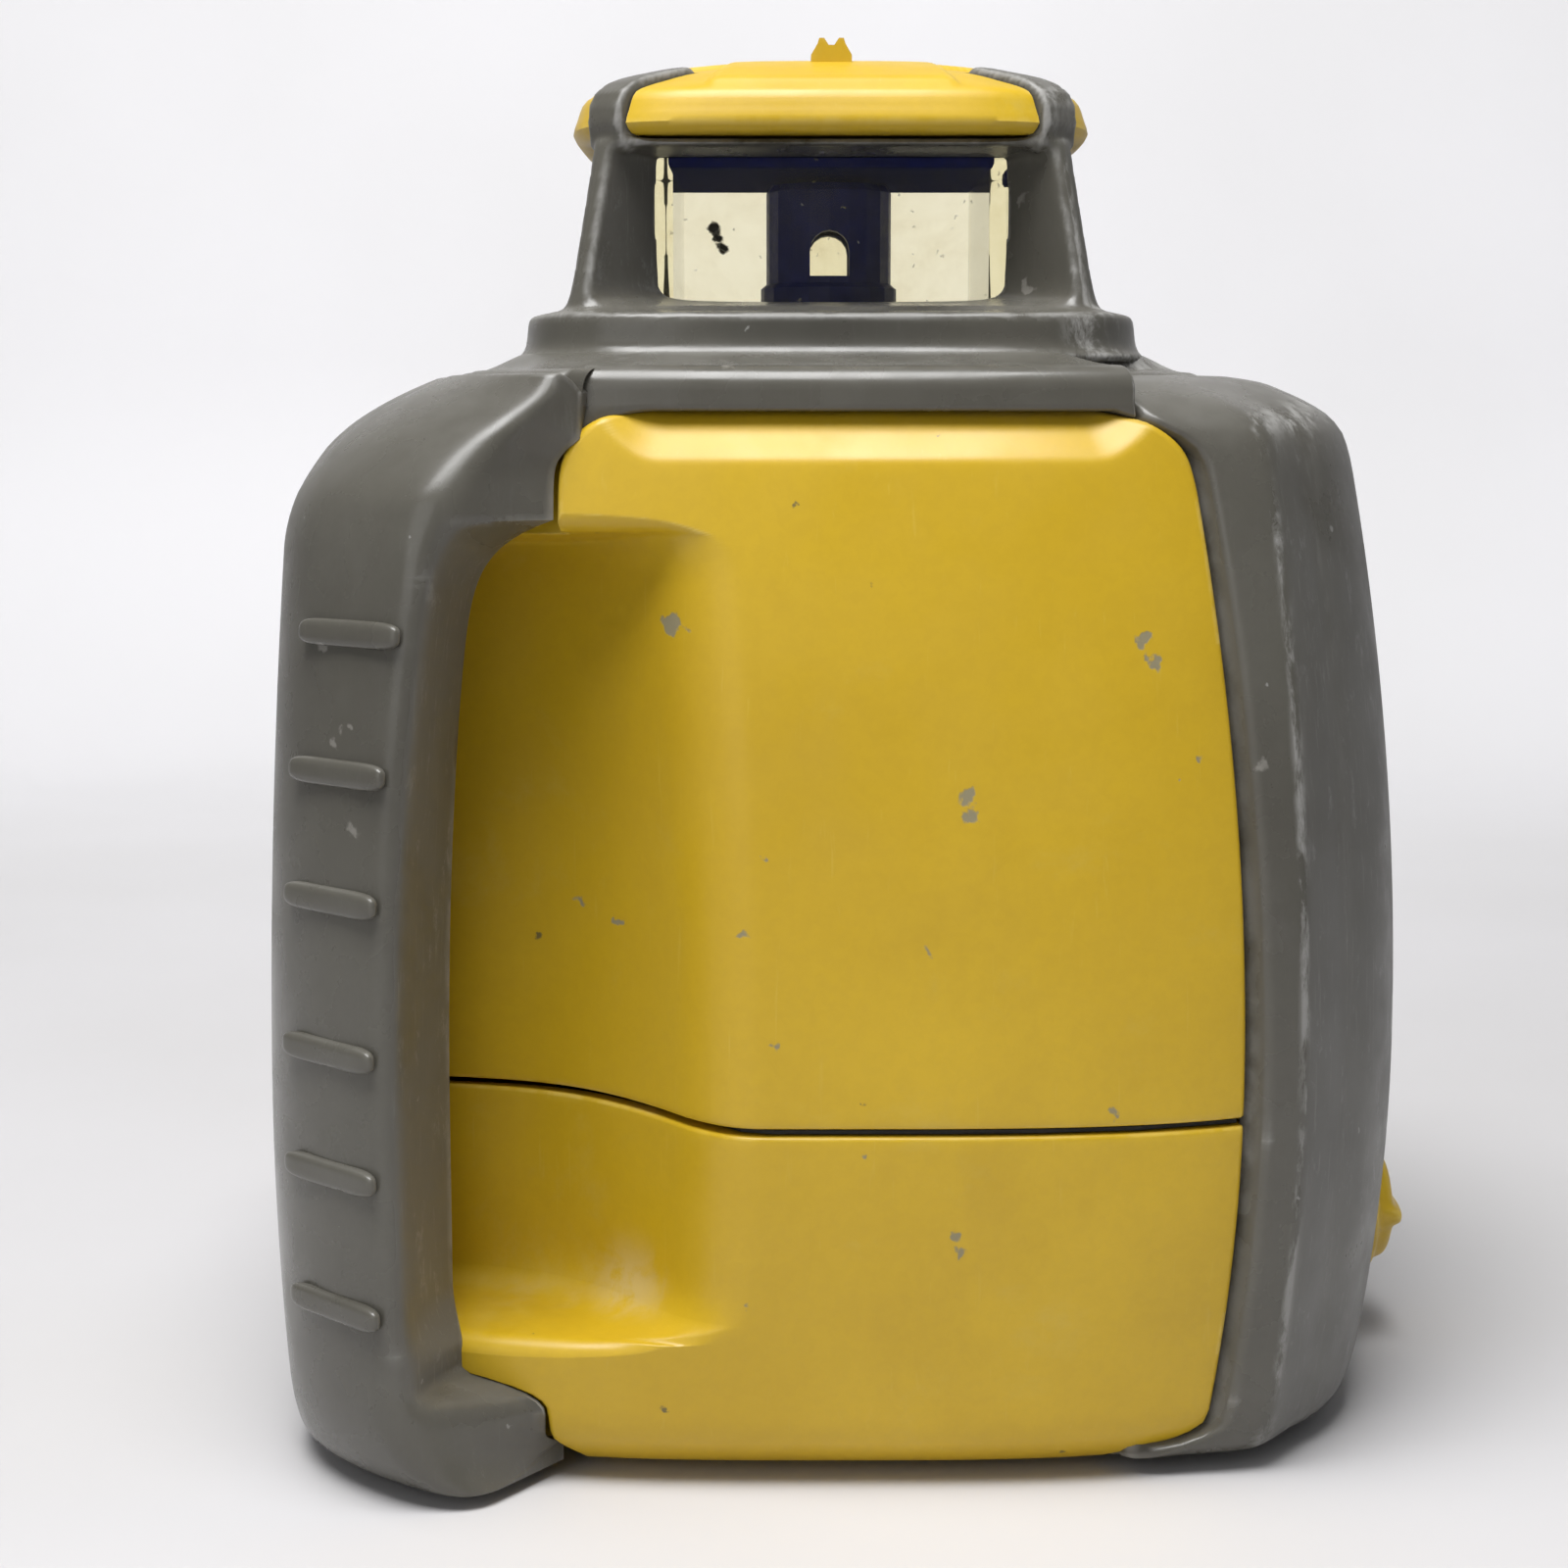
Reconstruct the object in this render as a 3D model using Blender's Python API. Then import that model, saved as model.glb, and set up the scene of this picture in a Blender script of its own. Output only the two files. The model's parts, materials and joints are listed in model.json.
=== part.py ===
"""Self-levelling rotary laser level.

A yellow two-part housing carries a grey corner handle, a grey side cover and a grey shoulder.
The glazed head on top holds a spinning prism, driven by a belt on a two-axis gimbal.
A battery drawer with a turn knob fills the lower right side, and the keys are on the far side.
Lengths are in metres, +Z is up, and the near side of the housing faces -Y.
"""
import bpy
import bmesh
from math import atan2, cos, hypot, pi, radians, sin, sqrt

MM = 0.001

# Place of the rotor's axis, measured from the middle of the footprint
AXIS_X = -4.2 * MM
AXIS_Y = 1.2 * MM

# Fits
CLEAR = 0.3 * MM
SLIDE_FIT = 0.6 * MM
SEAT_ROOM = 1.1 * MM

# Body: a rounded square in plan, barrel shaped in height, with room for two cells end to end
BODY_SIDE_ROOM = 36.5 * MM
BODY_HALF_Y = 83.7 * MM
BODY_POWER = 3.3
BELLY_RISE = 60 * MM
BELLY_REACH_UP = 315 * MM
BELLY_REACH_DOWN = 253 * MM

# Housing halves
LOWER_HALF_HEIGHT = 54.2 * MM
UPPER_HALF_HEIGHT = 110.8 * MM
HOUSING_WALL = 3 * MM
PARTING_GAP = 1.2 * MM
GASKET_THICK = 0.6 * MM
GASKET_SETBACK = 1.2 * MM
PANEL_BEVEL_RISE = 8.5 * MM
PANEL_BEVEL_IN = 6 * MM
SEAT_BEVEL_IN = 16 * MM
BOTTOM_ROUND_RISE = 8 * MM
BOTTOM_ROUND_IN = 5 * MM

# Finger scoop behind the handle, measured in from the body's sides
SCOOP_DEPTH_X = 30.5 * MM
SCOOP_DEPTH_Y = 37.7 * MM
SCOOP_FOOT_IN = 59.5 * MM
SCOOP_LIP_IN = 81 * MM
SCOOP_SILL = 16.5 * MM
SCOOP_BROW = 18 * MM
SCOOP_LEDGE_RISE = 4 * MM
SCOOP_ROOF_DROP = 8 * MM
SCOOP_FILLET = 7 * MM
HAND_GAP_END_Y = 8 * MM
HAND_GAP_LINTEL = 7 * MM

# Side covers
COVER_WALL = 3.5 * MM
COVER_PROUD = 1.2 * MM
COVER_RISE = 5.6 * MM
COVER_FLANGE = 18 * MM
RIGHT_ROUND_HEIGHT = 15.6 * MM
LEFT_ROUND_HEIGHT = 19.6 * MM
SEAM_SHARE = 0.672
SEAM_LEAN = 0.042
SEAM_GAP = 0.9 * MM

# Handle bar at the near left corner, measured in from the body's sides
HANDLE_SEAT = 6 * MM
HANDLE_PROUD = 4 * MM
HANDLE_NEAR_IN = 29.8 * MM
HANDLE_NEAR_OUT = 6.8 * MM
HANDLE_INNER_IN = 35 * MM
HANDLE_INNER_BACK = 15.7 * MM
HANDLE_BEND = 5 * MM
HANDLE_ROOT_IN = 53.5 * MM
HANDLE_TOE_IN = 55.5 * MM
BAR_END_ANGLE = radians(-148.7)
GAP_END_ANGLE = radians(-175)
RIB_COUNT = 6
RIB_LOW_RISE = 26 * MM
RIB_HIGH_DROP = 33.5 * MM
RIB_LENGTH = 19 * MM
RIB_WIDTH = 5.6 * MM
RIB_HEIGHT = 1.6 * MM

# Shoulder and head guard
NECK_RADIUS = 24 * MM
SHOULDER_HEIGHT = 9.2 * MM
SHOULDER_NEAR_DROP = 2.4 * MM
SHOULDER_SIDE_DROP = 3 * MM
SHOULDER_ROUND = 3.5 * MM
SHOULDER_SETBACK = 2 * MM
COLLAR_HALF = 53 * MM
COLLAR_HEIGHT = 6.8 * MM
GUARD_FLOOR_RISE = 8 * MM
GUARD_HEIGHT = 26.8 * MM
GUARD_BASE_HALF = 46.2 * MM
GUARD_TOP_HALF = 40.6 * MM
RECESS_BASE_HALF = 42.7 * MM
RECESS_TOP_HALF = 34.6 * MM
RECESS_DROP = 0.6 * MM
RECESS_BROW = 0.8 * MM
WINDOW_LAP = 1.9 * MM
WINDOW_SILL = 0.8 * MM
WINDOW_BROW = 2.9 * MM
STRAP_WIDTH = 8 * MM
STRAP_THICK = 4 * MM
STRAP_PROUD = 1 * MM

# Lantern glazing
GLASS_HALF = 29.5 * MM
GLASS_THICK = 3 * MM
GLASS_DROP = 2.6 * MM
SEAL_THICK = 0.6 * MM
CEILING_THICK = 1.3 * MM

# Cap and sights
CAP_HALF = 44.6 * MM
CAP_HEIGHT = 15.1 * MM
SIGHT_HALF = 3.4 * MM
SIGHT_HEIGHT = 4.2 * MM
SIGHT_LENGTH = 6 * MM
SIGHT_OFFSET = 24 * MM

# Rotor
ROTOR_RADIUS = 11 * MM
ROTOR_FLOAT = 1.2 * MM
ROTOR_HEIGHT = 20.6 * MM
ROTOR_BORE = 7.6 * MM
APERTURE_WIDTH = 6.8 * MM
APERTURE_RISE = 4.6 * MM
APERTURE_HEIGHT = 7.8 * MM
SPINDLE_RADIUS = 6 * MM
SPINDLE_TAIL = 0.5 * MM
BEARING_RADIUS = 9 * MM
BEARING_HEIGHT = 5 * MM
PULLEY_LIFT = 2 * MM
PULLEY_HEIGHT = 6 * MM
ROTOR_PULLEY_RADIUS = 13 * MM
MOTOR_PULLEY_RADIUS = 5.5 * MM
MOTOR_OFFSET = 22 * MM
MOTOR_RADIUS = 8.5 * MM
MOTOR_BELOW = 14 * MM
BELT_THICK = 1.2 * MM
LASER_RADIUS = 8 * MM
LASER_LENGTH = 30 * MM

# Gimbal and chassis
GIMBAL_DROP = 27 * MM
HUB_RADIUS = 12 * MM
HUB_BELOW = 17 * MM
HUB_ABOVE = 15 * MM
GIMBAL_DISC_RADIUS = 35 * MM
GIMBAL_DISC_THICK = 6 * MM
GIMBAL_GAP = 3.5 * MM
GIMBAL_RING_WALL = 6.5 * MM
GIMBAL_RING_THICK = 10 * MM
GIMBAL_PIN_RADIUS = 2.6 * MM
PIVOT_BLOCK_THICK = 8 * MM
PIVOT_BLOCK_HALF = 7 * MM
CHASSIS_DROP = 25 * MM
CHASSIS_THICK = 4 * MM
CHASSIS_HOLE = 20 * MM
PLUNGER_RADIUS = 2.4 * MM
PLUNGER_TRAVEL = 4 * MM
PLUNGER_RING_SEAT = 3 * MM
PLUNGER_DISC_SEAT = 7 * MM
ACTUATOR_RADIUS = 6 * MM
ACTUATOR_HEIGHT = 10 * MM
BOARD_THICK = 1.6 * MM
BOARD_HALF_X = 46 * MM
BOARD_HALF_Y = 34 * MM
STANDOFF_LENGTH = 9 * MM
STANDOFF_RADIUS = 3 * MM

# Battery drawer
DOOR_HALF_ANGLE = 0.385
DOOR_LINTEL = 2.2 * MM
DOOR_GAP = 0.5 * MM
DOOR_THICK = 9 * MM
TRAY_WALL = 1.5 * MM
TRAY_SIDE_HEIGHT = 28 * MM
CELL_RADIUS = 16.4 * MM
CELL_LENGTH = 60 * MM
CELL_ROOM = 0.4 * MM
CONTACT_THICK = 0.6 * MM
KNOB_RISE = 11 * MM
KNOB_RADIUS = 12 * MM
KNOB_HEIGHT = 8 * MM
KNOB_WING_HALF = 2 * MM
KNOB_WING_RISE = 1.3 * MM
SHAFT_RADIUS = 4 * MM
CAM_SETBACK = 19.5 * MM
CAM_THICK = 2.5 * MM
CAM_REACH = 15.5 * MM
CAM_HALF = 3.2 * MM

# Base, with the feet measured in from the body's sides
FOOT_HEIGHT = 4.3 * MM
FOOT_RADIUS = 9 * MM
FOOT_IN_X = 36.5 * MM
FOOT_IN_Y = 33.7 * MM
SCOOP_FOOT_IN_X = 46.5 * MM
SCOOP_FOOT_IN_Y = 35.7 * MM
BASE_THICK = 3 * MM
BASE_PROUD = 0.4 * MM
INSERT_RADIUS = 17 * MM
INSERT_BORE = 7.2 * MM
INSERT_FACE_Z = 0.6 * MM
INSERT_SOCKET = 10.8 * MM

# Control panel on the far side
PANEL_HALF_ANGLE = 0.47
PANEL_HEIGHT = 56 * MM
PANEL_DROP = 22 * MM
PANEL_THICK = 4 * MM
BUTTON_RADIUS = 5 * MM
BUTTON_RISE = 1.4 * MM
BUTTON_DEPTH = 3 * MM
BUTTON_PITCH = 20 * MM
BUTTON_MARGIN = 12 * MM
LAMP_RADIUS = 3 * MM
LAMP_DROP = 10 * MM

# Facet counts
ROUND_SIDES = 20
SMALL_SIDES = 12
POST_SIDES = 8
SQUIRCLE_SIDES = 40
BAR_COLUMNS = 7
WINDOW_COLUMNS = 3
SIDE_COLUMNS = 6

# Rounded profiles, as shares of (inset, rise) or of (half width, rise), and powers of the squircles
RIGHT_ROUND = ((0.02, 0.33), (0.11, 0.55), (0.28, 0.71), (0.47, 0.83), (0.67, 0.93), (1, 1))
LEFT_ROUND = ((0.08, 0.35), (0.22, 0.55), (0.44, 0.72), (0.69, 0.86), (1, 1))
CAP_PROFILE = ((0.975, 0), (1, 0.12), (0.993, 0.41), (0.925, 0.66), (0.74, 0.84), (0.45, 0.96), (0.13, 1))
CAP_POWER = 4
COLLAR_POWER = 3
GUARD_POWER = 6

# Levels, from the floor up
BASE_BOTTOM = FOOT_HEIGHT + CLEAR
BASE_TOP = BASE_BOTTOM + BASE_THICK
COVER_BOTTOM = BASE_BOTTOM
HOUSING_BOTTOM = BASE_BOTTOM + BASE_PROUD
BELLY_Z = HOUSING_BOTTOM + BELLY_RISE
INSERT_TOP = BASE_TOP + INSERT_SOCKET
DOOR_LOW_Z = HOUSING_BOTTOM + BOTTOM_ROUND_RISE
KNOB_Z = DOOR_LOW_Z + KNOB_RISE
SCOOP_LOW_Z = HOUSING_BOTTOM + SCOOP_SILL
RIB_LOW_Z = HOUSING_BOTTOM + RIB_LOW_RISE
PARTING_Z = HOUSING_BOTTOM + LOWER_HALF_HEIGHT
LOWER_RIM = PARTING_Z - PARTING_GAP / 2
UPPER_RIM = PARTING_Z + PARTING_GAP / 2
DOOR_HIGH_Z = LOWER_RIM - DOOR_LINTEL
HOUSING_TOP = PARTING_Z + UPPER_HALF_HEIGHT
GIMBAL_Z = HOUSING_TOP - GIMBAL_DROP
CHASSIS_Z = GIMBAL_Z - CHASSIS_DROP
HUB_BOTTOM = GIMBAL_Z - HUB_BELOW
HUB_TOP = GIMBAL_Z + HUB_ABOVE
SPINDLE_BOTTOM = HUB_BOTTOM - SPINDLE_TAIL
MOTOR_BOTTOM = GIMBAL_Z - MOTOR_BELOW
PULLEY_Z = HUB_TOP + PULLEY_LIFT
PANEL_HIGH_Z = HOUSING_TOP - PANEL_DROP
PANEL_LOW_Z = PANEL_HIGH_Z - PANEL_HEIGHT
LAMP_Z = PANEL_HIGH_Z - LAMP_DROP
RIB_HIGH_Z = HOUSING_TOP - RIB_HIGH_DROP
SCOOP_HIGH_Z = HOUSING_TOP - SCOOP_BROW
HAND_GAP_TOP = SCOOP_HIGH_Z - HAND_GAP_LINTEL
COVER_TOP = HOUSING_TOP + COVER_RISE
RIGHT_ROUND_START = COVER_TOP - RIGHT_ROUND_HEIGHT
LEFT_ROUND_START = COVER_TOP - LEFT_ROUND_HEIGHT
SHOULDER_UNDER = HOUSING_TOP + CLEAR
SHOULDER_TOP = HOUSING_TOP + SHOULDER_HEIGHT
SHOULDER_NEAR_Z = SHOULDER_TOP - SHOULDER_NEAR_DROP
SHOULDER_SIDE_Z = SHOULDER_TOP - SHOULDER_SIDE_DROP
GUARD_FLOOR = SHOULDER_TOP + GUARD_FLOOR_RISE
GUARD_TOP = GUARD_FLOOR + GUARD_HEIGHT
RECESS_BASE_Z = GUARD_FLOOR - RECESS_DROP
RECESS_TOP_Z = GUARD_TOP - RECESS_BROW
WINDOW_LOW = GUARD_FLOOR + WINDOW_SILL
WINDOW_HIGH = GUARD_TOP - WINDOW_BROW
GLASS_TOP = GUARD_TOP - GLASS_DROP
ROTOR_BOTTOM = GUARD_FLOOR + ROTOR_FLOAT
ROTOR_TOP = ROTOR_BOTTOM + ROTOR_HEIGHT
APERTURE_LOW = ROTOR_BOTTOM + APERTURE_RISE
APERTURE_HIGH = APERTURE_LOW + APERTURE_HEIGHT
CAP_BASE = GUARD_TOP + CLEAR
CAP_CROWN = CAP_BASE + CAP_HEIGHT

# Places in plan
BODY_HALF_X = CELL_LENGTH + BODY_SIDE_ROOM
WINDOW_HALF = GLASS_HALF - WINDOW_LAP
SCOOP_FLOOR_Y = BODY_HALF_Y - SCOOP_DEPTH_Y
SCOOP_SIDE_X = BODY_HALF_X - SCOOP_DEPTH_X
SCOOP_FOOT_X = BODY_HALF_X - SCOOP_FOOT_IN
SCOOP_LIP_X = BODY_HALF_X - SCOOP_LIP_IN
HANDLE_NEAR_X = BODY_HALF_X - HANDLE_NEAR_IN
HANDLE_NEAR_Y = BODY_HALF_Y + HANDLE_NEAR_OUT
HANDLE_INNER_X = BODY_HALF_X - HANDLE_INNER_IN
HANDLE_INNER_Y = BODY_HALF_Y - HANDLE_INNER_BACK
HANDLE_ROOT_X = BODY_HALF_X - HANDLE_ROOT_IN
HANDLE_TOE_X = BODY_HALF_X - HANDLE_TOE_IN
LEFT_STEP = -pi / 2 - atan2(HANDLE_ROOT_X, BODY_HALF_Y)
SCOOP_START = -pi / 2 - 0.12
HAND_END = GAP_END_ANGLE + 0.17
GIMBAL_RING_INNER = GIMBAL_DISC_RADIUS + GIMBAL_GAP
GIMBAL_RING_OUTER = GIMBAL_RING_INNER + GIMBAL_RING_WALL
PLUNGER_X_ARM = GIMBAL_DISC_RADIUS - PLUNGER_DISC_SEAT
PLUNGER_Y_ARM = GIMBAL_RING_INNER + PLUNGER_RING_SEAT
TRAY_HALF_Y = 2 * CELL_RADIUS + CELL_ROOM + TRAY_WALL
CAM_X = BODY_HALF_X - CAM_SETBACK
FOOT_X = BODY_HALF_X - FOOT_IN_X
FOOT_Y = BODY_HALF_Y - FOOT_IN_Y
SCOOP_FOOT_PLACE = (SCOOP_FOOT_IN_X - BODY_HALF_X, SCOOP_FOOT_IN_Y - BODY_HALF_Y)
DIAGONALS = [pi / 4 + pi / 2 * i for i in range(4)]
LOW_KEYS_Z = PANEL_LOW_Z + BUTTON_MARGIN
HIGH_KEYS_Z = LOW_KEYS_Z + BUTTON_PITCH
KEY_PLACES = (
    ("power_button", 0, LOW_KEYS_Z),
    ("speed_button", -BUTTON_PITCH, LOW_KEYS_Z),
    ("mode_button", BUTTON_PITCH, LOW_KEYS_Z),
    ("left_arrow_button", -BUTTON_PITCH, HIGH_KEYS_Z),
    ("right_arrow_button", BUTTON_PITCH, HIGH_KEYS_Z),
)


# Shape rules

def smooth_max(a, b, blend):
    return 0.5 * (a + b + sqrt((a - b) ** 2 + blend ** 2))


def smooth_min(a, b, blend):
    return 0.5 * (a + b - sqrt((a - b) ** 2 + blend ** 2))


def smooth_step(low, high, value):
    t = min(1.0, max(0.0, (value - low) / (high - low)))
    return t * t * (3 - 2 * t)


def spread(start, end, count):
    """Evenly spaced values from start to end, both included."""
    return [start + (end - start) * i / (count - 1) for i in range(count - 1)] + [end]


def squircle_radius(angle, half_x, half_y, power):
    return ((abs(cos(angle)) / half_x) ** power + (abs(sin(angle)) / half_y) ** power) ** (-1 / power)


def barrel(z):
    """Share of the widest plan that the body has at a height."""
    rise = z - BELLY_Z
    reach = BELLY_REACH_UP if rise > 0 else BELLY_REACH_DOWN
    return 1 - (rise / reach) ** 2


def body_radius(angle, z, inset=0.0):
    share = barrel(z)
    return squircle_radius(angle, BODY_HALF_X * share - inset, BODY_HALF_Y * share - inset, BODY_POWER)


def body_point(angle, z, inset=0.0):
    radius = body_radius(angle, z, inset)
    return (radius * cos(angle), radius * sin(angle), z)


def plan_angle(share, z):
    """Angle from the X axis of the body's plan point at this share of its half width."""
    x = share * BODY_HALF_X * barrel(z)
    y = BODY_HALF_Y * barrel(z) * (1 - share ** BODY_POWER) ** (1 / BODY_POWER)
    return atan2(y, x)


def seam_angle(z):
    """Angle of the seam between a panel and a side cover, which leans in above and below the belly."""
    share = SEAM_SHARE - SEAM_LEAN * ((z - BELLY_Z) / (HOUSING_TOP - BELLY_Z)) ** 2
    return plan_angle(share, z)


def ray_to_line(angle, p, q):
    """Distance from the axis along a plan direction to the line through p and q."""
    dx = q[0] - p[0]
    dy = q[1] - p[1]
    return (p[0] * dy - p[1] * dx) / (cos(angle) * dy - sin(angle) * dx)


def face_y(x, z, inset=0.0):
    """Depth of the far or near face of the body at a place on it."""
    half_x = BODY_HALF_X * barrel(z) - inset
    half_y = BODY_HALF_Y * barrel(z) - inset
    return half_y * (1 - (abs(x) / half_x) ** BODY_POWER) ** (1 / BODY_POWER)


def foot_round(z):
    """How far the housing draws in at a height, where its lower edge is rounded."""
    return BOTTOM_ROUND_IN * max(0.0, (HOUSING_BOTTOM + BOTTOM_ROUND_RISE - z) / BOTTOM_ROUND_RISE) ** 2


def scoop_radius(angle):
    """Plan of the scoop at full depth: floor, side, slanted wall and the end of the hand gap."""
    side = SCOOP_SIDE_X / max(abs(cos(angle)), 1e-6)
    floor = SCOOP_FLOOR_Y / max(abs(sin(angle)), 1e-6)
    inner = smooth_min(side, floor, SCOOP_FILLET)
    foot = (-SCOOP_FOOT_X, -SCOOP_FLOOR_Y)
    lip = (-SCOOP_LIP_X, -BODY_HALF_Y)
    slant = ray_to_line(angle, foot, lip)
    end_foot = (-SCOOP_SIDE_X, -HAND_GAP_END_Y - 3 * CLEAR)
    end_lip = (-BODY_HALF_X, -HAND_GAP_END_Y * 0.6)
    end = ray_to_line(angle, end_foot, end_lip)
    if angle > -3 * pi / 4:
        return smooth_max(inner, slant, SCOOP_FILLET)
    return max(inner, end)


def scoop_depth_share(z):
    low = smooth_step(SCOOP_LOW_Z, SCOOP_LOW_Z + SCOOP_LEDGE_RISE, z)
    high = 1 - smooth_step(SCOOP_HIGH_Z - SCOOP_ROOF_DROP, SCOOP_HIGH_Z, z)
    return low * high


def housing_radius(angle, z):
    """Outside of the yellow housing: full panels near and far, set back under the covers, scooped."""
    seam = seam_angle(z)
    seat = 0.0
    tiny = 1e-6
    if -seam - tiny <= angle <= seam + tiny:
        seat = COVER_WALL - COVER_PROUD + SEAT_ROOM
    elif angle >= pi - seam - tiny or angle <= LEFT_STEP + tiny:
        seat = HANDLE_SEAT + SEAT_ROOM
    bevel_in = SEAT_BEVEL_IN if seat else PANEL_BEVEL_IN
    bevel = bevel_in * max(0.0, (z - HOUSING_TOP + PANEL_BEVEL_RISE) / PANEL_BEVEL_RISE) ** 2
    radius = body_radius(angle, z, seat + bevel + foot_round(z))
    if angle < SCOOP_START:
        deep = min(radius, smooth_min(radius, scoop_radius(angle), SCOOP_FILLET / 2))
        radius += (deep - radius) * scoop_depth_share(z)
    return radius


def housing_angles(z):
    """Stations round the housing, with a pair close together at each seam."""
    seam = seam_angle(z)
    lip = SEAM_GAP / body_radius(seam, z)
    stations = spread(-pi, HAND_END, 5)[:-1]
    stations += spread(HAND_END, LEFT_STEP, 11)
    stations += spread(LEFT_STEP + lip, SCOOP_START, 7)[:-1]
    stations += spread(SCOOP_START, -seam - lip, 6)
    stations += spread(-seam, seam, 7)
    stations += spread(seam + lip, pi - seam - lip, 8)
    stations += spread(pi - seam, pi, 5)[:-1]
    return stations


def rim_radius(angle, z):
    """Inside of the housing wall at a rim, with room for the deepest seat, round or bevel over it."""
    right = smooth_step(-0.3, 0.3, cos(angle))
    seat = HANDLE_SEAT + (COVER_WALL - COVER_PROUD - HANDLE_SEAT) * right + SEAT_ROOM
    if z == HOUSING_TOP:
        seat += SEAT_BEVEL_IN
    if z == HOUSING_BOTTOM:
        seat += BOTTOM_ROUND_IN
    radius = body_radius(angle, z, seat)
    if angle < SCOOP_START:
        radius = min(radius, smooth_min(radius, scoop_radius(angle), SCOOP_FILLET / 2))
    return radius - HOUSING_WALL


def inner_radius(angle, z, low, high):
    """Inside of a housing half: a straight run between its lower and upper rims."""
    at_low = rim_radius(angle, low)
    at_high = rim_radius(angle, high)
    return at_low + (at_high - at_low) * (z - low) / (high - low)


# Mesh tools

ROOT = None


def clear_scene():
    for obj in list(bpy.data.objects):
        bpy.data.objects.remove(obj, do_unlink=True)


def material(name, colour, roughness, metallic=0.0, alpha=1.0):
    mat = bpy.data.materials.new(name)
    mat.use_nodes = True
    shader = mat.node_tree.nodes["Principled BSDF"]
    shader.inputs["Base Color"].default_value = (*colour, 1)
    shader.inputs["Roughness"].default_value = roughness
    shader.inputs["Metallic"].default_value = metallic
    shader.inputs["Alpha"].default_value = alpha
    mat.diffuse_color = (*colour, alpha)
    return mat


def place(name, bm, mat, at=(0, 0, 0), sharp=radians(35)):
    """Turn a bmesh into a named object on the rotor's frame, with its origin at a point of its own."""
    bmesh.ops.translate(bm, verts=bm.verts, vec=[-c for c in at])
    bmesh.ops.recalc_face_normals(bm, faces=bm.faces)
    mesh = bpy.data.meshes.new(name)
    bm.to_mesh(mesh)
    bm.free()
    mesh.shade_smooth()
    mesh.set_sharp_from_angle(angle=sharp)
    obj = bpy.data.objects.new(name, mesh)
    bpy.context.collection.objects.link(obj)
    obj.parent = ROOT
    obj.location = at
    if mat:
        mesh.materials.append(mat)
    return obj


def shape(obj, tool_mesh, name, operation="DIFFERENCE"):
    """Cut a hidden tool out of a piece, or join it on."""
    tool = place(name, tool_mesh, None)
    tool.hide_render = True
    tool.display_type = "WIRE"
    mod = obj.modifiers.new(name, "BOOLEAN")
    mod.operation = operation
    mod.solver = "EXACT"
    mod.object = tool


def loft(rows, ring=False):
    """Skin through closed loops of points. A ring joins the last loop to the first, else both are capped."""
    bm = bmesh.new()
    loops = [[bm.verts.new(p) for p in row] for row in rows]
    count = len(rows[0])
    pairs = list(zip(loops, loops[1:]))
    if ring:
        pairs.append((loops[-1], loops[0]))
    else:
        bm.faces.new(loops[0])
        bm.faces.new(loops[-1])
    for a, b in pairs:
        for i in range(count):
            j = (i + 1) % count
            bm.faces.new((a[i], a[j], b[j], b[i]))
    return bm


def patch(outer, inner, window=None):
    """Wall between two grids of points. A window (row and column ranges) is left open."""
    bm = bmesh.new()
    rows = len(outer)
    cols = len(outer[0])
    out = [[bm.verts.new(p) for p in row] for row in outer]
    inn = [[bm.verts.new(p) for p in row] for row in inner]

    def solid(i, j):
        if not (0 <= i < rows - 1 and 0 <= j < cols - 1):
            return False
        if window and window[0] <= i < window[1] and window[2] <= j < window[3]:
            return False
        return True

    for i in range(rows - 1):
        for j in range(cols - 1):
            if not solid(i, j):
                continue
            for grid in (out, inn):
                bm.faces.new((grid[i][j], grid[i][j + 1], grid[i + 1][j + 1], grid[i + 1][j]))
            sides = (
                (i - 1, j, (i, j), (i, j + 1)),
                (i + 1, j, (i + 1, j), (i + 1, j + 1)),
                (i, j - 1, (i, j), (i + 1, j)),
                (i, j + 1, (i, j + 1), (i + 1, j + 1)),
            )
            for ni, nj, p, q in sides:
                if not solid(ni, nj):
                    bm.faces.new((out[p[0]][p[1]], out[q[0]][q[1]], inn[q[0]][q[1]], inn[p[0]][p[1]]))
    loose = [v for v in bm.verts if not v.link_faces]
    bmesh.ops.delete(bm, geom=loose, context="VERTS")
    return bm


def circle(radius, sides, to_point):
    turns = [2 * pi * i / sides for i in range(sides)]
    return [to_point(radius * cos(t), radius * sin(t)) for t in turns]


def turned(profile, centre=(0, 0), sides=ROUND_SIDES, ring=False):
    """Turn a profile of (radius, z) about a vertical axis."""
    rows = []
    for radius, z in profile:
        rows.append(circle(radius, sides, lambda u, v, z=z: (centre[0] + u, centre[1] + v, z)))
    return loft(rows, ring)


def turned_x(profile, y, z, sides=ROUND_SIDES):
    """Turn a profile of (radius, x) about an axis along X."""
    return loft([circle(r, sides, lambda u, v, x=x: (x, y + u, z + v)) for r, x in profile])


def turned_y(profile, x, z, sides=ROUND_SIDES):
    """Turn a profile of (radius, y) about an axis along Y."""
    return loft([circle(r, sides, lambda u, v, y=y: (x + u, y, z + v)) for r, y in profile])


def block(low, high):
    corners = ((0, 0), (1, 0), (1, 1), (0, 1))
    rows = []
    for z in (low[2], high[2]):
        rows.append([(low[0] if u == 0 else high[0], low[1] if v == 0 else high[1], z) for u, v in corners])
    return loft(rows)


def squircle_loop(half, z, power, sides=SQUIRCLE_SIDES):
    loop = []
    for i in range(sides):
        angle = 2 * pi * i / sides
        radius = squircle_radius(angle, half, half, power)
        loop.append((radius * cos(angle), radius * sin(angle), z))
    return loop


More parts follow.
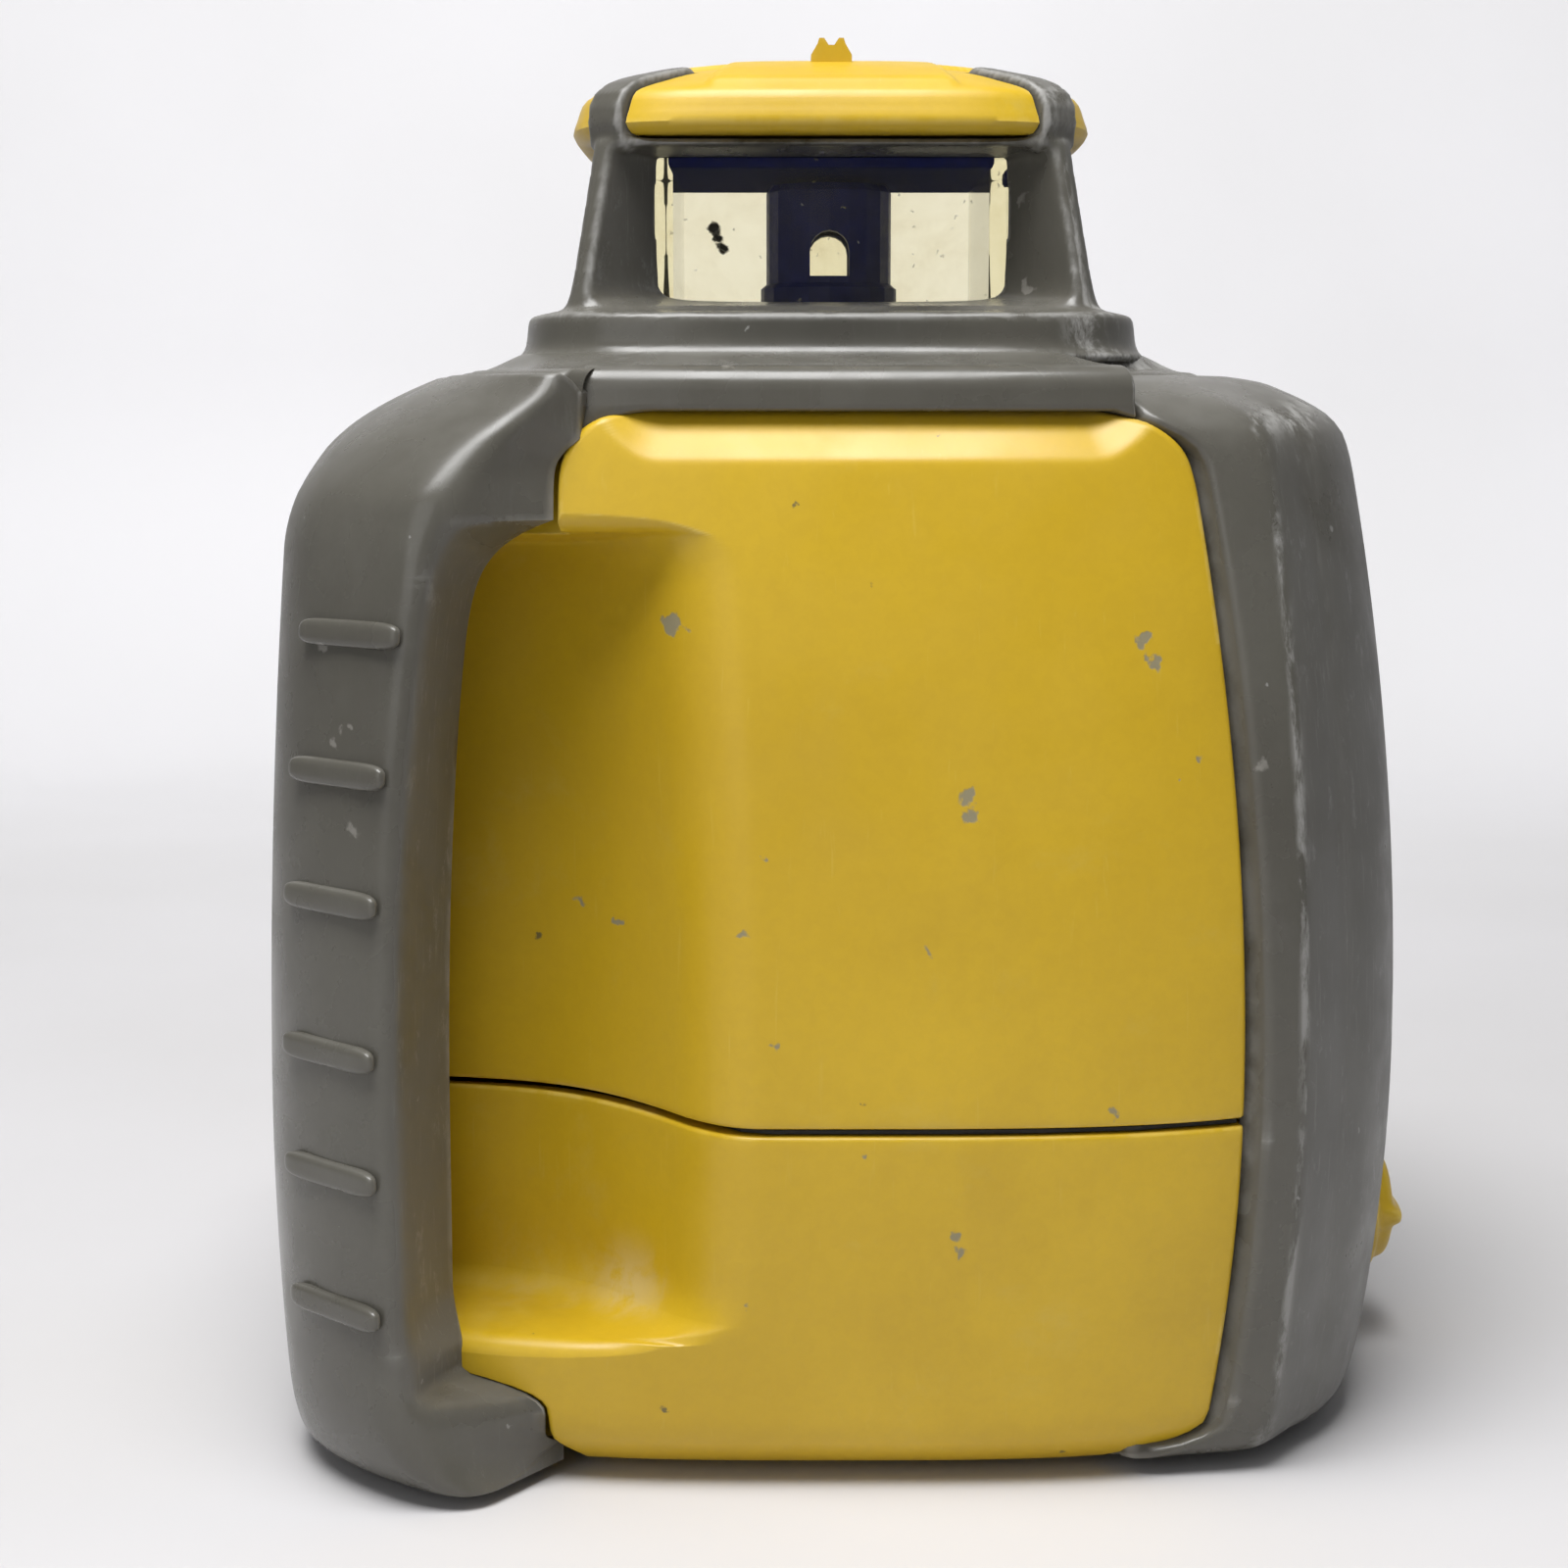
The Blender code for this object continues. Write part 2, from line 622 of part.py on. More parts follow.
def turn_plan(bm, angle):
    """Turn a mesh about the rotor's axis."""
    c = cos(angle)
    s = sin(angle)
    for v in bm.verts:
        x, y, z = v.co
        v.co = (x * c - y * s, x * s + y * c, z)
    return bm


# Housing

def housing_ring(levels, low, high, seats):
    """Closed ring of housing wall: outer loops up, then the inside back down past what seats there."""
    inner = housing_angles((low + high) / 2)
    rows = []
    for z in levels:
        loop = []
        for angle in housing_angles(z):
            radius = housing_radius(angle, z)
            loop.append((radius * cos(angle), radius * sin(angle), z))
        rows.append(loop)
    for z in (high, *seats, low):
        loop = []
        for angle in inner:
            radius = inner_radius(angle, z, low, high)
            loop.append((radius * cos(angle), radius * sin(angle), z))
        rows.append(loop)
    return loft(rows, ring=True)


def make_housings(yellow, rubber):
    ledge = [SCOOP_LOW_Z + SCOOP_LEDGE_RISE * share for share in (0, 0.3, 0.5, 0.7, 1)]
    round_top = HOUSING_BOTTOM + BOTTOM_ROUND_RISE
    levels = [HOUSING_BOTTOM, (HOUSING_BOTTOM + round_top) / 2, round_top] + ledge
    levels += [(ledge[-1] + LOWER_RIM) / 2, LOWER_RIM]
    lower = place("lower_housing", housing_ring(levels, HOUSING_BOTTOM, LOWER_RIM, [BASE_TOP]), yellow)
    mouth_y = body_radius(DOOR_HALF_ANGLE, KNOB_Z) * sin(DOOR_HALF_ANGLE) + DOOR_GAP
    mouth = block((CAM_X - CAM_REACH, -mouth_y, DOOR_LOW_Z - DOOR_GAP),
                  (BODY_HALF_X + CAM_REACH, mouth_y, DOOR_HIGH_Z + DOOR_GAP))
    shape(lower, mouth, "tool_drawer_mouth")

    roof = [SCOOP_HIGH_Z - SCOOP_ROOF_DROP * share for share in (1, 0.7, 0.5, 0.3, 0)]
    bevel = [HOUSING_TOP - PANEL_BEVEL_RISE * share for share in (1, 0.5, 0.2, 0)]
    levels = spread(UPPER_RIM, roof[0], 4)[:-1] + roof + bevel
    seats = [CHASSIS_Z + CHASSIS_THICK, CHASSIS_Z]
    place("upper_housing", housing_ring(levels, UPPER_RIM, HOUSING_TOP, seats), yellow)

    rows = []
    for z, setback in ((PARTING_Z - GASKET_THICK / 2, 1), (PARTING_Z + GASKET_THICK / 2, 1),
                       (PARTING_Z + GASKET_THICK / 2, 0), (PARTING_Z - GASKET_THICK / 2, 0)):
        loop = []
        for angle in housing_angles(PARTING_Z):
            outer = housing_radius(angle, PARTING_Z) - GASKET_SETBACK
            inner = outer - HOUSING_WALL + GASKET_SETBACK * 1.5
            radius = outer if setback else inner
            loop.append((radius * cos(angle), radius * sin(angle), z))
        rows.append(loop)
    place("housing_gasket", loft(rows, ring=True), rubber)


def cover_profile(top_start, top_round, extra_rows=()):
    """Rows of (inset, z) up a side cover: rounded foot, straight side, rounded shoulder, top flange."""
    foot_in = BOTTOM_ROUND_IN + COVER_WALL / 4
    rows = [(foot_in, COVER_BOTTOM), (foot_in * 0.35, COVER_BOTTOM + 0.12 * BOTTOM_ROUND_RISE)]
    rows += [(foot_in * 0.08, COVER_BOTTOM + 0.5 * BOTTOM_ROUND_RISE), (0.0, DOOR_LOW_Z)]
    straight = [SCOOP_LOW_Z + SCOOP_LEDGE_RISE, DOOR_HIGH_Z, top_start, *extra_rows]
    straight += spread(DOOR_HIGH_Z, HAND_GAP_TOP, 4)[1:]
    rows += [(0.0, z) for z in sorted(straight)]
    rise = COVER_TOP - top_start
    for share, lift in top_round:
        rows.append((COVER_FLANGE * share, top_start + rise * lift))
    return rows


def thickened(profile, wall_at):
    """The same rows moved inward, square to the profile, by the wall at their height."""
    moved = []
    last = len(profile) - 1
    for i, (inset, z) in enumerate(profile):
        wall = wall_at(z)
        i0, z0 = profile[max(0, i - 1)]
        i1, z1 = profile[min(last, i + 1)]
        length = hypot(i1 - i0, z1 - z0)
        moved.append((inset + wall * (z1 - z0) / length, z - wall * (i1 - i0) / length))
    moved[0] = (profile[0][0] + wall_at(profile[0][1]), profile[0][1])
    return moved


def make_right_cover(grey):
    profile = cover_profile(RIGHT_ROUND_START, RIGHT_ROUND)
    under = thickened(profile, lambda z: COVER_WALL)
    grids = ([], [])
    for (inset, z), (inset_in, z_in) in zip(profile, under):
        seam = seam_angle(min(z, HOUSING_TOP)) - SEAM_GAP / BODY_HALF_X
        angles = spread(-seam, -DOOR_HALF_ANGLE, 5)
        angles += spread(-DOOR_HALF_ANGLE, DOOR_HALF_ANGLE, 6)[1:-1]
        angles += spread(DOOR_HALF_ANGLE, seam, 5)
        grids[0].append([body_point(a, z, inset - COVER_PROUD) for a in angles])
        grids[1].append([body_point(a, z_in, inset_in - COVER_PROUD) for a in angles])
    rows = [z for _, z in profile]
    window = (rows.index(DOOR_LOW_Z), rows.index(DOOR_HIGH_Z), 4, 9)
    place("right_cover", patch(grids[0], grids[1], window), grey)


# Handle

def handle_near_edge(z):
    """Near edge of the handle bar: bowed at mid height, swept in to the shoulder and to the toe."""
    rise = (z - BELLY_Z) / (LEFT_ROUND_START - BELLY_Z)
    x = HANDLE_NEAR_X - HANDLE_BEND * max(0.0, rise) ** 2 - HANDLE_BEND * 0.3 * min(0.0, rise) ** 2
    y = HANDLE_NEAR_Y - HANDLE_BEND * 0.9 * max(0.0, rise) ** 2
    top = max(0.0, (z - LEFT_ROUND_START) / (COVER_TOP - LEFT_ROUND_START))
    x -= (HANDLE_NEAR_X - HANDLE_BEND - HANDLE_ROOT_X) * (0.35 * top + 0.65 * top ** 2)
    y -= (HANDLE_NEAR_Y - BODY_HALF_Y * barrel(COVER_TOP)) * 0.75 * top ** 2
    toe = max(0.0, (SCOOP_LOW_Z - z) / (SCOOP_LOW_Z - COVER_BOTTOM))
    x -= (HANDLE_NEAR_X - HANDLE_TOE_X) * 0.4 * toe ** 3
    y -= HANDLE_BEND * 0.6 * toe ** 3
    return (-x, -y)


def handle_inner_edge(z):
    """Far edge of the bar's inner face, which runs on to the panel at the shoulder and the toe."""
    sweep = 3 * SCOOP_ROOF_DROP
    root = min(1.0, max(0.0, (z - SCOOP_HIGH_Z + sweep) / sweep)) ** 3
    toe = 1 - smooth_step(2 * COVER_BOTTOM, SCOOP_LOW_Z + SCOOP_LEDGE_RISE / 2, z)
    x = HANDLE_INNER_X + (HANDLE_ROOT_X - HANDLE_INNER_X) * root
    x += (HANDLE_TOE_X - HANDLE_INNER_X) * toe
    on_panel = max(root, smooth_step(0, 0.2, toe))
    level = min(HOUSING_TOP, max(HOUSING_BOTTOM, z))
    panel_y = face_y(x, level, foot_round(level)) + 2 * CLEAR
    y = HANDLE_INNER_Y + (panel_y - HANDLE_INNER_Y) * on_panel
    return (-x, -y)


def handle_wall(z):
    """Thick along the bar, thin at the shoulder and under the toe."""
    thick = HANDLE_SEAT + COVER_PROUD
    high = smooth_step(HAND_GAP_TOP - HANDLE_BEND, LEFT_ROUND_START, z)
    low = 1 - smooth_step(COVER_BOTTOM, DOOR_LOW_Z, z)
    return thick + (COVER_WALL - thick) * max(high, low)


def handle_sections():
    """Outer and inner grids of the handle cover: bar, hand gap, then the side panel."""
    sweep = (SCOOP_LOW_Z, 0.5 * (SCOOP_LOW_Z + DOOR_LOW_Z), HAND_GAP_TOP - HANDLE_BEND * 1.4,
             0.5 * (HAND_GAP_TOP + SCOOP_HIGH_Z), SCOOP_HIGH_Z + CLEAR)
    profile = cover_profile(LEFT_ROUND_START, LEFT_ROUND, sweep)
    under = thickened(profile, handle_wall)
    bar_end = 2 * pi + BAR_END_ANGLE
    gap_end = 2 * pi + GAP_END_ANGLE
    outer = []
    inner = []
    for (inset, z), (inset_in, z_in) in zip(profile, under):
        near = handle_near_edge(z)
        if z < BELLY_Z:
            near = [c * (1 - inset / hypot(*near)) for c in near]
        far = handle_inner_edge(z)
        end = body_point(bar_end, z, inset - HANDLE_PROUD)
        knee = (0.5 * (near[0] + end[0]) - HANDLE_BEND, 0.5 * (near[1] + end[1]) - 0.6 * HANDLE_BEND)
        start = 2 * pi + atan2(far[1], far[0])
        row_out = []
        row_in = []
        for t in spread(0, 1, BAR_COLUMNS):
            weights = ((1 - t) ** 2, 2 * t * (1 - t), t * t)
            x, y = (sum(w * p[k] for w, p in zip(weights, (near, knee, end))) for k in (0, 1))
            row_out.append((x, y, z))
            back = body_point(start + (bar_end - start) * t, z_in, inset_in - COVER_PROUD)
            share = (1 - t) ** 3
            row_in.append((back[0] + (far[0] - back[0]) * share, back[1] + (far[1] - back[1]) * share, z_in))
        seam = pi - seam_angle(min(z, HOUSING_TOP)) + SEAM_GAP / BODY_HALF_X
        angles = spread(bar_end, gap_end, WINDOW_COLUMNS + 1)[1:-1] + spread(gap_end, seam, SIDE_COLUMNS)
        for i, angle in enumerate(angles):
            fade = max(0.0, 1 - (i + 1) / WINDOW_COLUMNS)
            proud = COVER_PROUD + (HANDLE_PROUD - COVER_PROUD) * fade
            row_out.append(body_point(angle, z, inset - proud))
            row_in.append(body_point(angle, z_in, inset_in - COVER_PROUD))
        outer.append(row_out)
        inner.append(row_in)
    return profile, outer, inner


def rib_mesh(z, outer, profile):
    """One raised pill across the bar, standing on the bar's outer face at a height."""
    heights = [row[1] for row in profile]
    above = next(i for i, h in enumerate(heights) if h > z)
    t = (z - heights[above - 1]) / (heights[above] - heights[above - 1])
    low = outer[above - 1]
    high = outer[above]
    face = [[a + (b - a) * t for a, b in zip(p, q)] for p, q in zip(low[:BAR_COLUMNS], high[:BAR_COLUMNS])]
    first = face[1]
    last = face[BAR_COLUMNS - 2]
    length = hypot(last[0] - first[0], last[1] - first[1])
    along_x = (last[0] - first[0]) / length
    along_y = (last[1] - first[1]) / length
    middle = face[BAR_COLUMNS // 2]
    rows = []
    for lift, shrink in ((-RIB_HEIGHT, 0), (RIB_HEIGHT * 0.5, 0), (RIB_HEIGHT, RIB_HEIGHT * 0.7)):
        half = RIB_WIDTH / 2 - shrink
        reach = RIB_LENGTH / 2 - RIB_WIDTH / 2
        loop = []
        for side in (1, -1):
            for turn in spread(-pi / 2, pi / 2, 4):
                u = side * (reach + half * cos(turn))
                w = side * half * sin(turn)
                loop.append((middle[0] + u * along_x + lift * along_y,
                             middle[1] + u * along_y - lift * along_x, z + w))
        rows.append(loop)
    return loft(rows)


def make_handle(grey):
    profile, outer, inner = handle_sections()
    rows = [z for _, z in profile]
    first = BAR_COLUMNS - 1
    sill = rows.index(SCOOP_LOW_Z + SCOOP_LEDGE_RISE)
    window = (sill, rows.index(HAND_GAP_TOP), first, first + WINDOW_COLUMNS)
    handle = place("handle_cover", patch(outer, inner, window), grey)
    for i, z in enumerate(spread(RIB_LOW_Z, RIB_HIGH_Z, RIB_COUNT)):
        shape(handle, rib_mesh(z, outer, profile), "tool_rib_%d" % (i + 1), "UNION")
    return [min((hypot(*p[:2]), atan2(p[1], p[0])) for p in pair) for pair in zip(outer[-1], inner[-1])]


# Shoulder and head

def make_shoulder(grey, handle_rim):
    """Top cover: tongues reach the near and far faces, and the side covers lap the rest."""
    seam = seam_angle(HOUSING_TOP)
    gap = SEAM_GAP / BODY_HALF_Y
    left = handle_rim[0][1] + gap
    stations = [(a, True) for a in spread(left, -seam - gap, 9)]
    stations += [(a, False) for a in spread(-seam, seam, 11)]
    stations += [(a, True) for a in spread(seam + gap, pi - seam - gap, 9)]
    edges = []
    for angle, tongue in stations:
        if tongue:
            edges.append((angle, body_radius(angle, HOUSING_TOP, SHOULDER_SETBACK), SHOULDER_NEAR_Z))
        else:
            edges.append((angle, body_radius(angle, COVER_TOP, COVER_FLANGE + SEAM_GAP), SHOULDER_SIDE_Z))
    for radius, angle in reversed(handle_rim):
        edges.append((angle, radius - SEAM_GAP, SHOULDER_SIDE_Z))
    rows = [[] for _ in range(8)]
    for angle, edge, edge_z in edges:
        seat = squircle_radius(angle, COLLAR_HALF, COLLAR_HALF, COLLAR_POWER)
        crest = edge - SHOULDER_ROUND
        profile = ((NECK_RADIUS, SHOULDER_UNDER), (NECK_RADIUS, SHOULDER_TOP), (seat, SHOULDER_TOP),
                   (0.5 * (seat + crest), 0.5 * (SHOULDER_TOP + edge_z)), (crest, edge_z),
                   (edge - 0.3 * SHOULDER_ROUND, edge_z - 0.3 * SHOULDER_ROUND),
                   (edge, edge_z - SHOULDER_ROUND), (edge, SHOULDER_UNDER))
        for row, (radius, z) in zip(rows, profile):
            row.append((radius * cos(angle), radius * sin(angle), z))
    place("shoulder_cover", loft(rows, ring=True), grey)


def cap_rows():
    return [(CAP_HALF * half, CAP_BASE + (CAP_CROWN - CAP_BASE) * rise) for half, rise in CAP_PROFILE]


def strap_profile(extra):
    """Loop in the diagonal plane: over the cap's corner outside, back along the strap's underside."""
    diagonal = 2 ** (0.5 - 1 / CAP_POWER)
    outside = [(-(half * diagonal + STRAP_PROUD), z + STRAP_PROUD * 0.6) for half, z in cap_rows()[:5]]
    outside[0] = (outside[0][0], GUARD_TOP - STRAP_THICK)
    under = thickened(outside, lambda z: STRAP_THICK + extra)
    return [(-r, z) for r, z in outside], [(-r, z) for r, z in under]


def diagonal_slab(loop, width, angle):
    rows = []
    for side in (-width / 2, width / 2):
        rows.append([(r, side, z) for r, z in loop])
    return turn_plan(loft(rows), angle)


def recess_mesh(angle):
    """Tapered tool for one window recess, made for the side at -Y and then turned."""
    deep = GLASS_HALF - GLASS_THICK / 2
    mouth = GUARD_BASE_HALF
    share = 1.6
    inner = ((-WINDOW_HALF, WINDOW_LOW), (WINDOW_HALF, WINDOW_LOW),
             (WINDOW_HALF, WINDOW_HIGH), (-WINDOW_HALF, WINDOW_HIGH))
    outer = ((-RECESS_BASE_HALF, RECESS_BASE_Z), (RECESS_BASE_HALF, RECESS_BASE_Z),
             (RECESS_TOP_HALF, RECESS_TOP_Z), (-RECESS_TOP_HALF, RECESS_TOP_Z))
    far = [(a[0] + (b[0] - a[0]) * share, a[1] + (b[1] - a[1]) * share) for a, b in zip(inner, outer)]
    far_y = -(deep + (mouth - deep) * share)
    rows = [[(x, -deep, z) for x, z in inner], [(x, far_y, z) for x, z in far]]
    return turn_plan(loft(rows), angle)


def merge(meshes):
    """Several separate tools in one mesh."""
    bm = bmesh.new()
    for part in meshes:
        made = {v: bm.verts.new(v.co) for v in part.verts}
        for face in part.faces:
            bm.faces.new([made[v] for v in face.verts])
        part.free()
    return bm


def make_head_guard(grey):
    base = SHOULDER_TOP + CLEAR
    crown = base + COLLAR_HEIGHT
    edge = COLLAR_HEIGHT * 0.2
    rows = [squircle_loop(COLLAR_HALF - edge / 3, base, COLLAR_POWER),
            squircle_loop(COLLAR_HALF, base + edge, COLLAR_POWER),
            squircle_loop(COLLAR_HALF - edge / 3, crown - edge, COLLAR_POWER),
            squircle_loop(COLLAR_HALF - edge, crown, COLLAR_POWER),
            squircle_loop(GUARD_BASE_HALF, crown + CLEAR, GUARD_POWER),
            squircle_loop(GUARD_TOP_HALF, GUARD_TOP, GUARD_POWER)]
    guard = place("head_guard", loft(rows), grey)
    shape(guard, merge([recess_mesh(pi / 2 * i) for i in range(4)]), "tool_window_recesses")
    room = GLASS_HALF + CLEAR
    shape(guard, block((-room, -room, GUARD_FLOOR), (room, room, CAP_CROWN)), "tool_lantern_room")
    shape(guard, turned([(NECK_RADIUS, SHOULDER_UNDER), (NECK_RADIUS, WINDOW_LOW)]), "tool_neck")
    outside, under = strap_profile(0.0)
    loop = outside + under[::-1]
    for i, angle in enumerate(DIAGONALS):
        shape(guard, diagonal_slab(loop, STRAP_WIDTH, angle), "tool_strap_%d" % (i + 1), "UNION")


def make_cap(yellow):
    cap = place("top_cap", loft([squircle_loop(half, z, CAP_POWER) for half, z in cap_rows()]), yellow)
    outside, under = strap_profile(CLEAR)
    end = under[-1][0] - CLEAR
    loop = [(end, CAP_CROWN + STRAP_THICK), (end, under[-1][1])] + under[::-1][1:]
    loop += [(CAP_HALF * 2, under[0][1]), (CAP_HALF * 2, CAP_CROWN + STRAP_THICK)]
    tools = [diagonal_slab(loop, STRAP_WIDTH + 2 * CLEAR, angle) for angle in DIAGONALS]
    shape(cap, merge(tools), "tool_strap_channels")
    root = CAP_CROWN - SIGHT_HEIGHT * 0.4
    peak = CAP_CROWN + SIGHT_HEIGHT
    notch = CAP_CROWN + SIGHT_HEIGHT * 0.62
    outline = ((-SIGHT_HALF, root), (SIGHT_HALF, root), (SIGHT_HALF, CAP_CROWN), (SIGHT_HALF * 0.55, peak),
               (SIGHT_HALF * 0.3, peak), (0, notch), (-SIGHT_HALF * 0.3, peak), (-SIGHT_HALF * 0.55, peak),
               (-SIGHT_HALF, CAP_CROWN))
    for i, side in enumerate((-1, 1)):
        ends = (side * SIGHT_OFFSET - SIGHT_LENGTH / 2, side * SIGHT_OFFSET + SIGHT_LENGTH / 2)
        sight = loft([[(x, y, z) for x, z in outline] for y in ends])
        shape(cap, sight, "tool_sight_%d" % (i + 1), "UNION")


def make_lantern(glass, rubber, navy):
    low = GUARD_FLOOR + CLEAR
    inside = GLASS_HALF - GLASS_THICK
    short = inside - CLEAR
    for name, side in (("window_near", -1), ("window_far", 1)):
        ys = sorted((side * inside, side * GLASS_HALF))
        place(name, block((-GLASS_HALF, ys[0], low), (GLASS_HALF, ys[1], GLASS_TOP)), glass)
    for name, side in (("window_left", -1), ("window_right", 1)):
        xs = sorted((side * inside, side * GLASS_HALF))
        place(name, block((xs[0], -short, low), (xs[1], short, GLASS_TOP)), glass)
    seal_low = GLASS_TOP + CLEAR
    seal_high = seal_low + SEAL_THICK
    frame = ((GLASS_HALF, seal_low), (GLASS_HALF, seal_high), (inside, seal_high), (inside, seal_low))
    corners = ((-1, -1), (1, -1), (1, 1), (-1, 1))
    rows = [[(u * half, v * half, z) for u, v in corners] for half, z in frame]
    place("window_seal", loft(rows, ring=True), rubber)
    low = seal_high + CLEAR
    ceiling = block((-GLASS_HALF, -GLASS_HALF, low), (GLASS_HALF, GLASS_HALF, low + CEILING_THICK))
    place("lantern_ceiling", ceiling, navy)


# Rotor and gimbal

def arch_tool():
    half = APERTURE_WIDTH / 2
    spring = APERTURE_HIGH - half
    outline = [(-half, APERTURE_LOW), (half, APERTURE_LOW)]
    outline += [(half * cos(t), spring + half * sin(t)) for t in spread(0, pi, 9)]
    return loft([[(x, y, z) for x, z in outline] for y in (-2 * ROTOR_RADIUS, 2 * ROTOR_RADIUS)])


def make_rotor(navy, glass, steel, white, black):
    foot = ROTOR_RADIUS * 1.09
    lip = ROTOR_TOP - ROTOR_BOTTOM
    profile = [(foot, ROTOR_BOTTOM), (foot, ROTOR_BOTTOM + lip * 0.13),
               (ROTOR_RADIUS, ROTOR_BOTTOM + lip * 0.17), (ROTOR_RADIUS, ROTOR_TOP - lip * 0.06),
               (ROTOR_RADIUS * 0.93, ROTOR_TOP)]
    head = place("rotor_head", turned(profile), navy)
    bore_top = APERTURE_HIGH + APERTURE_WIDTH / 2
    shape(head, turned([(ROTOR_BORE, ROTOR_BOTTOM - lip), (ROTOR_BORE, bore_top)]), "tool_rotor_bore")
    shape(head, arch_tool(), "tool_aperture")

    collar_top = APERTURE_LOW - CLEAR
    collar = ROTOR_BORE - CLEAR
    spindle = turned([(SPINDLE_RADIUS, SPINDLE_BOTTOM), (SPINDLE_RADIUS, ROTOR_BOTTOM - CLEAR),
                      (collar, ROTOR_BOTTOM - CLEAR), (collar, collar_top)])
    place("rotor_spindle", spindle, steel)
    half_x = ROTOR_BORE * 0.55
    wide = ROTOR_BORE * 0.75
    low = collar_top + CLEAR
    high = bore_top - 2 * CLEAR
    rise = high - low
    pent = ((-wide, low), (wide, low), (wide, low + 0.72 * rise),
            (0.1 * wide, high), (-wide, low + 0.85 * rise))
    place("pentaprism", loft([[(x, y, z) for y, z in pent] for x in (-half_x, half_x)]), glass)

    grip = SPINDLE_RADIUS + CLEAR
    for name, low in (("upper_bearing", HUB_TOP - BEARING_HEIGHT), ("lower_bearing", HUB_BOTTOM + CLEAR)):
        high = low + BEARING_HEIGHT
        ring = [(BEARING_RADIUS, low), (BEARING_RADIUS, high), (grip, high), (grip, low)]
        place(name, turned(ring, ring=True), steel)

    top = PULLEY_Z + PULLEY_HEIGHT
    flange = PULLEY_HEIGHT * 0.13
    rim = ROTOR_PULLEY_RADIUS
    place("rotor_pulley", turned(pulley_ring(rim, grip, flange, top), ring=True), white)
    small = pulley_ring(MOTOR_PULLEY_RADIUS, MOTOR_RADIUS * 0.2, flange, top)
    at = (MOTOR_OFFSET, 0, PULLEY_Z)
    place("motor_pulley", turned(small, (MOTOR_OFFSET, 0), SMALL_SIDES, ring=True), white, at)
    place("drive_belt", belt_mesh(PULLEY_Z + flange + CLEAR, top - flange - CLEAR), black)

    motor_top = PULLEY_Z - CLEAR * 3
    boss = MOTOR_RADIUS * 0.4
    stub = MOTOR_RADIUS * 0.2 - CLEAR
    motor = turned([(MOTOR_RADIUS, MOTOR_BOTTOM), (MOTOR_RADIUS, motor_top - boss), (boss, motor_top - boss),
                    (boss, motor_top), (stub, motor_top), (stub, top)], (MOTOR_OFFSET, 0), SMALL_SIDES)
    place("drive_motor", motor, steel)


def pulley_ring(radius, bore, flange, top):
    groove = radius - BELT_THICK - CLEAR
    return [(bore, PULLEY_Z), (radius, PULLEY_Z), (radius, PULLEY_Z + flange), (groove, PULLEY_Z + flange),
            (groove, top - flange), (radius, top - flange), (radius, top), (bore, top)]


def belt_mesh(low, high):
    """Open belt round both pulleys: two arcs joined by the outer tangents."""
    big = ROTOR_PULLEY_RADIUS - BELT_THICK
    small = MOTOR_PULLEY_RADIUS - BELT_THICK
    lean = pi / 2 - atan2(big - small, sqrt(MOTOR_OFFSET ** 2 - (big - small) ** 2))
    loops = []
    for thick in (0.0, BELT_THICK):
        loop = []
        for radius, x, turns in ((big + thick, 0, spread(lean, 2 * pi - lean, ROUND_SIDES)),
                                 (small + thick, MOTOR_OFFSET, spread(-lean, lean, SMALL_SIDES))):
            loop += [(x + radius * cos(t), radius * sin(t)) for t in turns]
        loops.append(loop)
    inner, outer = loops
    rows = []
    for loop, z in ((outer, low), (outer, high), (inner, high), (inner, low)):
        rows.append([(x, y, z) for x, y in loop])
    return loft(rows, ring=True)


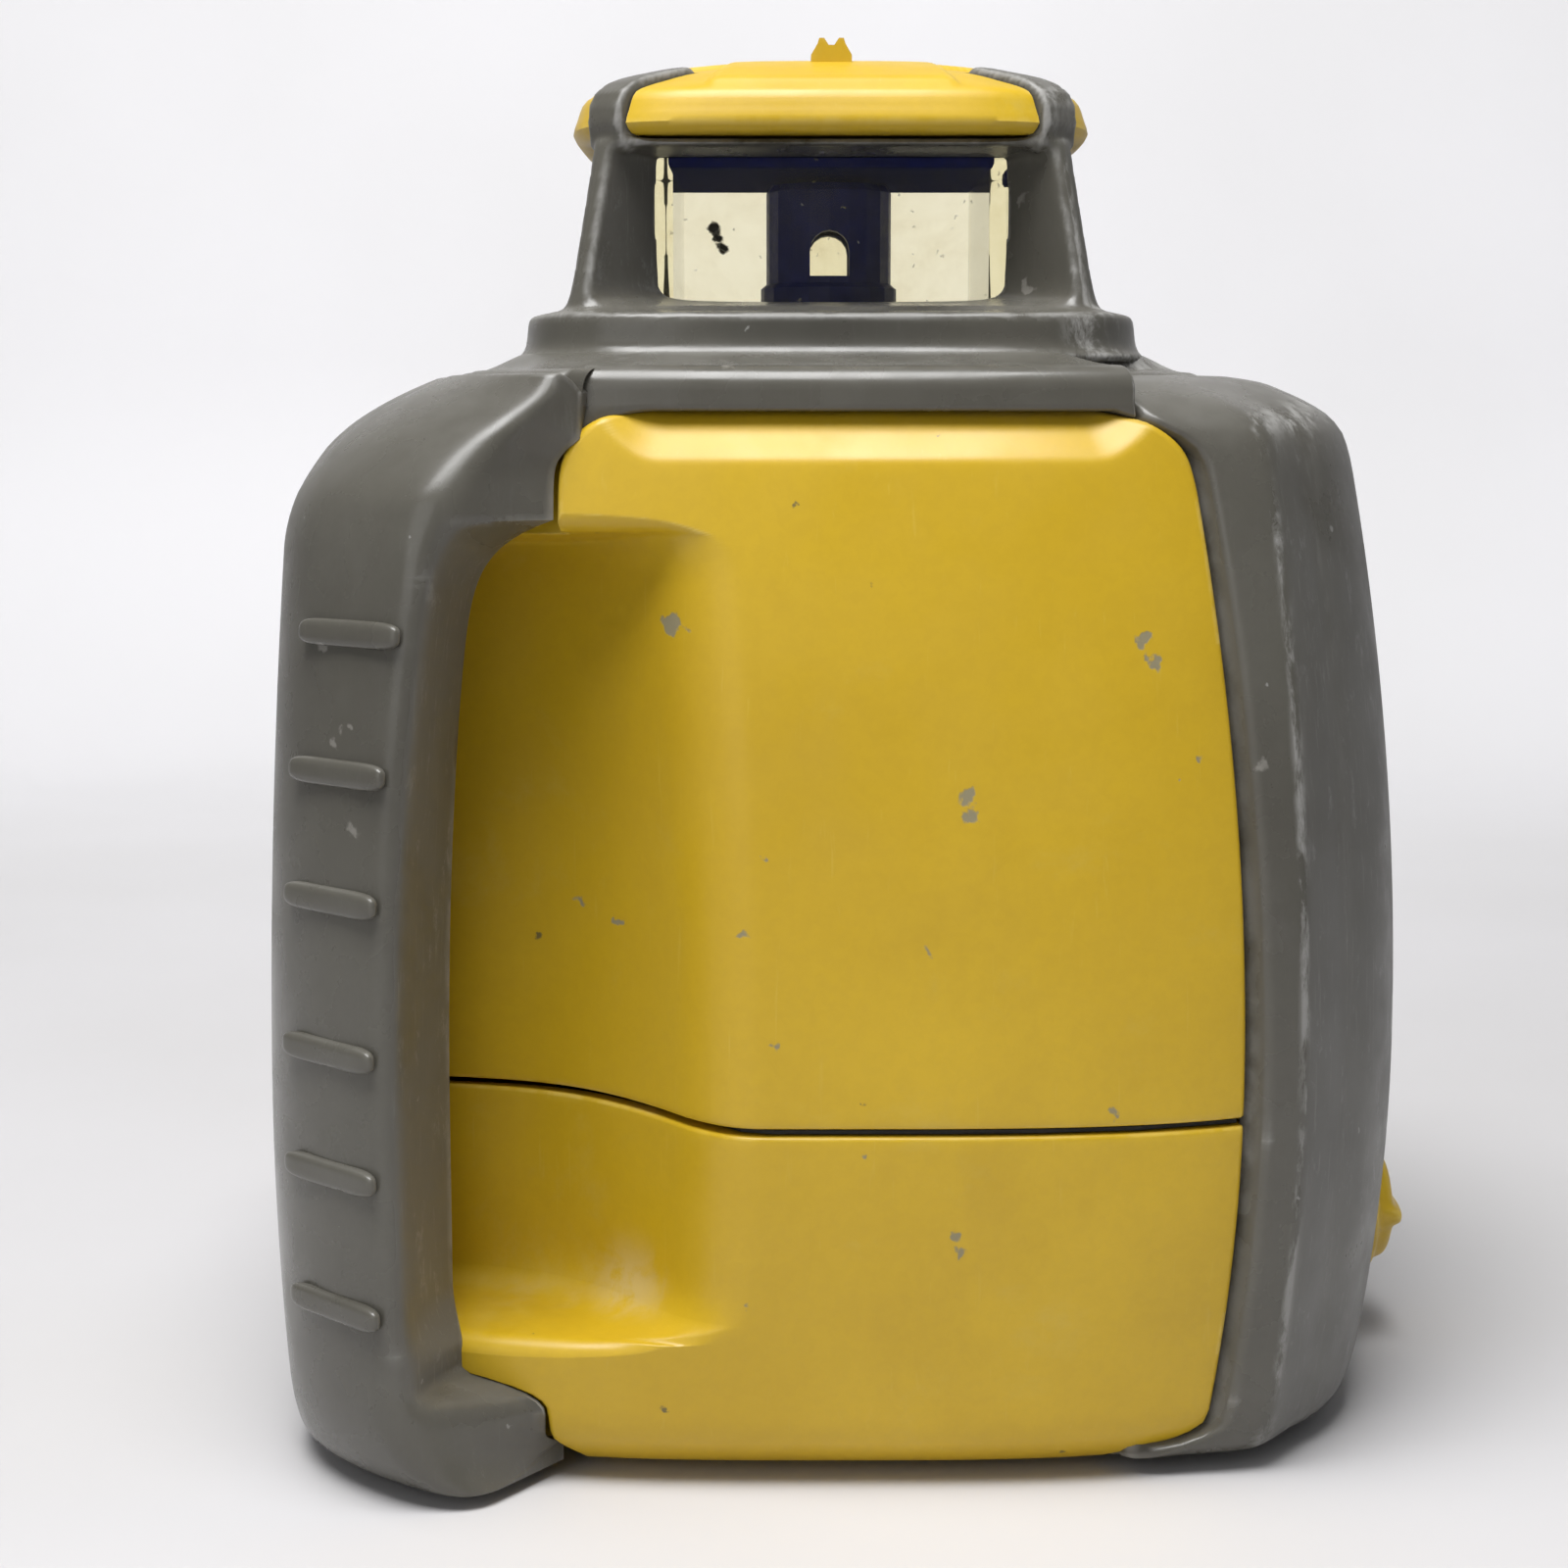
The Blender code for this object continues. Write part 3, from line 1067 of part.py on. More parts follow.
def make_gimbal(aluminium, steel, black, red, green):
    disc_low = GIMBAL_Z - GIMBAL_DISC_THICK / 2
    disc_high = GIMBAL_Z + GIMBAL_DISC_THICK / 2
    bore = BEARING_RADIUS + CLEAR
    hub = [(bore, HUB_BOTTOM), (HUB_RADIUS, HUB_BOTTOM), (HUB_RADIUS, disc_low),
           (GIMBAL_DISC_RADIUS, disc_low), (GIMBAL_DISC_RADIUS, disc_high), (HUB_RADIUS, disc_high),
           (HUB_RADIUS, HUB_TOP), (bore, HUB_TOP)]
    pivot = (0, 0, GIMBAL_Z)
    frame = place("gimbal_frame", turned(hub, sides=24, ring=True), aluminium, pivot)
    hole = MOTOR_RADIUS + CLEAR
    tool = turned([(hole, MOTOR_BOTTOM), (hole, HUB_TOP)], (MOTOR_OFFSET, 0), SMALL_SIDES)
    shape(frame, tool, "tool_motor_hole")
    inside = GIMBAL_DISC_RADIUS - GIMBAL_PIN_RADIUS
    reach = GIMBAL_RING_INNER + GIMBAL_PIN_RADIUS
    shape(frame, merge(pin_pair(turned_y, inside, reach)), "tool_frame_pins", "UNION")

    low = GIMBAL_Z - GIMBAL_RING_THICK / 2
    high = GIMBAL_Z + GIMBAL_RING_THICK / 2
    ring_profile = [(GIMBAL_RING_INNER, low), (GIMBAL_RING_OUTER, low),
                    (GIMBAL_RING_OUTER, high), (GIMBAL_RING_INNER, high)]
    ring = place("gimbal_ring", turned(ring_profile, sides=24, ring=True), aluminium, pivot)
    socket = GIMBAL_PIN_RADIUS + CLEAR
    across = 2 * GIMBAL_RING_OUTER
    hole = turned_y([(socket, -across), (socket, across)], 0, GIMBAL_Z, SMALL_SIDES)
    shape(ring, hole, "tool_ring_sockets")
    block_in = GIMBAL_RING_OUTER + 2 * CLEAR
    inside = GIMBAL_RING_OUTER - GIMBAL_PIN_RADIUS
    reach = block_in + PIVOT_BLOCK_THICK * 0.8
    shape(ring, merge(pin_pair(turned_x, inside, reach)), "tool_ring_pins", "UNION")
    floor = CHASSIS_Z + CHASSIS_THICK + CLEAR
    for name, side in (("pivot_block_left", -1), ("pivot_block_right", 1)):
        xs = sorted((side * block_in, side * (block_in + PIVOT_BLOCK_THICK)))
        top = GIMBAL_Z + PIVOT_BLOCK_HALF
        body = block((xs[0], -PIVOT_BLOCK_HALF, floor), (xs[1], PIVOT_BLOCK_HALF, top))
        bearing = place(name, body, black)
        hole = turned_x([(socket, 0), (socket, side * across)], 0, GIMBAL_Z, SMALL_SIDES)
        shape(bearing, hole, "tool_" + name)

    nose = LASER_RADIUS * 0.7
    shade = SPINDLE_BOTTOM - 2 * CLEAR
    flange = BEARING_RADIUS + 4 * CLEAR
    neck = shade - 4 * CLEAR
    laser_profile = [(nose, shade - LASER_LENGTH), (LASER_RADIUS, shade - LASER_LENGTH * 0.85),
                     (LASER_RADIUS, neck), (flange, neck), (flange, shade)]
    place("laser_module", turned(laser_profile), red)
    make_leveller("x", (0, PLUNGER_Y_ARM), floor, low - SLIDE_FIT, steel)
    make_leveller("y", (-PLUNGER_X_ARM, 0), floor, disc_low - SLIDE_FIT, steel)
    make_chassis(aluminium, green)


def pin_pair(turn, inside, reach):
    """Two pins of the gimbal on one axis, one on each side."""
    pins = []
    for side in (-1, 1):
        profile = [(GIMBAL_PIN_RADIUS, side * inside), (GIMBAL_PIN_RADIUS, side * reach)]
        pins.append(turn(profile, 0, GIMBAL_Z, SMALL_SIDES))
    return pins


def make_leveller(axis, at, floor, tip, steel):
    """Levelling actuator: a can on the chassis, and the plunger that stands in it and lifts the gimbal."""
    well = PLUNGER_RADIUS + CLEAR
    top = floor + ACTUATOR_HEIGHT
    can = [(well, floor), (ACTUATOR_RADIUS, floor), (ACTUATOR_RADIUS, top), (well, top)]
    place("level_actuator_" + axis, turned(can, at, SMALL_SIDES, ring=True), steel)
    rod = turned([(PLUNGER_RADIUS, floor + PLUNGER_TRAVEL + CLEAR), (PLUNGER_RADIUS, tip)], at, SMALL_SIDES)
    place("level_plunger_" + axis, rod, steel, (*at, tip))


def make_chassis(aluminium, green):
    rows = []
    angles = housing_angles((UPPER_RIM + HOUSING_TOP) / 2)
    for z in (CHASSIS_Z, CHASSIS_Z + CHASSIS_THICK):
        loop = []
        for angle in angles:
            radius = inner_radius(angle, z, UPPER_RIM, HOUSING_TOP) - SLIDE_FIT
            loop.append((radius * cos(angle), radius * sin(angle), z))
        rows.append(loop)
    for z in (CHASSIS_Z + CHASSIS_THICK, CHASSIS_Z):
        rows.append([(CHASSIS_HOLE * cos(a), CHASSIS_HOLE * sin(a), z) for a in angles])
    chassis = place("chassis_plate", loft(rows, ring=True), aluminium)
    board_top = CHASSIS_Z - STANDOFF_LENGTH
    posts = []
    for u in (-1, 1):
        for v in (-1, 1):
            at = (u * (BOARD_HALF_X - 2 * STANDOFF_RADIUS), v * (BOARD_HALF_Y - 2 * STANDOFF_RADIUS))
            ends = (board_top + CLEAR, CHASSIS_Z + CHASSIS_THICK / 2)
            posts.append(turned([(STANDOFF_RADIUS, z) for z in ends], at, POST_SIDES))
    shape(chassis, merge(posts), "tool_standoffs", "UNION")
    board_low = board_top - BOARD_THICK
    board = block((-BOARD_HALF_X, -BOARD_HALF_Y, board_low), (BOARD_HALF_X, BOARD_HALF_Y, board_top))
    board = place("main_board", board, green)
    hole = turned([(CHASSIS_HOLE, board_top - CHASSIS_HOLE), (CHASSIS_HOLE, CHASSIS_Z)])
    shape(board, hole, "tool_board_hole")


# Battery drawer

def make_drawer(yellow, grey, steel, black, brass, jacket):
    gap_angle = DOOR_GAP / BODY_HALF_X
    angles = spread(-DOOR_HALF_ANGLE + gap_angle, DOOR_HALF_ANGLE - gap_angle, 6)
    heights = spread(DOOR_LOW_Z + DOOR_GAP, DOOR_HIGH_Z - DOOR_GAP, 5)
    outer = [[body_point(a, z, -COVER_PROUD) for a in angles] for z in heights]
    inner = [[body_point(a, z, DOOR_THICK - COVER_PROUD) for a in angles] for z in heights]
    door = place("battery_door", patch(outer, inner), grey)
    bore = SHAFT_RADIUS + CLEAR
    hole = turned_x([(bore, CAM_X), (bore, BODY_HALF_X + KNOB_HEIGHT)], 0, KNOB_Z, SMALL_SIDES)
    shape(door, hole, "tool_shaft_hole")

    tray_low = INSERT_TOP + SLIDE_FIT
    tray_high = tray_low + TRAY_SIDE_HEIGHT
    door_back = [body_point(DOOR_HALF_ANGLE, z, DOOR_THICK - COVER_PROUD)[0] for z in (tray_low, tray_high)]
    front = min(door_back) - CLEAR
    cells_front = CAM_X - CAM_THICK
    contact_x = cells_front - CONTACT_THICK - CLEAR
    back_inner = contact_x - 2 * CELL_LENGTH - CONTACT_THICK - 4 * CLEAR
    back = back_inner - TRAY_WALL
    floor = tray_low + TRAY_WALL
    inside_y = TRAY_HALF_Y - TRAY_WALL
    tray = block((back, -TRAY_HALF_Y, tray_low), (front, TRAY_HALF_Y, tray_high))
    tray = place("battery_tray", tray, black)
    room = block((back_inner, -inside_y, floor), (front + CAM_REACH, inside_y, tray_high + TRAY_WALL))
    shape(tray, room, "tool_tray_room")
    notch = block((cells_front, -inside_y, tray_low - TRAY_WALL),
                  (front + CAM_REACH, inside_y, floor + TRAY_WALL))
    shape(tray, notch, "tool_cam_notch")

    axis_z = floor + CLEAR + CELL_RADIUS
    cap = CELL_RADIUS * 0.32
    stub = CELL_LENGTH * 0.03
    number = 0
    for row in (-1, 1):
        for column in (0, 1):
            number += 1
            x0 = back_inner + CONTACT_THICK + 2 * CLEAR + column * (CELL_LENGTH + CLEAR)
            x1 = x0 + CELL_LENGTH
            profile = [(CELL_RADIUS, x0), (CELL_RADIUS, x1 - stub), (cap, x1 - stub), (cap, x1)]
            y = row * (CELL_RADIUS + CLEAR)
            place("cell_%d" % number, turned_x(profile, y, axis_z, SMALL_SIDES), jacket)
    half = inside_y - CLEAR
    high = tray_high - TRAY_WALL
    for name, x in (("rear_contact", back_inner + CLEAR), ("front_contact", contact_x)):
        place(name, block((x, -half, floor + CLEAR), (x + CONTACT_THICK, half, high)), brass)

    knob_back = max(body_radius(0, KNOB_Z + KNOB_RADIUS), body_radius(0, KNOB_Z)) + COVER_PROUD + CLEAR
    knob_front = knob_back + KNOB_HEIGHT
    shares = ((0.97, 0), (1, 0.4), (0.88, 0.78), (0.6, 0.96), (0.2, 1))
    dome = [(KNOB_RADIUS * half, knob_back + KNOB_HEIGHT * rise) for half, rise in shares]
    knob = place("battery_knob", turned_x(dome, 0, KNOB_Z), yellow, (knob_back, 0, KNOB_Z))
    wing = block((knob_back + 0.5 * KNOB_HEIGHT, -0.86 * KNOB_RADIUS, KNOB_Z - KNOB_WING_HALF),
                 (knob_front + KNOB_WING_RISE, 0.86 * KNOB_RADIUS, KNOB_Z + KNOB_WING_HALF))
    shape(knob, wing, "tool_knob_wing", "UNION")
    shaft = turned_x([(SHAFT_RADIUS, CAM_X), (SHAFT_RADIUS, knob_back - CLEAR)], 0, KNOB_Z, SMALL_SIDES)
    cam = place("latch_cam", shaft, steel, (CAM_X, 0, KNOB_Z))
    tongue = block((CAM_X - CLEAR, -CAM_REACH, KNOB_Z - CAM_HALF), (CAM_X + CAM_THICK, 0, KNOB_Z + CAM_HALF))
    shape(cam, tongue, "tool_cam_tongue", "UNION")


# Base

def make_base(black, rubber, brass):
    rows = []
    hole = INSERT_RADIUS + CLEAR
    angles = housing_angles((HOUSING_BOTTOM + LOWER_RIM) / 2)
    for z in (BASE_BOTTOM, BASE_TOP):
        loop = []
        for angle in angles:
            radius = inner_radius(angle, max(z, HOUSING_BOTTOM), HOUSING_BOTTOM, LOWER_RIM) - SLIDE_FIT
            loop.append((radius * cos(angle), radius * sin(angle), z))
        rows.append(loop)
    for z in (BASE_TOP, BASE_BOTTOM):
        rows.append([(hole * cos(a), hole * sin(a), z) for a in angles])
    place("base_plate", loft(rows, ring=True), black)

    flange = INSERT_RADIUS * 1.3
    step = BASE_BOTTOM - CLEAR
    insert = [(INSERT_BORE, INSERT_FACE_Z), (flange, INSERT_FACE_Z), (flange, step), (INSERT_RADIUS, step),
              (INSERT_RADIUS, INSERT_TOP), (INSERT_BORE, INSERT_TOP)]
    place("tripod_insert", turned(insert, ring=True), brass)

    spots = (("foot_near_left", *SCOOP_FOOT_PLACE), ("foot_near_right", FOOT_X, -FOOT_Y),
             ("foot_far_left", -FOOT_X, FOOT_Y), ("foot_far_right", FOOT_X, FOOT_Y))
    for name, x, y in spots:
        profile = [(FOOT_RADIUS * 0.9, 0), (FOOT_RADIUS, FOOT_HEIGHT * 0.25), (FOOT_RADIUS, FOOT_HEIGHT)]
        place(name, turned(profile, (x, y), SMALL_SIDES), rubber)


# Controls

def make_controls(black, rubber, lens):
    angles = spread(pi / 2 - PANEL_HALF_ANGLE, pi / 2 + PANEL_HALF_ANGLE, 9)
    heights = spread(PANEL_LOW_Z, PANEL_HIGH_Z, 5)
    outer = [[body_point(a, z, -PANEL_THICK - CLEAR) for a in angles] for z in heights]
    inner = [[body_point(a, z, -CLEAR) for a in angles] for z in heights]
    panel = place("control_panel", patch(outer, inner), black)
    tools = []
    pieces = [(name, x, z, BUTTON_RADIUS, rubber) for name, x, z in KEY_PLACES]
    pieces.append(("status_lamp", 0, LAMP_Z, LAMP_RADIUS, lens))
    for name, x, z, radius, mat in pieces:
        face = face_y(x, z) + CLEAR
        root = face + PANEL_THICK + BUTTON_RISE - BUTTON_DEPTH
        crown = root + BUTTON_DEPTH
        profile = [(radius, root), (radius, crown - BUTTON_RISE * 0.4), (radius * 0.8, crown)]
        place(name, turned_y(profile, x, z, SMALL_SIDES), mat, (x, crown, z))
        hole = radius + CLEAR
        tools.append(turned_y([(hole, face - PANEL_THICK), (hole, crown + PANEL_THICK)], x, z, SMALL_SIDES))
    shape(panel, merge(tools), "tool_key_holes")


def main():
    global ROOT
    clear_scene()
    ROOT = bpy.data.objects.new("rotor_axis_foot", None)
    bpy.context.collection.objects.link(ROOT)
    ROOT.location = (AXIS_X, AXIS_Y, 0)
    yellow = material("yellow_plastic", (0.58, 0.37, 0.03), 0.5)
    grey = material("olive_grey_plastic", (0.085, 0.08, 0.066), 0.5)
    navy = material("navy_plastic", (0.012, 0.018, 0.09), 0.35)
    glass = material("window_glass", (0.92, 0.95, 0.94), 0.05, alpha=0.3)
    rubber = material("black_rubber", (0.02, 0.02, 0.02), 0.8)
    black = material("black_plastic", (0.03, 0.03, 0.03), 0.6)
    white = material("white_acetal", (0.75, 0.75, 0.72), 0.4)
    steel = material("bright_steel", (0.55, 0.55, 0.56), 0.3, metallic=1)
    aluminium = material("cast_aluminium", (0.6, 0.6, 0.6), 0.5, metallic=1)
    brass = material("turned_brass", (0.7, 0.5, 0.2), 0.35, metallic=1)
    red = material("anodised_red", (0.4, 0.03, 0.02), 0.4, metallic=0.6)
    green = material("board_green", (0.02, 0.16, 0.06), 0.5)
    jacket = material("cell_jacket", (0.1, 0.1, 0.11), 0.35)
    lens = material("lamp_lens", (0.1, 0.5, 0.12), 0.2)
    make_housings(yellow, rubber)
    make_right_cover(grey)
    handle_rim = make_handle(grey)
    make_shoulder(grey, handle_rim)
    make_head_guard(grey)
    make_cap(yellow)
    make_lantern(glass, rubber, navy)
    make_rotor(navy, glass, steel, white, black)
    make_gimbal(aluminium, steel, black, red, green)
    make_drawer(yellow, grey, steel, black, brass, jacket)
    make_base(black, rubber, brass)
    make_controls(black, rubber, lens)


main()
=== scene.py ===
"""Rotary laser level: its finished look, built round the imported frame. Lengths here are in millimetres."""

import json
from math import atan2, cos, hypot, pi, radians, sin, sqrt

import bmesh
import bpy
import numpy as np
from mathutils import Matrix, Vector


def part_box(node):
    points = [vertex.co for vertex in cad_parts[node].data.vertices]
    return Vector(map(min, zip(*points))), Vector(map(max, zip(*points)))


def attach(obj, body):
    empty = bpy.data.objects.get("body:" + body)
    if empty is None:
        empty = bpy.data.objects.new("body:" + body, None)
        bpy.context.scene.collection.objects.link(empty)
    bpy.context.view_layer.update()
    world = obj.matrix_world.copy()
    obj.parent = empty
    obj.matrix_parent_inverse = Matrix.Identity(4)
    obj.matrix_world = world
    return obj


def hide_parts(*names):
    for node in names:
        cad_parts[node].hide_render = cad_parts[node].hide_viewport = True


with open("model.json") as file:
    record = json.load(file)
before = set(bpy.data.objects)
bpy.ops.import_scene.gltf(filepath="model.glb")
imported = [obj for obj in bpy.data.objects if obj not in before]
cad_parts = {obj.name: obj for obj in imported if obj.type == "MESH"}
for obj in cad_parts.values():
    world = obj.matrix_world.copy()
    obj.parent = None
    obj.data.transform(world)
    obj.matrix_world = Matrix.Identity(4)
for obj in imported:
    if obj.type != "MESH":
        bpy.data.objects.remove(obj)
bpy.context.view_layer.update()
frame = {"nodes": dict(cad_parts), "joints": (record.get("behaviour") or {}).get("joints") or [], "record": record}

MM = 0.001
JOINTS = {joint["name"]: joint for joint in frame["joints"]}
ROTOR_AXIS = np.array([JOINTS["rotor_spin"]["pos_m"][0], JOINTS["rotor_spin"]["pos_m"][1], 0.0])

# Body rule: a rounded square in plan, barrel shaped in height
BODY_HALF_X = 96.5
BODY_HALF_Y = 83.7
BODY_POWER = 3.3
BELLY_Z = 65
BELLY_REACH_UP = 315
BELLY_REACH_DOWN = 253

# Housing
HOUSING_BOTTOM = 2.8
HOUSING_TOP = 170
HOUSING_WALL = 3
LOWER_RIM = 58.6
UPPER_RIM = 59.8
PANEL_CREASE_Z = 162.4
PANEL_BEVEL_SLOPE = 0.72
SEAT_BEVEL_RISE = 8.5
SEAT_BEVEL_IN = 16
BOTTOM_ROUND_RISE = 8
BOTTOM_ROUND_IN = 5
PANEL_LIP = 1.3
CORNER_LIP = 3.4
PARTING_LIP = 0.7
RIGHT_SEAT = 3.4
LEFT_SEAT = 7.1
PILL_LEFT = -27
PILL_RIGHT = 40
PILL_ROUND = 9
PILL_RISE = 6.5
BLISTER_X = -37
BLISTER_Z = 162.6
BLISTER_RISE = 0.55
BLISTER_RADIUS = 2.6

# Finger scoop
SCOOP_SIDE_X = 70
SCOOP_FLOOR_Y = 46
SCOOP_FOOT_X = 37
SCOOP_LIP_X = 15.5
SCOOP_FILLET = 7
SCOOP_CORNER = 24
SCOOP_RIDGE = 9
SCOOP_ROOF_Z = 153.2
SCOOP_ROOF_LIP = 4
SCOOP_BEND_RISE = 12
SCOOP_TURN_RISE = 9
SCOOP_BEND_IN = 10
SCOOP_ROOF_SLOPE = 0.12
SCOOP_LEDGE_Z = 20.8
SCOOP_LEDGE_ROUND = 3.6
SCOOP_LEDGE_SLOPE = 0.02
SCOOP_FLOOR_ROUND = 4
SCOOP_FLOOR_FILLET = 2
SCOOP_ROOF_FILLET = 2
SCOOP_START = -pi / 2 - 0.12
SCOOP_BACK = -3 * pi / 4
HAND_GAP_END_Y = 8
HAND_GAP_TOP = 145
HAND_GAP_SILL = 25.5
HAND_END = radians(-175) + 0.17

# Seams between the panels and the side covers
SEAM_SHARE = 0.672
SEAM_LEAN = 0.042
SEAM_GAP = 0.9
SEAM_SWEEP_TOP = 10
SEAM_SWEEP_FOOT = 12
SEAM_TURN_TOP = 10
SEAM_TURN_FOOT = 7
TOE_EDGE_X = 43.3
TOE_FLARE = 2.5
TOE_FLARE_RISE = 5
LEDGE_FLARE = 20
LEDGE_FLARE_Z = 11
LEDGE_FLARE_RISE = 8
ROOT_EDGE_X = 43
ROOT_SWEEP = 13
ROOT_POWER = 3.5
ROOT_TUCK = 1.5
ROOT_TIP_X = 39
TONGUE_LAP = 1

# Side covers
COVER_WALL = 3.5
COVER_PROUD = 1.2
COVER_BOTTOM = 2.4
COVER_TOP = 175.6
COVER_FLANGE = 18
COVER_LIP = 1.1
COVER_EDGE_X = 48.6
RIGHT_ROUND_START = 160
LEFT_ROUND_START = 156
RIGHT_ROUND = ((0.02, 0.33), (0.11, 0.55), (0.28, 0.71), (0.47, 0.83), (0.67, 0.93), (1, 1))
LEFT_ROUND = ((0.08, 0.35), (0.22, 0.55), (0.44, 0.72), (0.69, 0.86), (1, 1))
CREASE_ANGLE = radians(46)
CREASE_WIDTH = 11
CREASE_PROUD = 2.6
DOOR_HALF_ANGLE = 0.385
DOOR_LOW_Z = 13
DOOR_HIGH_Z = 56.4
DOOR_GAP = 0.5
DOOR_LIP = 0.9
MOUTH_NEAR_X = 60
MOUTH_FAR_X = 112

# Handle
HANDLE_SEAT = 6
HANDLE_PROUD = -0.3
HANDLE_NEAR_X = 66.7
HANDLE_NEAR_Y = 90.5
HANDLE_INNER_X = 61.3
HANDLE_INNER_Y = 68
LEDGE_END_X = 59.3
HANDLE_FACET = 0.44
FACET_START_Z = 156.5
HANDLE_BEND = 5
HANDLE_LEAN = 8
HANDLE_SWELL = (0.7, 2.6)
SWELL_WAIST_Z = 76
SWELL_REACH = 67
SWELL_FADE_Z = (148, 170)
TOE_DROP = 0.2
TOE_START_Z = 21.5
HANDLE_SEAM = 0.15
ARCH_START_Z = 60
HANDLE_ROOT_X = 39
HANDLE_TOE_X = 41
HANDLE_EDGE_ROUND = 4
BAR_KNEE = (1.08, 0.38)
HANDLE_EDGE_OUT = 1.2
HANDLE_LIP = 0.9
HAND_GAP_LIP = 2.2
BAR_END_ANGLE = radians(-151.5)
GAP_END_ANGLE = radians(-175)
RIB_COUNT = 6
RIB_LOW_Z = 31
RIB_HIGH_Z = 136.5
RIB_LENGTH = 22.4
RIB_WIDTH = 4.2
RIB_HEIGHT = 1.3
RIB_SHARES = (0.09, 0.24, 0.39)
RIB_BULGE = (("Length", 0.35, 0.5), ("Width", 0.62, 0.5), ("Height", 0.75, 1.0))

# Shoulder and head
NECK_RADIUS = 24
SHOULDER_UNDER = 170.4
SHOULDER_SKIRT = 169.7
SHOULDER_TOP = 179.2
SHOULDER_NEAR_Z = 176.8
SHOULDER_SIDE_Z = 176.2
SHOULDER_ROUND = 4
SHOULDER_SETBACK = 2
TONGUE_DIP = 10
TONGUE_DIP_X = 54.4
TONGUE_LIP = 0.6
COLLAR_HALF = 51.8
COLLAR_HEIGHT = 6.8
COLLAR_POWER = 4.5
COLLAR_SINK = 1.5
COLLAR_FLARE = 1.5
COLLAR_FLARE_FALL = 1.1
GUARD_CORNER = 6
GUARD_BASE_HALF = 44
GUARD_TOP_HALF = 39.6
GUARD_TOP = 214
GUARD_FLOOR = 187.2
RECESS_BASE_HALF = 41
RECESS_TOP_HALF = 39.6
RECESS_BASE_Z = 186.6
RECESS_TOP_Z = 213.2
WINDOW_HALF = 27.6
WINDOW_LOW = 188
WINDOW_HIGH = 211.1
STRAP_WIDTH = 8
STRAP_THICK = 3.4
STRAP_PROUD = 0.8
GUARD_STEP = 0.8
ROOF_STEP = 0.8
ROOF_HALF = 27.3
ROOF_LOW = 209.9
ROOF_HIGH = 213.9
GLASS_HALF = 29.5
GLASS_THICK = 3
CAP_HALF = 44.2
CAP_BASE = 214.3
CAP_CROWN = 228.2
CAP_POWER = 4
PAD_HALF = 21
PAD_TAPER = 0.2
PAD_RISE = 1.1
PAD_LOW = 7.4
PAD_HIGH = 8.2
SIGHT_HALF = 3.4
SIGHT_HEIGHT = 3
SIGHT_LENGTH = 6
SIGHT_OFFSET = 24
FIT = 0.3

# Drawer face, latch, control panel and feet
DOOR_THICK = 9
DISH_RADIUS = 14.2
DISH_DEPTH = 0.8
KNOB_BACK = 96.73
KNOB_Z = 24
KNOB_RADIUS = 12
KNOB_DISC = 3.4
DOME_RADIUS = 10.8
DOME_TOP = 7.4
WING_WIDTH = 3.4
WING_HALF = 10.4
WING_TOP = 8.7
KNOB_STEP = 0.4
CELL_NUB = 4.7
CELL_ROLL = 0.8
CELL_NECK = 2
CELL_RIM = 3.4
PANEL_HALF = 43.4
PANEL_Z = 120
PANEL_TALL = 56
PANEL_ROUND = 7
PANEL_THICK = 4.3
PANEL_BORDER = 3
PANEL_SINK = 0.7
PANEL_STEP = 0.7
WELL_MARGIN = 1.5
WELL_DEPTH = 1.3
KEY_CLEAR = 0.35
KEY_RADIUS = 5
LAMP_RADIUS = 3
LAMP_CLEAR = 0.2
LAMP_Z = 138
KEYS = (("power", 0, 104), ("speed", -20, 104), ("mode", 20, 104), ("left", -20, 124), ("right", 20, 124))
SCREW_RADIUS = 2.6
SCREW_SPREAD = 0.86

# Wear, and painted shade in the head's recess: nicks as x, z and radius, and how sharp an edge has to be to show
# it, per metre
YELLOW_NICKS = ((-25, 137, 1.5), (47.2, 134.5, 1.3), (48.6, 131.5, 1.0), (20.3, 111.5, 1.1), (20.6, 109, 0.9),
                (19.4, 42.5, 0.7), (19.2, 40, 0.7), (-41.5, 91, 0.7), (-34, 88.5, 0.6), (-14, 90, 0.5),
                (-8.5, 72.5, 0.6), (14.5, 88, 0.4), (4, 56.5, 0.6), (43, 61.5, 0.5), (-11, 102, 0.4),
                (-13.5, 31, 0.4), (56, 117, 0.5), (53, 113, 0.3))
GREY_NICKS = ((-79, 134, 0.8), (-73, 107, 0.9), (66, 116, 0.9), (-17, 176.6, 0.9), (31, 204.5, 0.8),
              (32, 190, 0.9), (-74, 122, 0.6), (-76, 120, 0.5))
LEDGE_CORNER = (-24, -58, 25)
# Middle of the painted shade in the head's recess, as x, y and z
HEAD_RECESS_SHADE = (0, -38, 200)
GLASS_FLECKS = ((-20.9, 203.4, 1.0), (-20.1, 201.7, 0.8), (-19.3, 200, 0.9))
GLASS_HAZE = 0.06
EDGE_SOFT = 45
EDGE_SHARP = 260

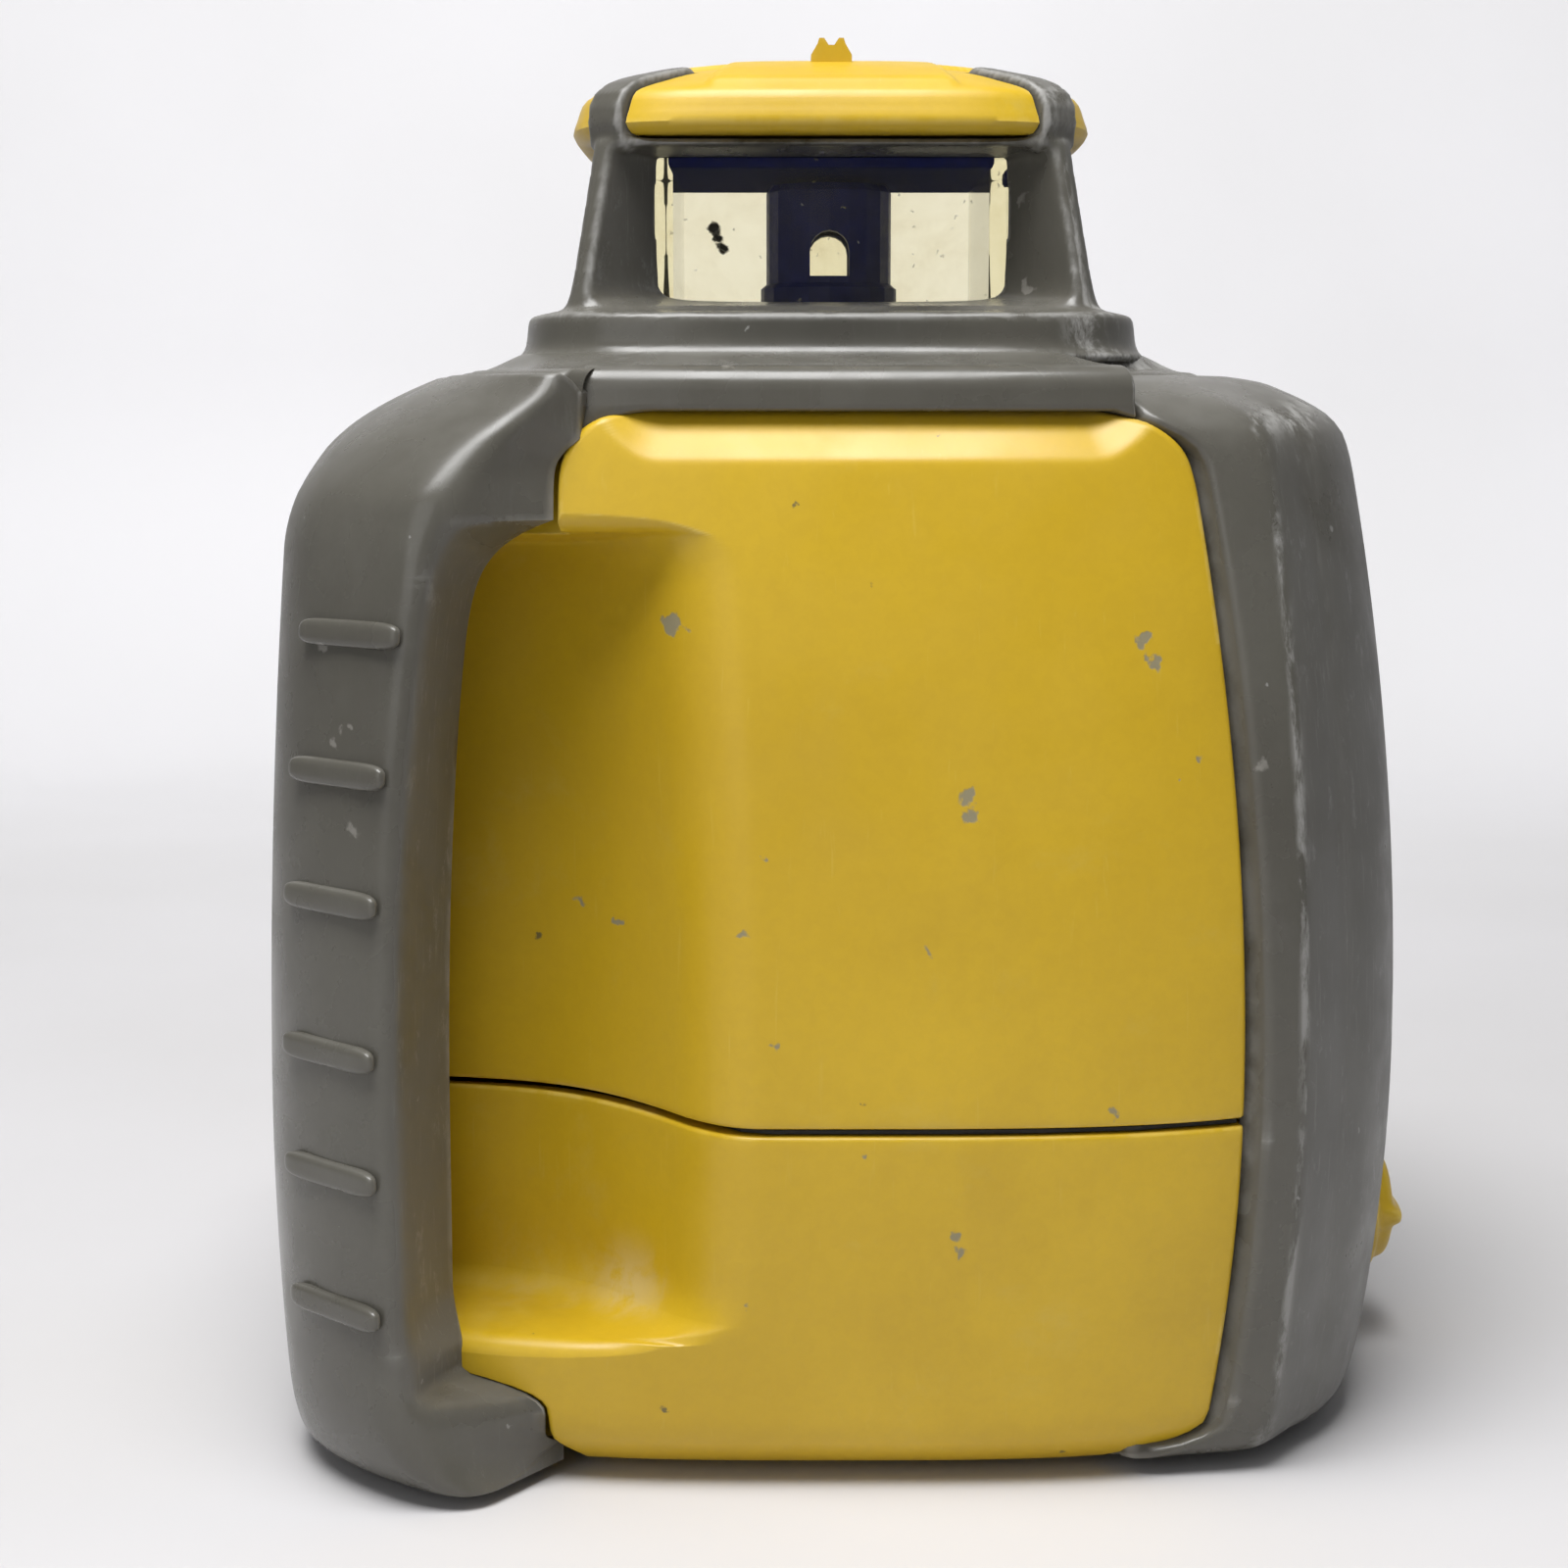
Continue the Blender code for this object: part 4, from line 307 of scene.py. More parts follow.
# Colours, in linear light
YELLOW_DEEP = (0.545, 0.35, 0.012)
YELLOW_PALE = (0.61, 0.4, 0.014)
YELLOW_GRAIN = (0.45, 0.29, 0.012)
YELLOW_GRIME = (0.42, 0.26, 0.014)
YELLOW_SMEAR = (0.58, 0.45, 0.12)
YELLOW_SCRATCH = (0.68, 0.52, 0.13)
YELLOW_WEAR = (0.74, 0.57, 0.16)
YELLOW_DUST = (0.6, 0.54, 0.4)
YELLOW_SPECK = (0.17, 0.13, 0.04)
NICK_GREY = (0.26, 0.225, 0.13)
GREY_DEEP = (0.083, 0.078, 0.064)
GREY_PALE = (0.104, 0.099, 0.082)
GREY_GRAIN = (0.06, 0.056, 0.047)
# Colour of the painted shade in the head's recess
GREY_RECESS_SHADE = (0.035, 0.033, 0.028)
GREY_FILM = (0.16, 0.158, 0.15)
GREY_RUB = (0.16, 0.155, 0.14)
GREY_SCRATCH = (0.26, 0.255, 0.24)
GREY_SCUFF = (0.33, 0.325, 0.31)
GREY_CHALK = (0.25, 0.247, 0.238)
GREY_DUST = (0.27, 0.262, 0.24)
GREY_SPECK = (0.24, 0.235, 0.22)
GREY_MARK = (0.2, 0.19, 0.168)
GLASS_CLEAR = (0.99, 0.965, 0.83)
GLASS_DIRT = (0.8, 0.7, 0.44)
GLASS_DARK = (0.05, 0.042, 0.03)
FLOOR_DEEP = (0.57, 0.56, 0.56)
FLOOR_PALE = (0.62, 0.61, 0.62)

# Plain finishes: slot, colour, roughness, metal and shine
PLAIN_GRAIN = 300.0
PLAIN_LOOKS = (("navy_plastic", (0.013, 0.02, 0.19), 0.45, 0.0, 0.25),
               ("black_rubber", (0.02, 0.02, 0.02), 0.75),
               ("black_plastic", (0.03, 0.03, 0.03), 0.5), ("white_acetal", (0.75, 0.75, 0.72), 0.4),
               ("bright_steel", (0.55, 0.55, 0.56), 0.3, 1.0), ("cast_aluminium", (0.6, 0.6, 0.6), 0.5, 1.0),
               ("turned_brass", (0.7, 0.5, 0.2), 0.35, 1.0), ("anodised_red", (0.4, 0.03, 0.02), 0.4, 0.6),
               ("board_green", (0.02, 0.16, 0.06), 0.5), ("cell_jacket", (0.1, 0.1, 0.11), 0.35),
               ("lamp_lens", (0.1, 0.5, 0.12), 0.2))

# Camera, seen from the rotor's axis
CAMERA_AT = (-7.9, -500, 169.6)
CAMERA_PITCH = radians(82.35)
CAMERA_LENS = 63.63

# Floor and backdrop in one sweep, in metres
FLOOR_NEAR = -1.5
FLOOR_FAR = 0.75
FLOOR_HALF = 2.5
BACKDROP_BEND = 0.2
BACKDROP_TOP = 2.2

# Light, in metres and watts
WORLD_LIGHT = 0.2
BACKDROP_GLOW = 0.36
LAMPS = (("key", (-0.15, -0.35, 1.2), (0, 0, 0.12), 0.7, 21),
         ("fill", (-0.6, -1.1, 0.5), (0, 0, 0.1), 0.8, 2))


# Shape rules

def unit(value):
    return np.clip(value, 0, 1)


def smooth_min(a, b, blend):
    return 0.5 * (a + b - np.sqrt((a - b) ** 2 + blend ** 2))


def smooth_max(a, b, blend):
    return 0.5 * (a + b + np.sqrt((a - b) ** 2 + blend ** 2))


def smooth_step(low, high, value):
    t = unit((value - low) / (high - low))
    return t * t * (3 - 2 * t)


def round_min(a, b, blend):
    """The lesser of two, rounded where they meet and exact elsewhere."""
    share = unit(1 - np.abs(a - b) / blend)
    return np.minimum(a, b) - blend / 4 * share ** 2


def soft_rise(value, blend):
    return 0.5 * (value + np.sqrt(value ** 2 + blend ** 2))


def lip_drop(distance, radius):
    """Depth of a quarter round edge at a distance in from it."""
    inside = np.clip(radius - distance, 0, radius)
    return radius - np.sqrt(radius ** 2 - inside ** 2)


def cosine(start, end, count):
    """Stations that crowd together at both ends."""
    return start + (end - start) * (0.5 - 0.5 * np.cos(np.linspace(0, pi, count)))


def joined(*runs):
    """Runs of stations end to end, with each shared end kept once."""
    return np.concatenate([runs[0]] + [run[1:] for run in runs[1:]])


def running(steps):
    """Length run at each point of a line, from the steps between its points."""
    return np.concatenate([[0], np.cumsum(steps)])


def polar(radius, angle, z):
    return np.stack([radius * np.cos(angle), radius * np.sin(angle), z + 0 * radius], axis=-1)


def monotone(x, y, at):
    """Smooth curve through given points that never overshoots them."""
    x = np.asarray(x, float)
    y = np.asarray(y, float)
    step = np.diff(x)
    slope = np.diff(y) / step
    tangent = np.zeros(len(x))
    same = slope[1:] * slope[:-1] > 0
    tangent[1:-1][same] = 2 * slope[1:][same] * slope[:-1][same] / (slope[1:] + slope[:-1])[same]
    tangent[0] = slope[0]
    tangent[-1] = slope[-1]
    i = np.clip(np.searchsorted(x, at) - 1, 0, len(step) - 1)
    t = (at - x[i]) / step[i]
    a = (1 + 2 * t) * (1 - t) ** 2
    b = t * (1 - t) ** 2
    return (a * y[i] + b * step[i] * tangent[i] + (1 - a) * y[i + 1]
            + t ** 2 * (t - 1) * step[i] * tangent[i + 1])


def squircle(angle, half_x, half_y, power):
    across = (np.abs(np.cos(angle)) / half_x) ** power + (np.abs(np.sin(angle)) / half_y) ** power
    return across ** (-1 / power)


def barrel(z):
    rise = np.asarray(z, float) - BELLY_Z
    return 1 - (rise / np.where(rise > 0, BELLY_REACH_UP, BELLY_REACH_DOWN)) ** 2


def body_radius(angle, z, inset=0.0):
    share = barrel(z)
    return squircle(angle, BODY_HALF_X * share - inset, BODY_HALF_Y * share - inset, BODY_POWER)


def face_y(x, z, inset=0.0):
    half_x = BODY_HALF_X * barrel(z) - inset
    half_y = BODY_HALF_Y * barrel(z) - inset
    return half_y * (1 - (np.abs(x) / half_x) ** BODY_POWER) ** (1 / BODY_POWER)


def body_points(angle, z, inset):
    return polar(body_radius(angle, z, inset), angle, z)


def foot_round(z):
    """How far the body draws in towards its bottom edge."""
    return BOTTOM_ROUND_IN * unit((HOUSING_BOTTOM + BOTTOM_ROUND_RISE - z) / BOTTOM_ROUND_RISE) ** 2


def seam_angle(z):
    """Angle of the seam between a panel and a side cover, which sweeps in at the panel's corners."""
    share = SEAM_SHARE - SEAM_LEAN * ((z - BELLY_Z) / (HOUSING_TOP - BELLY_Z)) ** 2
    x = share * BODY_HALF_X * barrel(z)
    x = x - SEAM_SWEEP_TOP * unit((z - HOUSING_TOP + SEAM_TURN_TOP) / SEAM_TURN_TOP) ** 3
    x = x - SEAM_SWEEP_FOOT * unit((HOUSING_BOTTOM + SEAM_TURN_FOOT - z) / SEAM_TURN_FOOT) ** 2
    return np.arctan2(face_y(x, z), x)


def left_edge_x(z):
    """Where the near panel ends on the left: along the handle's toe, behind its bar, and at its root."""
    z = np.asarray(z, float)
    toe = TOE_EDGE_X + TOE_FLARE * smooth_step(HOUSING_BOTTOM, HOUSING_BOTTOM + TOE_FLARE_RISE, z)
    toe = toe + LEDGE_FLARE * unit((z - LEDGE_FLARE_Z) / LEDGE_FLARE_RISE) ** 3
    climb = unit((z - HOUSING_TOP + ROOT_SWEEP) / ROOT_SWEEP)
    root = ROOT_EDGE_X - ROOT_SWEEP * (1 - np.sqrt(1 - climb ** ROOT_POWER))
    return toe + (root - toe) * smooth_step(SCOOP_ROOF_Z - 10, SCOOP_ROOF_Z - 1, z)


def left_edge(z):
    x = left_edge_x(z)
    return -pi / 2 - np.arctan2(x, face_y(x, z))


def ray_to_line(angle, p, q):
    dx = q[0] - p[0]
    dy = q[1] - p[1]
    return (p[0] * dy - p[1] * dx) / (np.cos(angle) * dy - np.sin(angle) * dx)


def scoop_radius(angle, shift=0.0):
    """Plan of the scoop at full depth: floor, side, slanted wall and the end of the hand gap."""
    side = SCOOP_SIDE_X / np.maximum(np.abs(np.cos(angle)), 1e-6)
    floor = SCOOP_FLOOR_Y / np.maximum(np.abs(np.sin(angle)), 1e-6)
    inner = smooth_min(side, floor, SCOOP_FILLET)
    slant = ray_to_line(angle, (-SCOOP_FOOT_X - shift, -SCOOP_FLOOR_Y), (-SCOOP_LIP_X - shift, -BODY_HALF_Y))
    end = ray_to_line(angle, (-SCOOP_SIDE_X, -HAND_GAP_END_Y - 1), (-BODY_HALF_X, -HAND_GAP_END_Y * 0.6))
    corner = smooth_max(inner, slant, SCOOP_CORNER)
    return np.where(angle > SCOOP_BACK, corner, np.maximum(corner, end))


def step_depth(rise, lip, slope):
    """How deep a rounded step reaches at a height past its edge: quarter round, then a near level run."""
    rise = np.maximum(rise, 0)
    rounded = lip - np.sqrt(np.maximum(lip ** 2 - np.minimum(rise, lip) ** 2, 0))
    return np.where(rise < lip, rounded, lip + (rise - lip) / slope)


def housing_surface(angle, z):
    """Radius of the yellow housing: full panels near and far, set back under the covers, scooped."""
    seam = seam_angle(z)
    left = left_edge(z)
    near = (angle >= left) & (angle <= -seam)
    far = (angle >= seam) & (angle <= pi - seam)
    panel = near | far
    seat = np.where(panel, 0, np.where(np.abs(angle) < seam, RIGHT_SEAT, LEFT_SEAT))
    reach = body_radius(angle, z)
    to_left = np.where(near, angle - left, angle - seam)
    to_right = np.where(near, -seam - angle, pi - seam - angle)
    edge = np.maximum(np.minimum(to_left, to_right), 0) * reach
    lip = PANEL_LIP + (CORNER_LIP - PANEL_LIP) * smooth_step(PANEL_CREASE_Z - 6, HOUSING_TOP, z)
    drop = np.where(panel, lip_drop(edge, lip) + lip_drop(HOUSING_TOP - z, PANEL_LIP), 0)
    across = reach * np.cos(angle)
    pill_end = np.maximum(np.maximum(across - PILL_RIGHT, PILL_LEFT - across), 0) / PILL_ROUND
    crease_z = PANEL_CREASE_Z + PILL_RISE * np.minimum(pill_end, 1) ** 2
    rise = PANEL_BEVEL_SLOPE * soft_rise(z - crease_z, 0.7)
    hidden = SEAT_BEVEL_IN * unit((z - HOUSING_TOP + SEAT_BEVEL_RISE) / SEAT_BEVEL_RISE) ** 2
    foot = foot_round(z)
    drop = drop + np.where(z < (LOWER_RIM + UPPER_RIM) / 2, lip_drop(LOWER_RIM - z, PARTING_LIP),
                           lip_drop(z - UPPER_RIM, PARTING_LIP))
    blister = np.hypot(reach * np.cos(angle) - BLISTER_X, z - BLISTER_Z)
    drop = drop - BLISTER_RISE * np.exp(-(blister / BLISTER_RADIUS) ** 4) * near
    outside = body_radius(angle, z, seat + np.where(panel, rise, hidden) + foot) - drop
    face = body_radius(angle, z, foot)
    roof_z = SCOOP_ROOF_Z + SCOOP_ROOF_LIP / 2
    bend = unit((z - roof_z + SCOOP_BEND_RISE) / SCOOP_BEND_RISE)
    bend = bend + unit((SCOOP_LEDGE_Z + SCOOP_LEDGE_ROUND + SCOOP_TURN_RISE - z) / SCOOP_TURN_RISE)
    shift = SCOOP_BEND_IN * (1 - np.sqrt(1 - np.minimum(bend, 1) ** 2))
    full = np.clip(face - round_min(face, scoop_radius(angle, shift), SCOOP_RIDGE), 0, None)
    full = np.where(angle < SCOOP_START + 0.1, full, 0)
    roof = smooth_min(full, step_depth(roof_z - z, SCOOP_ROOF_LIP, SCOOP_ROOF_SLOPE), SCOOP_ROOF_FILLET)
    curl = np.minimum(lip_drop(z - SCOOP_LEDGE_Z - SCOOP_LEDGE_ROUND, SCOOP_FLOOR_ROUND), 0.5 * full)
    ledge = smooth_min(full - curl, step_depth(z - SCOOP_LEDGE_Z, SCOOP_LEDGE_ROUND, SCOOP_LEDGE_SLOPE),
                       SCOOP_FLOOR_FILLET)
    depth = np.minimum(np.clip(np.minimum(roof, ledge), 0, None), full)
    rim = lip_drop(np.abs(z - (LOWER_RIM + UPPER_RIM) / 2) - (UPPER_RIM - LOWER_RIM) / 2, PARTING_LIP)
    return np.minimum(outside, face - depth - rim)


def housing_stations(z):
    """Angles round the housing at one height, crowded at the seams."""
    seam = float(seam_angle(z))
    left = float(left_edge(z))
    hidden = smooth_step(23, 27, z) * (1 - smooth_step(SCOOP_ROOF_Z - 8, SCOOP_ROOF_Z - 3, z))
    hair = 8e-4 + 0.02 * float(hidden)
    runs = [np.linspace(-pi, HAND_END, 16)[:-1], np.linspace(HAND_END, left - hair, 72),
            cosine(left, -seam, 150), np.linspace(-seam + hair, seam - hair, 24),
            cosine(seam, pi - seam, 80), np.linspace(pi - seam + hair, pi, 12)[:-1]]
    return np.concatenate(runs)


def rim_radius(angle, z):
    right = smooth_step(-0.3, 0.3, np.cos(angle))
    seat = LEFT_SEAT + (RIGHT_SEAT - LEFT_SEAT) * right
    if z == HOUSING_TOP:
        seat = seat + SEAT_BEVEL_IN
    if z == HOUSING_BOTTOM:
        seat = seat + BOTTOM_ROUND_IN
    radius = body_radius(angle, z, seat)
    scooped = np.minimum(radius, smooth_min(radius, scoop_radius(angle), SCOOP_FILLET / 2))
    return np.where(angle < SCOOP_START, scooped, radius) - HOUSING_WALL


# Mesh tools

def quads(rows, cols, wrap_rows=False, wrap_cols=False):
    index = np.arange(rows * cols).reshape(rows, cols)
    below = np.roll(index, -1, 0)
    faces = np.stack([index, np.roll(index, -1, 1), np.roll(below, -1, 1), below], -1)
    if not wrap_rows:
        faces = faces[:-1]
    if not wrap_cols:
        faces = faces[:, :-1]
    return faces.reshape(-1, 4).tolist()


def new_piece(name, points, faces, finish, sharp=55, tidy=True):
    """A finished piece at the origin, from points in millimetres on the rotor's frame."""
    mesh = bpy.data.meshes.new(name)
    mesh.from_pydata((np.asarray(points, float).reshape(-1, 3) * MM + ROTOR_AXIS).tolist(), [], faces)
    if tidy:
        bm = bmesh.new()
        bm.from_mesh(mesh)
        bmesh.ops.remove_doubles(bm, verts=bm.verts, dist=2e-6)
        bmesh.ops.recalc_face_normals(bm, faces=bm.faces)
        bm.to_mesh(mesh)
        bm.free()
    mesh.shade_smooth()
    mesh.set_sharp_from_angle(angle=radians(sharp))
    mesh.materials.append(finish)
    obj = bpy.data.objects.new(name, mesh)
    bpy.context.collection.objects.link(obj)
    return obj


def mark_edges(piece):
    """How sharply the piece bends outward at each corner, for the finishes to wear its edges by."""
    mesh = piece.data
    count = len(mesh.vertices)
    place = np.empty(count * 3)
    normal = np.empty(count * 3)
    ends = np.empty(len(mesh.edges) * 2, int)
    mesh.vertices.foreach_get("co", place)
    mesh.vertices.foreach_get("normal", normal)
    mesh.edges.foreach_get("vertices", ends)
    place = place.reshape(-1, 3)
    normal = normal.reshape(-1, 3)
    first, last = ends.reshape(-1, 2).T
    run = place[first] - place[last]
    square = np.maximum((run ** 2).sum(1), 1e-12)
    bend = np.zeros(count)
    share = np.zeros(count)
    for end, way in ((first, 1), (last, -1)):
        np.add.at(bend, end, way * (normal[end] * run).sum(1) / np.sqrt(square))
        np.add.at(share, end, np.sqrt(square))
    bend = bend / np.maximum(share, 1e-9)
    data = mesh.attributes.new("edge", "FLOAT", "POINT")
    data.data.foreach_set("value", smooth_step(EDGE_SOFT, EDGE_SHARP, bend))


def box_of(node):
    """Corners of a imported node, in millimetres from the rotor's axis."""
    return [(np.array(corner) - ROTOR_AXIS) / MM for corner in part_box(node)]


def settle(piece, body, *nodes):
    """The piece rides on a body and stands for the given nodes."""
    mark_edges(piece)
    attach(piece, body)
    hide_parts(*nodes)


def baked(obj):
    """The piece with its modifiers applied, as a plain mesh."""
    graph = bpy.context.evaluated_depsgraph_get()
    mesh = bpy.data.meshes.new_from_object(obj.evaluated_get(graph))
    obj.modifiers.clear()
    old = obj.data
    obj.data = mesh
    bpy.data.meshes.remove(old)
    return obj


def carve(obj, points, faces, operation="DIFFERENCE"):
    """Cut a closed tool out of a piece, or join it on."""
    tool = new_piece("tool", points, faces, obj.data.materials[0])
    mod = obj.modifiers.new("carve", "BOOLEAN")
    mod.operation = operation
    mod.solver = "EXACT"
    mod.object = tool
    baked(obj)
    bpy.data.objects.remove(tool)
    return obj


def prism(loops):
    """Points and faces of a closed skin through loops, capped at both ends."""
    count = len(loops[0])
    points = np.asarray(loops, float).reshape(-1, 3)
    faces = quads(len(loops), count, wrap_cols=True)
    faces.append(list(range(count)))
    faces.append(list(range(len(points) - count, len(points))))
    return points, faces


def block(low, high):
    corners = ((0, 0), (1, 0), (1, 1), (0, 1))
    loops = []
    for z in (low[2], high[2]):
        loops.append([(high[0] if u else low[0], high[1] if v else low[1], z) for u, v in corners])
    return prism(loops)


def merged(solids):
    points = []
    faces = []
    base = 0
    for solid_points, solid_faces in solids:
        points.append(np.asarray(solid_points).reshape(-1, 3))
        faces += [[i + base for i in face] for face in solid_faces]
        base += len(points[-1])
    return np.concatenate(points), faces


def turn_plan(points, angle):
    points = np.asarray(points, float)
    c = cos(angle)
    s = sin(angle)
    x = points[..., 0] * c - points[..., 1] * s
    y = points[..., 0] * s + points[..., 1] * c
    return np.stack([x, y, points[..., 2]], -1)


def revolved(profile, sides=96, centre=(0, 0), axis="Z"):
    """A turned solid. The profile of (radius, height) is a closed loop, or starts and ends on the axis."""
    turns = np.linspace(0, 2 * pi, sides, endpoint=False)
    loops = []
    for radius, height in profile:
        u = centre[0] + radius * np.cos(turns)
        v = centre[1] + radius * np.sin(turns)
        h = np.full(sides, float(height))
        loops.append(np.stack((u, v, h) if axis == "Z" else (h, u, v) if axis == "X" else (u, h, v), -1))
    return np.asarray(loops)


def rolled_shell(name, outer, inner, finish, lip, hole=None, hole_lip=0.0):
    """A wall between two grids of points, with rolled outer edges. A hole is a range of rows and columns."""
    rows, cols = outer.shape[:2]
    across = np.linalg.norm(np.diff(outer, axis=1), axis=2)
    along = np.linalg.norm(np.diff(outer, axis=0), axis=2)
    u = np.concatenate([np.zeros((rows, 1)), np.cumsum(across, 1)], 1)
    v = np.concatenate([np.zeros((1, cols)), np.cumsum(along, 0)], 0)
    edge = np.minimum(np.minimum(u, u[:, -1:] - u), np.minimum(v, v[-1:] - v))
    drop = lip_drop(edge, lip)
    if hole:
        r0, r1, c0, c1 = hole
        gap_u = np.maximum(np.maximum(u[:, c0:c0 + 1] - u, u - u[:, c1:c1 + 1]), 0)
        gap_v = np.maximum(np.maximum(v[r0:r0 + 1] - v, v - v[r1:r1 + 1]), 0)
        drop = np.maximum(drop, lip_drop(np.hypot(gap_u, gap_v), hole_lip or lip))
    inward = inner - outer
    thick = np.linalg.norm(inward, axis=2)
    drop = np.minimum(drop, 0.45 * thick) / np.maximum(thick, 1e-6)
    outer = outer + inward * drop[..., None]
    solid = np.ones((rows - 1, cols - 1), bool)
    if hole:
        solid[r0:r1, c0:c1] = False
    index = np.arange(rows * cols).reshape(rows, cols)
    back = index + rows * cols
    faces = []
    for i, j in zip(*np.nonzero(solid)):
        faces.append([index[i, j], index[i, j + 1], index[i + 1, j + 1], index[i + 1, j]])
        faces.append([back[i, j], back[i + 1, j], back[i + 1, j + 1], back[i, j + 1]])
        for ni, nj, p, q in ((i - 1, j, (i, j), (i, j + 1)), (i + 1, j, (i + 1, j + 1), (i + 1, j)),
                             (i, j - 1, (i + 1, j), (i, j)), (i, j + 1, (i, j + 1), (i + 1, j + 1))):
            inside = 0 <= ni < rows - 1 and 0 <= nj < cols - 1
            if not (inside and solid[ni, nj]):
                faces.append([index[q], index[p], back[p], back[q]])
    points = np.concatenate([outer.reshape(-1, 3), inner.reshape(-1, 3)])
    used = np.zeros(len(points), bool)
    used[np.unique(np.asarray(faces))] = True
    renumber = np.cumsum(used) - 1
    faces = [[int(renumber[i]) for i in face] for face in faces]
    return new_piece(name, points[used], faces, finish)


# Housing

def make_housing_half(name, levels, low, high, finish):
    levels = np.asarray(levels, float)
    angle = np.stack([housing_stations(z) for z in levels])
    z = np.repeat(levels[:, None], angle.shape[1], 1)
    radius = housing_surface(angle, z)
    outer = polar(radius, angle, z)
    middle = housing_stations((low + high) / 2)
    inner = []
    for height in np.linspace(high, low, 4):
        share = (height - low) / (high - low)
        radius = rim_radius(middle, low) * (1 - share) + rim_radius(middle, high) * share
        inner.append(polar(radius, middle, height))
    points = np.concatenate([outer, np.asarray(inner)])
    return new_piece(name, points, quads(len(points), angle.shape[1], True, True), finish)


def make_housings(finish):
    levels = joined(HOUSING_BOTTOM + np.array([0, 0.4, 1, 1.7, 2.5, 3.5, 4.5, 6, 8.2, 10.2]),
                    np.linspace(13, SCOOP_LEDGE_Z, 8),
                    np.linspace(SCOOP_LEDGE_Z, 25.6, 72), np.linspace(25.6, 28, 10), np.linspace(28, 57, 16),
                    LOWER_RIM - np.array([1.6, 0.7, 0.4, 0.2, 0.07, 0]))
    lower = make_housing_half("lower_shell", levels, HOUSING_BOTTOM, LOWER_RIM, finish)
    mouth_y = float(body_radius(DOOR_HALF_ANGLE, KNOB_Z)) * sin(DOOR_HALF_ANGLE) + DOOR_GAP
    carve(lower, *block((MOUTH_NEAR_X, -mouth_y, DOOR_LOW_Z - DOOR_GAP),
                        (MOUTH_FAR_X, mouth_y, DOOR_HIGH_Z + DOOR_GAP)))
    levels = joined(UPPER_RIM + np.array([0, 0.07, 0.2, 0.4, 0.7, 1.6]), np.linspace(62, 134, 34),
                    np.linspace(134, 156, 90), np.linspace(156, 160, 8),
                    np.linspace(160, 168.4, 20), HOUSING_TOP - np.array([1.6, 1.3, 0.9, 0.5, 0.2, 0.05, 0]))
    upper = make_housing_half("upper_shell", levels, UPPER_RIM, HOUSING_TOP, finish)
    settle(lower, "housing", "lower_housing")
    settle(upper, "housing", "upper_housing")


# Side covers

def cover_profile(top_start, top_round, breaks, counts):
    """Rows of (inset, z) up a side cover: rounded foot, straight side, rounded shoulder, top flange."""
    foot = BOTTOM_ROUND_IN + COVER_WALL / 4
    inset = [foot, foot * 0.35, foot * 0.08, 0, 0, 0, 0]
    z = [COVER_BOTTOM, COVER_BOTTOM + 0.12 * BOTTOM_ROUND_RISE, COVER_BOTTOM + 0.5 * BOTTOM_ROUND_RISE,
         DOOR_LOW_Z, 60, 110, top_start]
    for share, lift in top_round:
        inset.append(COVER_FLANGE * share)
        z.append(top_start + (COVER_TOP - top_start) * lift)
    length = running(np.hypot(np.diff(inset), np.diff(z)))
    stops = [0, *[np.interp(b, z, length) for b in breaks], length[-1]]
    runs = [cosine(a, b, n) for a, b, n in zip(stops, stops[1:], counts)]
    at = joined(*runs)
    return monotone(length, inset, at), monotone(length, z, at)


def thickened(inset, z, wall):
    """The same rows moved inward, square to the profile."""
    run = np.gradient(inset)
    rise = np.gradient(z)
    length = np.hypot(run, rise)
    moved_inset = inset + wall * rise / length
    moved_z = z - wall * run / length
    moved_z[0] = z[0]
    moved_inset[0] = inset[0] + wall[0]
    return moved_inset, moved_z


def make_right_cover(finish):
    counts = (16, 26, 74)
    inset, z = cover_profile(RIGHT_ROUND_START, RIGHT_ROUND, (DOOR_LOW_Z, DOOR_HIGH_Z), counts)
    inset_in, z_in = thickened(inset, z, np.full(len(z), float(COVER_WALL)))
    outer = []
    inner = []
    for k in range(len(z)):
        seam = float(seam_angle(min(z[k], HOUSING_TOP))) - SEAM_GAP / BODY_HALF_X
        edge_x = max(float(body_radius(seam, z[k])) * cos(seam), COVER_EDGE_X)
        seam = atan2(float(face_y(edge_x, z[k])), edge_x)
        angle = joined(cosine(-seam, -DOOR_HALF_ANGLE, 46), cosine(-DOOR_HALF_ANGLE, DOOR_HALF_ANGLE, 26),
                       cosine(DOOR_HALF_ANGLE, seam, 46))
        ridge = np.abs(np.abs(angle) - CREASE_ANGLE) * BODY_HALF_X
        fade = smooth_step(COVER_FLANGE * 0.8, 0, inset[k]) if inset[k] < COVER_FLANGE * 0.8 else 0
        crease = CREASE_PROUD * fade * np.clip(1 - np.sqrt(ridge ** 2 + 0.25) / CREASE_WIDTH, 0, 1) ** 1.15
        outer.append(body_points(angle, z[k], inset[k] - COVER_PROUD - crease))
        inner.append(body_points(angle, z_in[k], inset_in[k] - COVER_PROUD))
    hole = (counts[0] - 1, counts[0] + counts[1] - 2, 45, 70)
    cover = rolled_shell("side_cover", np.asarray(outer), np.asarray(inner), finish, COVER_LIP, hole)
    settle(cover, "housing", "right_cover")


# Handle

